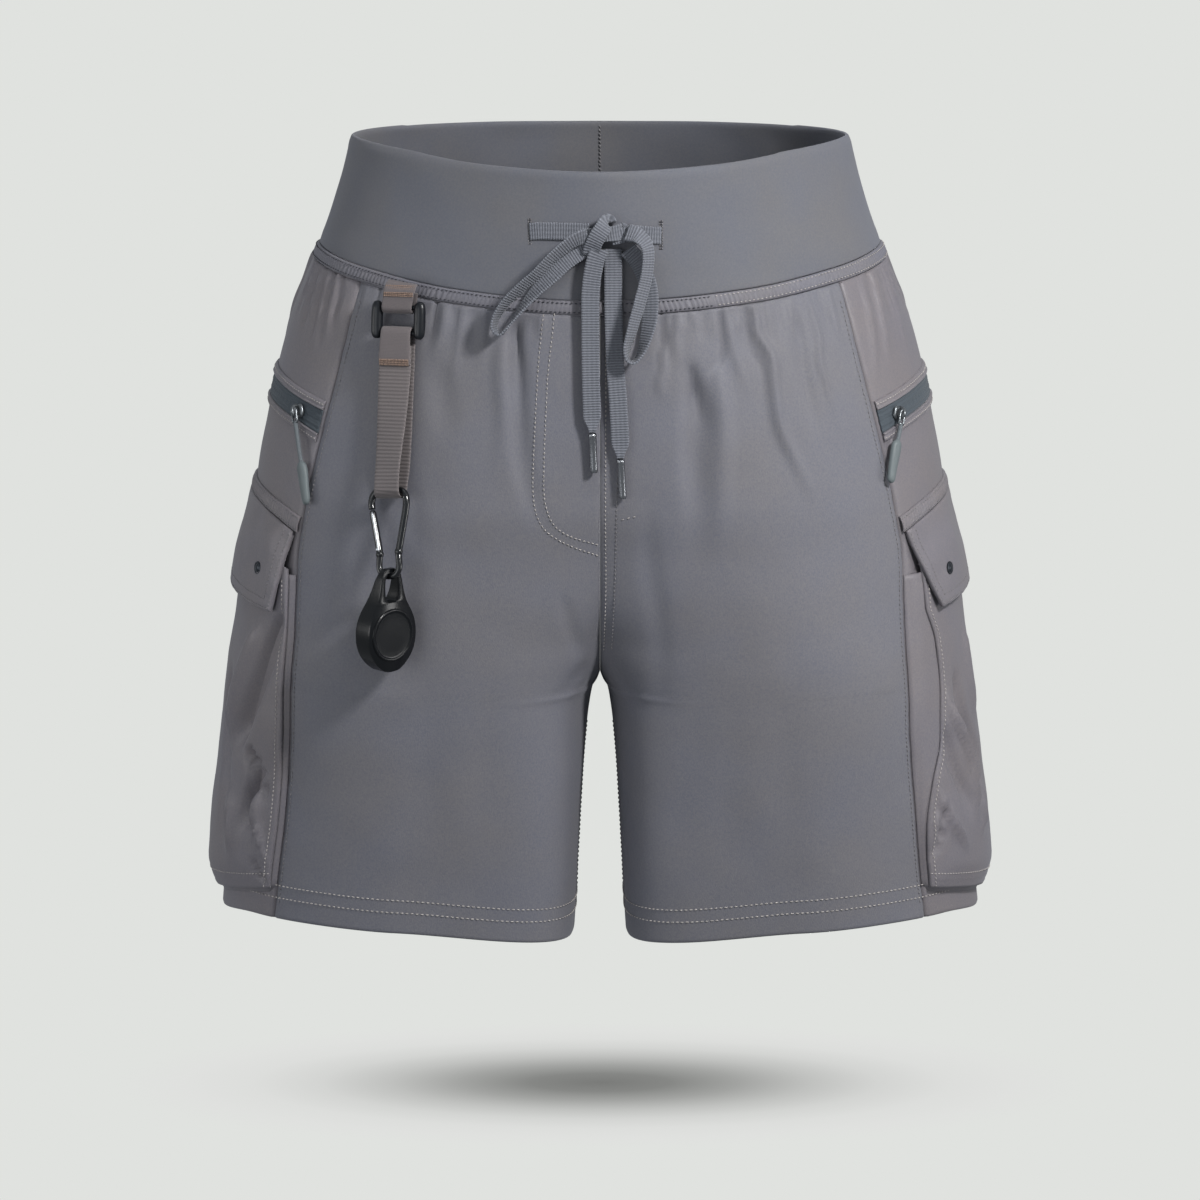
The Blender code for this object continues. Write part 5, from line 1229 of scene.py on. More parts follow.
def side_zip(half, who):
    us = np.linspace(-0.975, 0.93, 150)
    kt = np.linspace(0, 1, 23)

    def tape_off(U, K, w):
        centre = np.abs(K - 0.5)
        e = 1.0 + 0.25 * np.cos(2 * math.pi * (K - 0.5) * 5) * (centre > 0.12)
        # two rows of fine coil under the tape's edges meet in the middle
        coil = 0.18 * np.sin(2 * math.pi * w / (1.35 * MM)) * np.exp(-((centre - 0.05) / 0.03) ** 2)
        return e - 0.45 * np.exp(-(centre / 0.02) ** 2) + coil
    tape, _, _ = lying_strip("visual_zip_tape_" + who, half, us,
                             lambda u: across_line("zip_up", u) - 0.4 * MM,
                             lambda u: across_line("zip_low", u) + 0.4 * MM, kt, tape_off, 0.8, zip_cloth)
    kw = np.array([0, 0.06, 0.2, 0.38, 0.55, 0.68, 0.76, 0.86, 0.95, 1.0])
    roll = np.array([0.45, 1.15, 1.55, 1.6, 1.5, 1.35, 1.7, 2.15, 1.9, 0.9])

    def welt_off(flip):
        prof = roll[::-1] if flip else roll

        def off(U, K, w):
            e = np.interp(K, kw if not flip else (1 - kw)[::-1], prof if not flip else roll[::-1])
            return e + 0.14 * noise(np.stack([w, 0 * w], -1), 4.2 * MM, 81 + int(flip))
        return off
    rows = []
    up, Pu, Nu = lying_strip("visual_zip_welt_upper_" + who, half, us,
                             lambda u: across_line("zip_up", u) + 4.6 * MM,
                             lambda u: across_line("zip_up", u) - 0.6 * MM, kw, welt_off(False), 1.1, side_cloth)
    rows.append((Pu[3], Nu[3]))
    lo, Pl, Nl = lying_strip("visual_zip_welt_lower_" + who, half, us,
                             lambda u: across_line("zip_low", u) + 0.6 * MM,
                             lambda u: across_line("zip_low", u) - 4.6 * MM, (1 - kw)[::-1], welt_off(True), 1.1,
                             side_cloth)
    rows.append((Pl[-4], Nl[-4]))
    return tape, up, lo, rows


# ------------------------------------------------------------------ more finishes
def ribbed(name, rgb, pitch, depth, rough=0.75, painted_rib_shade=0.22, cross=0.0):
    """Narrow woven tape: ribs across its length (u), fine threads along it."""
    c = srgb(*rgb)
    m = Mat(name, c, rough, spec=0.3)
    m.b.inputs["Sheen Weight"].default_value = 0.15
    uv = m.coords(uv=True)
    rib = m.wave(2 * math.pi / (20 * pitch), uv, along="X", distortion=0.0)
    # painted shade and light: the colour darkens in the ribs' grooves and lightens on their crests, in step with the
    # rib bump below
    shade = m.blend(rib, tint(c, 1 - painted_rib_shade), tint(c, 1 + painted_rib_shade * 0.5))
    grain = m.ramp(m.noise(1300.0, detail=2.0), 0.3, 0.7)
    dark = m.blend(grain, tint(c, 0.8, 0.8, 0.84), tint(c, 1.14, 1.12, 1.08))
    mix = m.node("ShaderNodeMix", data_type="RGBA")
    mix.inputs["Factor"].default_value = 0.4
    a, b = [i for i in mix.inputs if i.type == "RGBA"][:2]
    m.link(shade, a)
    m.link(dark, b)
    m.colour([o for o in mix.outputs if o.type == "RGBA"][0])
    m.bump(rib, depth, 0.9)
    if cross:
        m.bump(m.wave(2 * math.pi / (20 * cross), uv, along="Y"), depth * 0.6, 0.7)
    m.bump(m.noise(1700.0, detail=1.0), 0.00008, 0.7)
    return m.m


def satin(name, rgb, rough, metal=0.0, spec=0.5, grain=0.0, coat=0.0):
    m = Mat(name, srgb(*rgb), rough, metal, spec)
    if coat:
        m.b.inputs["Coat Weight"].default_value = coat
        m.b.inputs["Coat Roughness"].default_value = 0.12
    m.colour(m.blend(m.noise(120.0, detail=3.0), tint(srgb(*rgb), 0.88), tint(srgb(*rgb), 1.12)))
    if grain:
        m.bump(m.noise(1100.0, detail=2.0), grain, 0.7)
    return m.m


cord_tape = ribbed("cord_tape", (106, 109, 117), 0.00150, 0.00030, painted_rib_shade=0.5, cross=0.0026)
webbing = ribbed("webbing", (108, 102, 102), 0.00210, 0.0002, painted_rib_shade=0.2)
webbing_plain = ribbed("webbing_plain", (102, 96, 97), 0.0008, 0.00004, painted_rib_shade=0.06)
zip_cloth = ribbed("zip_cloth", (66, 74, 81), 0.0009, 0.00006, painted_rib_shade=0.12)
black_plastic = satin("black_plastic_look", (17, 20, 25), 0.34, spec=0.4, grain=0.00002)
fob_plastic = satin("fob_plastic", (8, 10, 13), 0.26, spec=0.28, coat=0.08)
black_metal = satin("black_metal_look", (15, 17, 20), 0.22, spec=0.4, coat=0.35)
bright_metal = satin("bright_metal", (190, 194, 198), 0.28, metal=1.0)
snap_metal = satin("snap_metal", (52, 56, 62), 0.32, metal=0.7)
tip_metal = satin("tip_metal_look", (150, 152, 156), 0.26, metal=1.0, grain=0.0001)
zip_metal = satin("zip_metal_look", (112, 116, 119), 0.34, metal=0.85, grain=0.00003)
grip_rubber = satin("grip_rubber_look", (98, 106, 108), 0.5, spec=0.4, grain=0.00002)
pull_cord = satin("pull_cord", (96, 102, 106), 0.7, spec=0.3, grain=0.00008)

# ------------------------------------------------------------------ tapes
_sec = [(-1, 0.0), (-0.985, 0.55), (-0.94, 0.9), (-0.8, 1.0), (-0.4, 1.0), (0, 1.0), (0.4, 1.0), (0.8, 1.0),
        (0.94, 0.9), (0.985, 0.55), (1, 0.0)]
SECTION = np.array(_sec + [(-a, -b) for a, b in _sec[1:-1]])


def tape_mesh(name, pts, across, width, thick, mat, cup=0.0):
    """A flat tape with rounded edges; width and thick may vary along it."""
    p, w = np.asarray(pts, float), np.asarray(across, float)
    n = len(p)
    tan = np.gradient(p, axis=0)
    tan /= np.linalg.norm(tan, axis=1, keepdims=True)
    w = w - tan * (w * tan).sum(1, keepdims=True)
    w /= np.linalg.norm(w, axis=1, keepdims=True)
    up = np.cross(tan, w)
    W = np.broadcast_to(np.asarray(width, float), (n,))[:, None] / 2
    T = np.broadcast_to(np.asarray(thick, float), (n,))[:, None] / 2
    a, b = SECTION[:, 0][None], SECTION[:, 1][None]
    bow = cup * (1 - a ** 2)
    v = p[:, None] + w[:, None] * (a * W)[..., None] + up[:, None] * (b * T + bow * T)[..., None]
    m = len(SECTION)
    run = np.concatenate([[0], np.cumsum(np.linalg.norm(np.diff(p, axis=0), axis=1))])
    uv = np.stack([np.broadcast_to(run[:, None], (n, m)), np.broadcast_to(a * W, (n, m))], -1)
    _, q = grid_faces(n, m, closed=True)
    faces = [tuple(f) for f in q]
    faces.append(tuple(range(m - 1, -1, -1)))
    faces.append(tuple(range((n - 1) * m, n * m)))
    ob = mesh_object(name, v.reshape(-1, 3), faces, mat, uv)
    bm = bmesh.new()
    bm.from_mesh(ob.data)
    bmesh.ops.recalc_face_normals(bm, faces=bm.faces)
    bm.to_mesh(ob.data)
    bm.free()
    return ob, p, w, up


def front_route(rows, count):
    """Points and width direction of a tape lying over the front."""
    r = spline(rows, count)
    p, n = over_front(r[:, 0], r[:, 1], r[:, 2])
    tan = np.gradient(p, axis=0)
    tan /= np.linalg.norm(tan, axis=1, keepdims=True)
    n = n - tan * (n * tan).sum(1, keepdims=True)
    n /= np.linalg.norm(n, axis=1, keepdims=True)
    flat = np.cross(tan, n)
    a = np.radians(r[:, 3])[:, None]
    return p, flat * np.cos(a) + n * np.sin(a), n


# Each tape's middle line over the front: X, height, distance off the cloth
# (mm) and how far it is turned on edge (degrees).
RUN_RIGHT = ((-39.3, -38.8, 0.6, 0), (-34.5, -38.3, 1.1, 0), (-30.5, -38.1, 1.2, 0), (-19.3, -38.0, 1.5, 0),
             (-10.0, -38.0, 2.0, 0), (-5.9, -37.9, 2.2, 0))
RUN_LEFT = ((34.2, -40.8, 0.6, 0), (30.0, -40.6, 1.1, 0), (26.0, -40.2, 1.3, 0), (18.5, -39.4, 1.8, 0),
            (13.9, -39.0, 2.2, 0))
LOOP_RIGHT = ((-6.4, -39.6, 8.2, 20), (-13.4, -42.3, 11.0, 45), (-24.2, -51.5, 13.0, 58),
              (-33.3, -61.9, 13.4, 62), (-41.9, -70.5, 13.0, 68), (-50.7, -79.9, 12.0, 75),
              (-56.0, -87.7, 10.6, 82), (-57.2, -93.5, 9.6, 86), (-54.0, -96.4, 9.2, 86),
              (-50.6, -92.9, 8.8, 80), (-46.0, -86.6, 8.2, 70), (-40.0, -78.4, 7.4, 55),
              (-34.0, -71.0, 6.6, 42), (-26.2, -62.6, 5.8, 28), (-18.6, -54.6, 5.0, 15),
              (-10.3, -48.4, 4.4, 5), (-6.0, -46.4, 4.2, 0))
LOOP_LEFT = ((14.0, -37.6, 9.0, 10), (20.0, -40.0, 12.5, 30), (24.5, -47.0, 14.0, 40),
             (24.5, -60.0, 14.0, 42), (21.5, -76.0, 13.5, 45), (17.5, -92.0, 12.5, 54),
             (15.0, -102.0, 11.4, 66), (15.4, -108.4, 10.2, 80), (18.8, -110.2, 9.2, 84),
             (22.2, -106.0, 8.2, 74), (25.3, -97.0, 7.0, 54), (27.3, -85.0, 6.0, 34),
             (26.6, -70.0, 5.4, 20), (22.0, -56.5, 4.8, 8), (15.0, -47.5, 4.4, 0))
END_RIGHT = ((0.2, -46.8, 7.4, 0), (-2.6, -54.4, 7.6, 0), (-5.0, -70.4, 7.2, 0),
             (-5.4, -91.5, 6.6, 0), (-5.2, -119.8, 5.8, 0), (-4.7, -140.1, 5.0, 0),
             (-4.6, -149.5, 5.0, 0))
END_LEFT = ((7.0, -47.4, 2.2, 0), (7.2, -56.4, 2.2, 0), (7.4, -80.6, 2.6, 0),
            (8.6, -112.2, 3.0, 0), (10.2, -132.8, 3.4, 0), (11.4, -154.3, 3.8, 0),
            (11.7, -164.5, 4.0, 0))
TIPS = {"right": ((-4.6, -150.6, 5.0), (-3.8, -173.0, 4.6)),
        "left": ((11.8, -165.6, 4.0), (13.2, -188.0, 3.8))}
KNOT = (4.0, -38.9, 5.4)


def drawstring():
    out = {}
    for node, rows in (("drawstring_run_right", RUN_RIGHT), ("drawstring_run_left", RUN_LEFT)):
        p, w, _ = front_route(rows, 40)
        out[node] = tape_mesh("visual_" + node, p, w, 9.8 * MM, 1.2 * MM, cord_tape)
    for node, rows in (("bow_loop_right", LOOP_RIGHT), ("bow_loop_left", LOOP_LEFT)):
        p, w, _ = front_route(rows, 220)
        out[node] = tape_mesh("visual_" + node, p, w, 10.0 * MM, 1.25 * MM, cord_tape)
    for who, rows in (("right", END_RIGHT), ("left", END_LEFT)):
        p, w, _ = front_route(rows, 150)
        run = np.concatenate([[0], np.cumsum(np.linalg.norm(np.diff(p, axis=0), axis=1))])
        left = (run[-1] - run) / MM
        width = (4.2 + 6.0 * smooth(left / 9.0)) * MM
        thick = (3.4 - 2.15 * smooth(left / 8.0)) * MM
        out["drawstring_end_" + who] = tape_mesh("visual_drawstring_end_" + who, p, w, width, thick, cord_tape,
                                                 cup=0.3)
    return out


def tips():
    out = {}
    for who, (a, b) in TIPS.items():
        p = np.array([over_front(*a)[0], over_front(*b)[0]])
        f = np.array([-0.02, 0.0, 0.02, 0.05, 0.07, 0.5, 0.9, 0.95, 0.985, 1.0])
        r = np.array([1.6, 2.1, 2.3, 2.35, 2.25, 2.2, 2.15, 2.2, 1.9, 1.2]) * MM
        v, fc = tube_mesh(p[0] + (p[1] - p[0]) * f[:, None], r, 18)
        bag = Joined().add(v, fc)
        out[who] = bag.object("visual_tip_" + who, tip_metal)
    return out


# The knot: a wrap across the front, the left end folded over it and down,
# and a flatter turn on its right, each by X, height, distance off (mm), turn.
KNOT_WRAP = ((-5.2, -40.8, 1.0, 0), (-7.0, -40.6, 3.2, 0), (-5.4, -40.3, 5.8, 0), (-1.0, -39.8, 7.3, 0),
             (4.5, -39.0, 7.9, 0), (9.6, -38.2, 7.0, 0), (12.4, -37.8, 4.6, 0), (11.6, -37.6, 1.8, 0))
KNOT_OVER = ((4.6, -33.4, 2.6, 0), (4.2, -32.2, 5.2, 0), (3.0, -32.6, 8.0, 0), (1.4, -35.2, 9.9, 0),
             (-0.9, -39.2, 10.2, 0), (-2.9, -43.4, 9.3, 0), (-4.4, -47.4, 7.4, 0), (-5.0, -50.6, 6.0, 0))
KNOT_SIDE = ((6.0, -41.2, 5.4, 0), (9.6, -40.4, 6.6, 0), (14.0, -39.4, 6.2, 0), (18.4, -38.8, 4.6, 0),
             (20.6, -38.6, 2.4, 0))


def bow_knot():
    """The wraps of tape in the middle of the bow, in one piece."""
    made = []
    for name, rows, w in (("wrap", KNOT_WRAP, 9.6), ("over", KNOT_OVER, 9.4), ("side", KNOT_SIDE, 8.2)):
        p, across, _ = front_route(rows, 60)
        k = np.linspace(0, 1, 60)
        width = w * (1 - 0.22 * np.exp(-((k - 0.5) / 0.2) ** 2) * (name == "wrap")) * MM
        made.append(tape_mesh("knot_" + name, p, across, width, 1.5 * MM, cord_tape, cup=0.5)[0])
    bm = bmesh.new()
    for ob in made:
        bm.from_mesh(ob.data)
    me = bpy.data.meshes.new("visual_bow_knot")
    bm.to_mesh(me)
    bm.free()
    for ob in made:
        bpy.data.objects.remove(ob, do_unlink=True)
    me.materials.append(cord_tape)
    me.shade_smooth()
    ob = bpy.data.objects.new("visual_bow_knot", me)
    bpy.context.scene.collection.objects.link(ob)
    return ob


# ------------------------------------------------------------------ strap chain
WEB_T = 1.3 * MM
TURN, HANG = math.radians(24.0), math.radians(2.2)
OUTWARD = np.array([-math.sin(TURN), -math.cos(TURN), 0])
AXIS_X, RING_Z, RING_OFF = -111.0, -90.8, 7.0
RING_W, RING_H = 33.4, 21.4
STRAP_LENGTH, FOLD_R, FOLD_SKEW = 95.2, 4.9, 0.06


def strap_base(z):
    return over_front(AXIS_X, z, 0.0)[0]


ring_centre = strap_base(RING_Z) + OUTWARD * (RING_OFF * MM)
_flat = np.array([math.cos(TURN), -math.sin(TURN), 0])
_down = strap_base(-190) - strap_base(-95)
_down = _down - _flat * (_down @ _flat)
_down /= np.linalg.norm(_down)
ACROSS = _flat * math.cos(HANG) - _down * math.sin(HANG)
strap_down = _down * math.cos(HANG) + _flat * math.sin(HANG)
strap_out = np.cross(ACROSS, strap_down)
strap_out *= np.sign(strap_out @ OUTWARD)


def on_strap(s, d, h):
    return ring_centre + ACROSS * (s * MM) + strap_down * (d * MM) + strap_out * (h * MM)


def rounded_box_route(hw, hh, r, count):
    pts = []
    for cx, cy, a0 in ((hw - r, hh - r, 0), (-(hw - r), hh - r, 90), (-(hw - r), -(hh - r), 180),
                       (hw - r, -(hh - r), 270)):
        for a in np.radians(np.linspace(a0, a0 + 90, 10)):
            pts.append((cx + r * math.cos(a), cy + r * math.sin(a)))
    pts = np.array(pts + [pts[0]])
    run = np.concatenate([[0], np.cumsum(np.linalg.norm(np.diff(pts, axis=0), axis=1))])
    s = np.linspace(0, run[-1], count, endpoint=False)
    return np.stack([np.interp(s, run, pts[:, 0]), np.interp(s, run, pts[:, 1])], 1)


def strap_ring():
    """Two thick rounded side bars joined by thinner cross bars, one casting."""
    bag = Joined()
    for side in (-1, 1):
        d = np.array([-10.7, -10.5, -9.9, -8.8, -7.0, -4.0, 0, 4.0, 7.0, 8.8, 9.9, 10.5, 10.7])
        w = np.array([0.5, 1.5, 2.4, 3.0, 3.35, 3.45, 3.45, 3.45, 3.35, 3.0, 2.4, 1.5, 0.5])
        d, w = (np.interp(np.linspace(0, 12, 49), np.arange(13), v) for v in (d, w))
        pts = np.array([on_strap(side * (13.3 - 0.25 * (y / 10.7) ** 2), y, 0) for y in d])
        v, f = tube_mesh(pts, w * MM, 24, squash=0.82, up=ACROSS)
        bag.add(v, f)
    for y in (-7.3, 7.3):
        pts = np.array([on_strap(x, y, 0) for x in np.linspace(-12.4, 12.4, 9)])
        v, f = tube_mesh(pts, 1.45 * MM, 14, up=strap_out)
        bag.add(v, f)
    return bag.object("visual_strap_ring", black_plastic)


# Routes of the webbing: across, down from the ring's middle, off its plane
# (mm), how far it turns further than the ring (degrees), its width.
def loop_route():
    hh = RING_H / 2
    bar_top, r = -hh + 3.4, 3.0
    path = [(2.6, -hh - 10.6, r - 1.9, 0, 19.6), (2.2, -hh - 8.6, r - 0.5, 0, 19.6),
            (1.4, -hh - 5.0, r + 0.5, 0, 19.3), (0.6, -hh - 0.5, r + 0.2, 0, 18.9)]
    path += [(0, bar_top + r * math.sin(a), r * math.cos(a), 0, 18.6)
             for a in np.radians((8, 35, 62, 90, 118, 145, 172))]
    path += [(0, bar_top - 2.0, -r + 0.1, 0, 18.6), (0.6, -hh - 1.0, -r + 0.5, 0, 19),
             (1.4, -hh - 6.0, -r + 1.3, 0, 19)]
    return spline(path, 120)


def fold_rows(c, angles):
    return [(0.0, STRAP_LENGTH + FOLD_R * math.sin(a), c - FOLD_R * math.cos(a), 4 + 6 * a / math.pi, 16.8)
            for a in np.radians(angles)]


def strap_route():
    """From under the turned-over end, round the back and up the front."""
    bar = RING_H / 2 - 3.4
    c = FOLD_R - 1.5
    path = [(0, bar + 3.0, -3.4, 0, 18.4), (0, bar + 10.0, -2.8, 0, 19.6), (0, bar + 30.0, -2.0, 0, 20.0),
            (0, bar + 55.0, -1.8, 1, 20.0), (0, STRAP_LENGTH - 14.0, -1.5, 2, 19.4),
            (0, STRAP_LENGTH - 5.0, -1.5, 3, 17.8)]
    path += fold_rows(c, (0, 22, 45, 68, 90, 112, 135, 158, 180))
    path += [(-0.2, STRAP_LENGTH - 6.0, 8.0, 13, 17.4), (-0.3, STRAP_LENGTH - 14.0, 7.0, 16, 18.2),
             (-0.2, STRAP_LENGTH - 26.0, 5.6, 14, 19.0), (0, bar + 46.0, 4.2, 8, 19.6),
             (0, bar + 30.0, 3.0, 3, 20.0), (0, bar + 18.0, 2.3, 0, 20.0), (0, bar + 7.0, 1.9, 0, 19.0)]
    return spline(path, 330)


def strap_end_route():
    """The turned-over end: over the ring's lower bar and down the front."""
    bar = RING_H / 2 - 3.4
    r = 3.0
    path = [(0, bar + 17.9, 3.2, 0, 19.9), (0, bar + 14.0, 3.75, 0, 19.9), (0, bar + 7.0, 3.6, 0, 19.2),
            (0, bar + 1.0, r + 0.3, 0, 18.6)]
    path += [(0, bar - (r + 0.1) * math.sin(a), (r + 0.1) * math.cos(a), 0, 18.6)
             for a in np.radians((20, 45, 70, 90, 110, 135, 160))]
    path += [(0, bar + 1.0, -r - 0.2, 0, 18.6), (0, bar + 2.6, -3.3, 0, 18.6)]
    return spline(path, 150)


def chain_tape(name, route, mat):
    pts = np.array([on_strap(s, d, h) for s, d, h, _, _ in route])
    tw = np.radians(route[:, 3])[:, None]
    skew = FOLD_SKEW * smooth((route[:, 1] - 60.0) / 30.0)[:, None]
    across = ACROSS * np.cos(tw) + strap_out * np.sin(tw) - strap_down * skew
    return tape_mesh(name, pts, across, route[:, 4] * MM, WEB_T, mat)


CAR_TURN, CAR_ROLL, CAR_TILT = math.radians(31.0), math.radians(8.3), math.radians(17.0)
_flat = np.array([math.cos(CAR_TURN), -math.sin(CAR_TURN), 0])
_away = np.array([-math.sin(CAR_TURN), -math.cos(CAR_TURN), 0])
_down = np.array([0, 0, -1.0]) * math.cos(CAR_TILT) + _away * math.sin(CAR_TILT)
car_across = _flat * math.cos(CAR_ROLL) - _down * math.sin(CAR_ROLL)
car_down = _down * math.cos(CAR_ROLL) + _flat * math.sin(CAR_ROLL)
car_out = np.cross(car_across, car_down)
car_out *= np.sign(car_out @ _away)
pivot = on_strap(-1.0, STRAP_LENGTH + 1.2, FOLD_R - 1.5)


def on_carabiner(s, d, h=0.0):
    return pivot + car_across * (s * MM) + car_down * (d * MM) + car_out * (h * MM)


# Carabiner's wire in its own plane: across, down from its top bar, radius
FRAME_ROUTE = (
    (-10.5, 10.2, 1.95), (-10.95, 6.8, 2.0), (-10.6, 3.9, 2.0), (-9.6, 1.9, 2.0), (-8.0, 0.5, 2.0),
    (-5.5, 0.0, 2.0), (0.2, 0.0, 2.0), (5.8, 0.0, 2.0), (8.4, 0.3, 2.0), (10.3, 1.6, 2.0),
    (11.5, 3.8, 2.0), (12.0, 7.0, 2.0), (11.6, 12.0, 2.0), (10.0, 22.0, 2.0), (8.6, 30.6, 1.95),
    (7.8, 35.6, 1.9), (8.2, 39.0, 1.9), (8.5, 43.0, 1.9), (8.0, 45.7, 1.85), (5.8, 48.2, 1.8),
    (2.2, 48.8, 1.8), (-1.4, 48.2, 1.8), (-3.8, 45.7, 1.8), (-4.5, 43.0, 1.8), (-4.6, 39.4, 1.8),
    (-4.4, 37.0, 1.8))
GATE_ROUTE = ((-10.35, 11.2), (-9.4, 14.5), (-7.6, 22.0), (-5.5, 31.0), (-4.6, 35.4))


def carabiner():
    r = spline(FRAME_ROUTE, 190)
    pts = np.array([on_carabiner(a, b) for a, b, _ in r])
    bag = Joined().add(*tube_mesh(pts, r[:, 2] * MM, 18, up=car_out))
    # steps at the neck where the wire turns into the lower eye
    for a, b, s in ((7.9, 35.0, 1.0), (-4.5, 36.2, -1.0)):
        q = np.array([on_carabiner(a + s * 0.1 * k, b + 1.1 * k) for k in (-1.6, -0.8, 0, 0.8, 1.6)])
        bag.add(*tube_mesh(q, np.array([1.7, 2.2, 2.35, 2.2, 1.7]) * MM, 16))
    frame_ob = bag.object("visual_carabiner", black_metal)
    g = spline([(a, b, 0) for a, b in GATE_ROUTE], 40)
    gp = np.array([on_carabiner(a, b) for a, b, _ in g])
    bag = Joined().add(*tube_mesh(gp, np.interp(np.arange(40), [0, 2, 37, 39], [1.5, 2.0, 2.0, 1.6]) * MM, 16,
                                  up=car_out))
    gate_ob = bag.object("visual_gate", black_metal)
    # bright strip down the gate and the pin it turns on
    strip = np.array([on_carabiner(a + 0.55, b, 1.75) for a, b, _ in g[1:39]])
    bag = Joined().add(*tube_mesh(strip, np.interp(np.arange(38), [0, 2, 35, 37], [0.4, 0.72, 0.72, 0.4]) * MM, 10,
                                  up=car_out))
    a, b = on_carabiner(-5.3, 33.4, -2.0), on_carabiner(-5.3, 33.4, 2.2)
    bag.add(*tube_mesh([a, a + (b - a) * 0.96, b], np.array([0.9, 0.9, 0.5]) * MM, 12))
    strip_ob = bag.object("visual_gate_strip", bright_metal)
    return frame_ob, gate_ob, strip_ob


FOB_TURN = math.radians(43.0)
fob_n = np.array([math.sin(FOB_TURN), -math.cos(FOB_TURN), 0])
fob_w = np.array([math.cos(FOB_TURN), math.sin(FOB_TURN), 0])
fob_bar = on_carabiner(2.2, 48.8)
FOB_TOP = 4.4


def on_fob(w, d, n):
    return fob_bar + fob_w * (w * MM) - np.array([0, 0, 1.0]) * ((d - FOB_TOP) * MM) + fob_n * (n * MM)


# Fob by distance from its top: half-width, half-thickness and how far the
# middle of its thickness lies off the wire it hangs on (mm)
FOB_COLS = ("d", "half_width", "half_thick", "mid")
FOB_ROWS = ((0.0, 2.6, 1.8, 0.0), (0.8, 4.6, 1.9, 0.0), (2.4, 6.2, 2.2, -0.1), (6.8, 7.6, 3.1, -0.9),
            (13.1, 8.8, 4.1, -1.8), (19.0, 10.7, 5.1, -2.8), (22.4, 12.6, 5.5, -3.2), (27.2, 15.2, 5.8, -3.4),
            (32.1, 16.9, 5.9, -3.5), (37.4, 17.6, 5.9, -3.5), (42.8, 17.2, 5.9, -3.5), (47.7, 15.7, 5.8, -3.4),
            (52.2, 12.9, 5.6, -3.3), (56.1, 9.0, 5.3, -3.2), (58.9, 4.0, 5.1, -3.1))
fob_table = Table(FOB_COLS, FOB_ROWS)
SLOT_ROWS = ((2.0, 2.0), (3.2, 3.6), (5.6, 4.6), (9.0, 5.1), (13.0, 5.1), (16.6, 4.6), (19.0, 3.0))


def fob():
    """Outline and slot as one curve, swelled to its thickness, rounded at its edges."""
    cu = bpy.data.curves.new("fob_outline", "CURVE")
    cu.dimensions = "2D"
    cu.fill_mode = "BOTH"
    cu.extrude = 0.82
    cu.bevel_depth = 0.18
    cu.bevel_resolution = 5

    def ring(rows, count):
        pts = [(w, d) for d, w in rows] + [(-w, d) for d, w in rows[::-1]]
        p = np.array(pts + [pts[0]])
        q = spline([(a, b, 0) for a, b in p], count + 1)[:-1]
        sp = cu.splines.new("POLY")
        sp.points.add(len(q) - 1)
        for k, (a, b, _) in enumerate(q):
            sp.points[k].co = (a, b, 0, 1)
        sp.use_cyclic_u = True
    ring([(r[0], r[1]) for r in FOB_ROWS], 190)
    ring(SLOT_ROWS, 66)
    ob = bpy.data.objects.new("fob_outline", cu)
    scene_ = bpy.context.scene
    scene_.collection.objects.link(ob)
    bpy.context.view_layer.update()
    me = bpy.data.meshes.new_from_object(ob.evaluated_get(bpy.context.evaluated_depsgraph_get()))
    bpy.data.objects.remove(ob, do_unlink=True)
    bm = bmesh.new()
    bm.from_mesh(me)
    bmesh.ops.remove_doubles(bm, verts=bm.verts, dist=1e-4)
    bmesh.ops.triangulate(bm, faces=[f for f in bm.faces if len(f.verts) > 4])
    for v in bm.verts:
        w, d, n = v.co
        v.co = Vector(on_fob(w * 0.985, d, n * float(fob_table("half_thick", d)) + float(fob_table("mid", d))))
    bmesh.ops.recalc_face_normals(bm, faces=bm.faces)
    bm.to_mesh(me)
    bm.free()
    me.materials.clear()
    me.materials.append(fob_plastic)
    me.shade_smooth()
    me.set_sharp_from_angle(angle=math.radians(42))
    case = bpy.data.objects.new("visual_fob", me)
    scene_.collection.objects.link(case)
    # raised disc with a rounded rim and a slightly sunk face
    prof = ((15.2, 2.2), (15.1, 2.7), (14.85, 3.1), (14.4, 3.3), (13.9, 3.3), (13.5, 3.1), (13.2, 2.9),
            (12.4, 2.85), (8.0, 2.9), (4.0, 2.92), (0.03, 2.93))
    v, f, m = [], [], 72
    for r, h in prof:
        for k in range(m):
            a = 2 * math.pi * k / m
            v.append(on_fob(r * math.cos(a), 38.0 + r * math.sin(a), h))
    f.append(tuple(range(m)))
    for i in range(len(prof) - 1):
        for k in range(m):
            k2 = (k + 1) % m
            f.append((i * m + k2, i * m + k, (i + 1) * m + k, (i + 1) * m + k2))
    f.append(tuple(range(len(prof) * m - 1, (len(prof) - 1) * m - 1, -1)))
    disc = mesh_object("visual_fob_disc", v, f, fob_plastic)
    bm = bmesh.new()
    bm.from_mesh(disc.data)
    bmesh.ops.recalc_face_normals(bm, faces=bm.faces)
    bm.to_mesh(disc.data)
    bm.free()
    return case, disc


# ------------------------------------------------------------------ zip pulls
PULLS = {-1: dict(u=-0.76, z=-150.7, end_u=-1.07, end_z=-200.0),
         1: dict(u=-0.80, z=-151.4, end_u=-1.06, end_z=-187.3)}
BAR_H = 4.3


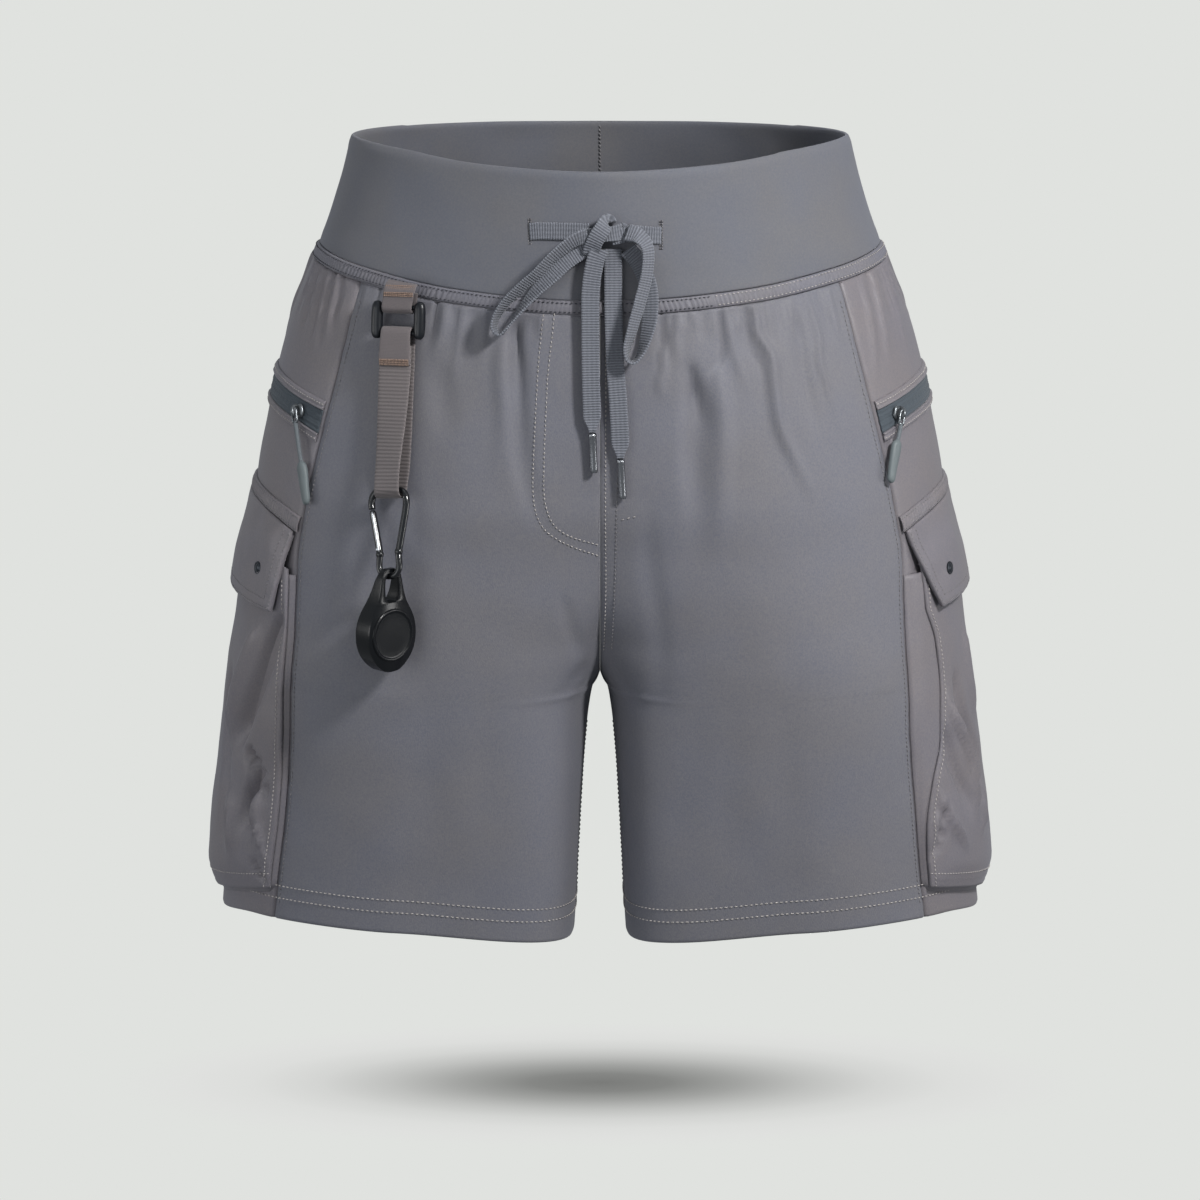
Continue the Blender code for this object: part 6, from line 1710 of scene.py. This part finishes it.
def pull_frame(half):
    q = PULLS[half]
    base, n = side_point(half, q["u"], q["z"] * MM, 0.0, folds=False)
    hinge = base + n * ((1.2 + BAR_H) * MM)
    end, ne = side_point(half, q["end_u"], q["end_z"] * MM, 0.0, folds=False)
    end = end + ne * 4.4 * MM
    down = end - hinge
    reach = np.linalg.norm(down)
    down /= reach
    axis = np.cross(down, n)
    axis /= np.linalg.norm(axis)
    out = np.cross(axis, down)
    out *= np.sign(out @ n)
    return hinge, axis, down, out, reach


def zip_pull(half, who):
    hinge, axis, down, out, reach = pull_frame(half)
    L = reach / MM

    def loc(a, d, h):
        return hinge + axis * (a * MM) + down * (d * MM) + out * ((h - BAR_H) * MM)
    # slider: a rounded plate, flared towards the top, with a domed bridge
    bag = Joined()
    nu, nv = 26, 12
    v = []
    for i in range(nv):
        th = math.pi / 2 * i / (nv - 1)
        for k in range(nu):
            a = 2 * math.pi * k / nu
            ca, sa = math.cos(a), math.sin(a)
            rr = (abs(ca) ** 3.4 + abs(sa) ** 3.4) ** (-1 / 3.4)
            wide = 4.0 + 0.5 * (-sa) * 0.6
            s = math.cos(th) ** 0.35
            v.append(loc(wide * rr * ca * s, 4.0 * rr * sa * s, 0.5 + 1.5 * math.sin(th)))
    f = [tuple(range(nu - 1, -1, -1))]
    _, q = grid_faces(nv, nu, closed=True)
    f += [tuple(x) for x in q] + [tuple(range((nv - 1) * nu, nv * nu))]
    bag.add(v, f)
    bridge = [(-3.3, 1.6), (-3.0, 3.2), (-2.0, 4.6), (-0.7, 5.4), (0.7, 5.4), (2.0, 4.6), (3.0, 3.2), (3.3, 1.6)]
    br = spline([(d, h, 0) for d, h in bridge], 26)
    bag.add(*tube_mesh([loc(0, d, h) for d, h, _ in br], 0.95 * MM, 10, up=axis))
    slider = bag.object("visual_slider_" + who, zip_metal)
    # link: a long wire loop through the bridge
    lk = rounded_box_route(1.9, 4.6, 1.85, 44)
    pts = [loc(a, 2.6 + d, BAR_H + 0.15 * math.sin(d)) for a, d in lk]
    link = Joined().add(*tube_mesh(pts, 0.72 * MM, 10, closed=True, up=out))
    link.add(*tube_mesh([loc(-1.6, 6.6, BAR_H), loc(1.6, 6.6, BAR_H)], 1.0 * MM, 10))
    link_ob = link.object("visual_link_" + who, zip_metal)
    grip_len = 24.0
    c0, c1 = 6.4, L - grip_len + 1.5
    bend = 1.0 if half < 0 else -1.6
    cord_pts = [loc(bend * 0.25 * math.sin(math.pi * k), c0 + (c1 - c0) * k, BAR_H) for k in np.linspace(0, 1, 16)]
    cord = Joined().add(*tube_mesh(cord_pts, 1.25 * MM, 12, up=out))
    cord_ob = cord.object("visual_pull_cord_" + who, pull_cord)
    # moulded grip, a little curved
    prof = [(-0.6, 1.4, 1.3), (0.0, 2.2, 1.7), (1.2, 3.0, 2.1), (3.0, 3.5, 2.25), (7, 3.55, 2.25), (12, 3.2, 2.15),
            (17, 2.9, 2.0), (21, 2.75, 1.9), (23.0, 2.3, 1.6), (24.0, 1.5, 1.0), (24.4, 0.5, 0.4)]
    pr = spline(prof, 48)
    v, m = [], 22
    for d, w, h in pr:
        w, h = max(w, 0.15), max(h, 0.12)
        shift = bend * 0.9 * ((max(d, 0) / grip_len) ** 2)
        for k in range(m):
            a = 2 * math.pi * k / m
            ca, sa = math.cos(a), math.sin(a)
            rr = (abs(ca) ** 2.5 + abs(sa) ** 2.5) ** (-1 / 2.5)
            v.append(loc(shift + w * rr * ca, L - grip_len + d, BAR_H + h * rr * sa))
    f = [tuple(range(m - 1, -1, -1))]
    _, q = grid_faces(len(pr), m, closed=True)
    f += [tuple(x) for x in q] + [tuple(range((len(pr) - 1) * m, len(pr) * m))]
    grip_ob = mesh_object("visual_grip_" + who, v, f, grip_rubber)
    for ob in (slider, link_ob, cord_ob, grip_ob):
        bm = bmesh.new()
        bm.from_mesh(ob.data)
        bmesh.ops.recalc_face_normals(bm, faces=bm.faces)
        bm.to_mesh(ob.data)
        bm.free()
    return slider, link_ob, cord_ob, grip_ob


# ------------------------------------------------------------------ putting the pieces on
def put(ob, body, node=None):
    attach(ob, body)
    if node:
        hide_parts(*([node] if isinstance(node, str) else node))
    return ob


stitches = {"light": Joined(), "mid": Joined(), "dark": Joined(), "tan": Joined()}

for half, who in ((-1, "right"), (1, "left")):
    face, edge_rows = pocket_face(half, who)
    put(face, "garment", "pocket_face_" + who)
    for key in ("front", "foot", "back"):
        stitch_row(stitches["light"], *edge_rows[key], pitch=2.6, long_=1.6, r=0.34)
    put(pocket_gusset(half, who), "garment", "pocket_gusset_" + who)
    flap, rows, shape = pocket_flap(half, who)
    put(flap, "garment", "pocket_flap_" + who)
    for pts, nn in rows:
        stitch_row(stitches["mid"], pts, nn, pitch=2.5, long_=1.6, r=0.3, lift=0.08)
    fb, rows = flap_band(half, who)
    put(fb, "garment", "pocket_flap_band_" + who)
    for pts, nn in rows:
        stitch_row(stitches["mid"], pts, nn, pitch=2.5, long_=1.5, r=0.28, lift=0.08)
    put(press_stud(half, who, shape), "garment", "pocket_snap_" + who)
    tape, up, lo, rows = side_zip(half, who)
    put(tape, "garment", "zip_tape_" + who)
    put(up, "garment", "zip_welt_upper_" + who)
    put(lo, "garment", "zip_welt_lower_" + who)
    for pts, nn in rows:
        stitch_row(stitches["light"], pts, nn, pitch=2.4, long_=1.5, r=0.3)
    slider, link, pcord, grip = zip_pull(half, who)
    put(slider, "garment", "zip_slider_" + who)
    swing = "zip_pull_" + who
    put(link, swing, "zip_link_" + who)
    put(pcord, swing, "zip_cord_" + who)
    put(grip, swing, "zip_grip_" + who)

tapes = drawstring()
for node, (ob, *_) in tapes.items():
    put(ob, "garment", node)
tip_obs = tips()
for who, ob in tip_obs.items():
    put(ob, "garment", "drawstring_tip_" + who)
put(bow_knot(), "garment", "bow_knot")

put(strap_ring(), "garment", "strap_ring")
hang, *_ = chain_tape("visual_hang_loop", loop_route(), webbing_plain)
put(hang, "garment", "hang_loop")
strap, *_ = chain_tape("visual_strap", strap_route(), webbing)
put(strap, "garment", "strap")
strap_end, *_ = chain_tape("visual_strap_end", strap_end_route(), webbing_plain)
put(strap_end, "garment", "strap")
car, gate, gate_strip = carabiner()
put(car, "carabiner", "carabiner_frame")
put(gate, "gate", "carabiner_gate")
put(gate_strip, "gate", None)
fob_case, fob_disc = fob()
put(fob_case, "fob", "fob_case")
put(fob_disc, "fob", "fob_disc")


# ------------------------------------------------------------------ seams and stitches
def front_line(rows, count=120, off=0.25, folds=True):
    """Points over a front panel along (x, z) rows in mm, on its folds."""
    r = spline([(a, b, 0) for a, b in rows], count)
    half = 1 if r[:, 0].mean() > 0 else -1
    t = angle_at(np.abs(r[:, 0]) * MM, r[:, 1] * MM)
    return cloth(half, t, r[:, 1] * MM, off * MM, folds)


def ring_line(z_of_t, off, lo=-180, hi=180, count=500):
    a = np.linspace(lo, hi, count)
    half = np.where(a < 0, -1.0, 1.0)
    t = np.radians(np.abs(a) - 90)
    return ring_points(half, t, z_of_t(t), off * MM)


# casing: two rows of small stitches all round; round the wearer's right half, to just past the front middle, they take
# the dark thread as painted shade on the side turned from the key light, and the pale thread on the rest
for s in (1.35, 6.3):
    p, n = ring_line(lambda t: edge_line("band", t) - GAP - s * MM, 1.25)
    # painted shade: the first 56 in 100 stitches, round the wearer's right, are drawn dark
    m = len(p) * 56 // 100
    stitch_row(stitches["dark"], p[:m], n[:m], pitch=2.6, long_=1.5, r=0.32, lift=0.12)
    stitch_row(stitches["light"], p[m:], n[m:], pitch=2.6, long_=1.3, r=0.30, lift=0.12)

# hem: two rows round each leg
for half in (-1, 1):
    for up in (13.0, 20.5):
        for lo, hi in ((-176, -3), (3, 176)):
            t = np.radians(np.linspace(lo, hi, 260))
            z = body_hem(t) + up * MM * (1 - 0.0 * t)
            flat_end = smooth((np.abs(t) - math.radians(120)) / math.radians(50))
            z = z + flat_end * 3.0 * MM
            p, n = cloth(half, t, z, 0.2 * MM)
            stitch_row(stitches["light"], p, n, pitch=2.9, long_=1.8, r=0.36)

# mock fly: the double J
stitch_row(stitches["light"], *front_line(((-30.9, -78.8), (-32.6, -93), (-34.8, -115), (-36.6, -148), (-37.5, -166.5),
                                           (-37.8, -183.7), (-36.1, -197), (-30.5, -207.5), (-18.1, -216),
                                           (-0.6, -223.5))), pitch=2.6, long_=1.5, r=0.33)
stitch_row(stitches["light"], *front_line(((-25.3, -78), (-26.4, -93), (-29.2, -117), (-30.4, -139.6),
                                           (-31.5, -166.4), (-31.6, -186), (-29.4, -197), (-24.9, -205.3),
                                           (-15.8, -211.4), (-0.6, -216.8))), pitch=2.6, long_=1.5, r=0.33)
stitch_row(stitches["light"], *front_line(((3.2, -80), (3.2, -150), (3.2, -200), (3.2, -250), (2.2, -284))),
           pitch=2.6, long_=1.5, r=0.32)
stitch_row(stitches["mid"], *front_line(((9.9, -171), (9.2, -210), (8.2, -248), (6.6, -282))), pitch=2.6, long_=1.5, r=0.32)
stitch_row(stitches["light"], *front_line(((11.3, -201.4), (16, -200), (21, -198.8)), 20), pitch=2.6, long_=1.5, r=0.32)
# centre back seam inside the waistband, side and inner leg topstitching
zb = np.linspace(-7.5, -66, 90) * MM
pb = skin(np.full(90, math.pi / 2), zb) + np.array([0, -1, 0]) * (3.55 * MM)
pb[:, 0] = 0.0
stitch_row(stitches["mid"], pb, np.repeat([[0.0, -1.0, 0.0]], 90, 0), pitch=2.3, long_=1.9, r=0.4, tilt=0.5)
for half in (-1, 1):
    zz = np.linspace(-84, -440, 260) * MM
    p, n = cloth(half, -(seam_angle(zz) + 3.4 / 115), zz, 0.15 * MM)
    stitch_row(stitches["mid"], p, n, pitch=2.7, long_=1.7, r=0.26)
    zi = np.linspace(-336, -440, 80) * MM
    p, n = cloth(half, np.full(80, math.radians(-160.0)), zi, 0.15 * MM)
    stitch_row(stitches["mid"], p, n, pitch=2.7, long_=1.7, r=0.26)
# waistband: buttonholes; the middle row in the dark thread is painted shade in the slit
for x, z0, z1 in ((-39.3, -31.3, -46.3), (34.2, -32.2, -48.9)):
    p, n = over_front(np.full(30, x), np.linspace(z0, z1, 30), 0.35)
    for dx in (-0.7, 0.0, 0.7):
        q, nn = over_front(np.full(30, x + dx), np.linspace(z0, z1, 30), 0.35)
        stitch_row(stitches["dark" if dx == 0 else "mid"], q, nn, pitch=1.5, long_=1.3, r=0.3)
# strap and hang loop: sewn bars
def tape_bar(bag, d, h, s0=0.0, pitch=1.2, half_w=9.2, r=0.3, long_=1.3, tilt=0.0):
    s = np.linspace(s0 - half_w, s0 + half_w, 30)
    pts = np.array([on_strap(a, d, h) for a in s])
    stitch_row(bag, pts, np.repeat(strap_out[None], 30, 0), pitch=pitch, long_=long_, r=r, lift=0.1, tilt=tilt)


bar = RING_H / 2 - 3.4
for k in range(3):
    tape_bar(stitches["tan"], -RING_H / 2 - 8.6 + 0.9 * k, 3.1 + 0.22 * k, 2.0, r=0.34)
    tape_bar(stitches["tan"], -RING_H / 2 - 4.6 + 0.9 * k, 4.25 - 0.02 * k, 1.4, r=0.34)
for k in range(3):
    tape_bar(stitches["tan"], bar + 15.4 + 1.2 * k, 4.35 - 0.28 * k, pitch=0.85, long_=1.5, r=0.3, tilt=1.35)

for key, mat in (("light", thread_light), ("mid", thread_mid), ("dark", painted_shade_thread), ("tan", thread_tan)):
    put(stitches[key].object("visual_stitches_" + key, mat), "garment")


# ------------------------------------------------------------------ looks for the CAD's cloth material slots
CAD_LOOKS = {
    "side_cloth": side_cloth, "shell_cloth": front_cloth, "band_cloth": band_knit,
}


# ------------------------------------------------------------------ stage, light and camera
def flat_light(name, colour, strength=1.0, painted_shadow=None):
    m = bpy.data.materials.new(name)
    m.use_nodes = True
    t = m.node_tree
    t.nodes.clear()
    out = t.nodes.new("ShaderNodeOutputMaterial")
    em = t.nodes.new("ShaderNodeEmission")
    em.inputs["Strength"].default_value = strength
    em.inputs["Color"].default_value = colour
    t.links.new(em.outputs[0], out.inputs["Surface"])
    # painted shadow: the glow's colour follows the stops by distance from the shadow's middle, darkest there
    if painted_shadow:
        (cx, cy), (rx, ry), stops = painted_shadow
        tc = t.nodes.new("ShaderNodeTexCoord")
        mp = t.nodes.new("ShaderNodeMapping")
        mp.inputs["Location"].default_value = (-cx / rx, -cy / ry, 0)
        mp.inputs["Scale"].default_value = (1 / rx, 1 / ry, 0)
        ln = t.nodes.new("ShaderNodeVectorMath")
        ln.operation = "LENGTH"
        ramp = t.nodes.new("ShaderNodeValToRGB")
        ramp.color_ramp.interpolation = "LINEAR"
        e = ramp.color_ramp.elements
        while len(e) < len(stops):
            e.new(0.5)
        for k, (pos, rgb) in enumerate(stops):
            e[k].position = pos
            e[k].color = rgb
        t.links.new(tc.outputs["Object"], mp.inputs["Vector"])
        t.links.new(mp.outputs["Vector"], ln.inputs[0])
        t.links.new(ln.outputs["Value"], ramp.inputs["Fac"])
        t.links.new(ramp.outputs["Color"], em.inputs["Color"])
    return m


PAPER = srgb(224, 226, 223)
FLOOR_Z = -0.561


def plane(name, corners, mat):
    ob = mesh_object(name, corners, [(0, 1, 2, 3)], mat, shade=False)
    return ob


# painted soft shadow under the garment: share of its radius, grey level
SHADE = ((0.0, 122), (0.143, 134), (0.286, 162.5), (0.43, 191.6), (0.571, 211), (0.714, 220.5), (0.857, 223.4))
floor_mat = flat_light("paper_floor", PAPER, 1.0, ((0.0, -0.026), (0.289, 0.125),
                       tuple((k, srgb(v, v + 1, v - 1)) for k, v in SHADE) + ((1.0, PAPER),)))
floor = plane("floor", [(-4, -3, FLOOR_Z), (4, -3, FLOOR_Z), (4, 3.0, FLOOR_Z), (-4, 3.0, FLOOR_Z)], floor_mat)
wall_mat = flat_light("paper_wall", PAPER)
wall = plane("backdrop", [(-4, 3.0, FLOOR_Z), (4, 3.0, FLOOR_Z), (4, 3.0, 3.0), (-4, 3.0, 3.0)], wall_mat)
for ob in (floor, wall):
    ob.visible_diffuse = False
    ob.visible_glossy = False
    ob.visible_shadow = False

scene = bpy.context.scene
scene.view_settings.view_transform = "Standard"
scene.view_settings.look = "None"
world = bpy.data.worlds.new("studio")
scene.world = world
world.use_nodes = True
# dim room light, brighter from above than from below
wt = world.node_tree
bg = wt.nodes["Background"]
tc = wt.nodes.new("ShaderNodeTexCoord")
sep = wt.nodes.new("ShaderNodeSeparateXYZ")
mr = wt.nodes.new("ShaderNodeMapRange")
mr.inputs["From Min"].default_value = -1.0
mr.inputs["From Max"].default_value = 1.0
sky = wt.nodes.new("ShaderNodeValToRGB")
e = sky.color_ramp.elements
SKY = ((-1.0, 0.28), (-0.15, 0.36), (0.05, 0.45), (0.4, 0.49), (1.0, 0.51))
while len(e) < len(SKY):
    e.new(0.5)
for k, (up, v) in enumerate(SKY):
    e[k].position = 0.5 + 0.5 * up
    e[k].color = (PAPER[0] * v * 0.95, PAPER[1] * v * 0.985, PAPER[2] * v * 1.07, 1)
wt.links.new(tc.outputs["Generated"], sep.inputs["Vector"])
wt.links.new(sep.outputs["Z"], mr.inputs["Value"])
wt.links.new(mr.outputs["Result"], sky.inputs["Fac"])
wt.links.new(sky.outputs["Color"], bg.inputs["Color"])
bg.inputs["Strength"].default_value = 1.0


def lamp(name, azimuth, elevation, distance, size, power, aim=(0, 0, -0.24), colour=(1, 1, 1)):
    """Soft round light; azimuth from straight ahead (+ to the image's right)."""
    a, e = math.radians(azimuth), math.radians(elevation)
    at = Vector(aim) + Vector((math.sin(a) * math.cos(e), -math.cos(a) * math.cos(e), math.sin(e))) * distance
    data = bpy.data.lights.new(name, "AREA")
    data.shape = "DISK"
    data.size = size
    data.energy = power
    data.color = colour
    ob = bpy.data.objects.new(name, data)
    ob.location = at
    ob.rotation_euler = (Vector(aim) - at).to_track_quat("-Z", "Y").to_euler()
    scene.collection.objects.link(ob)
    return ob


lamp("key", 38, 38, 1.7, 0.26, 27.0, aim=(0, 0, -0.27), colour=(1.0, 0.99, 0.98))
lamp("fill", -40, 6, 2.6, 1.6, 11.5, aim=(0, 0, -0.3), colour=(0.96, 0.98, 1.0))
lamp("right", 76, 4, 2.2, 0.7, 9.5, aim=(0.1, 0, -0.36), colour=(1.0, 0.99, 0.98))
lamp("left", -78, 6, 2.2, 0.7, 6.0, aim=(-0.1, 0, -0.34), colour=(1.0, 0.99, 0.98))
lamp("top", 4, 75, 2.2, 1.2, 3.5)

cam = bpy.data.cameras.new("camera")
cam.lens = 176.32
cam.sensor_width = 36.0
cam.clip_end = 30
camera = bpy.data.objects.new("camera", cam)
camera.location = (0.0, -3.36822, 0.47312)
camera.rotation_euler = (Vector((0, 0, -0.2736)) - camera.location).to_track_quat("-Z", "Y").to_euler()
scene.collection.objects.link(camera)
scene.camera = camera
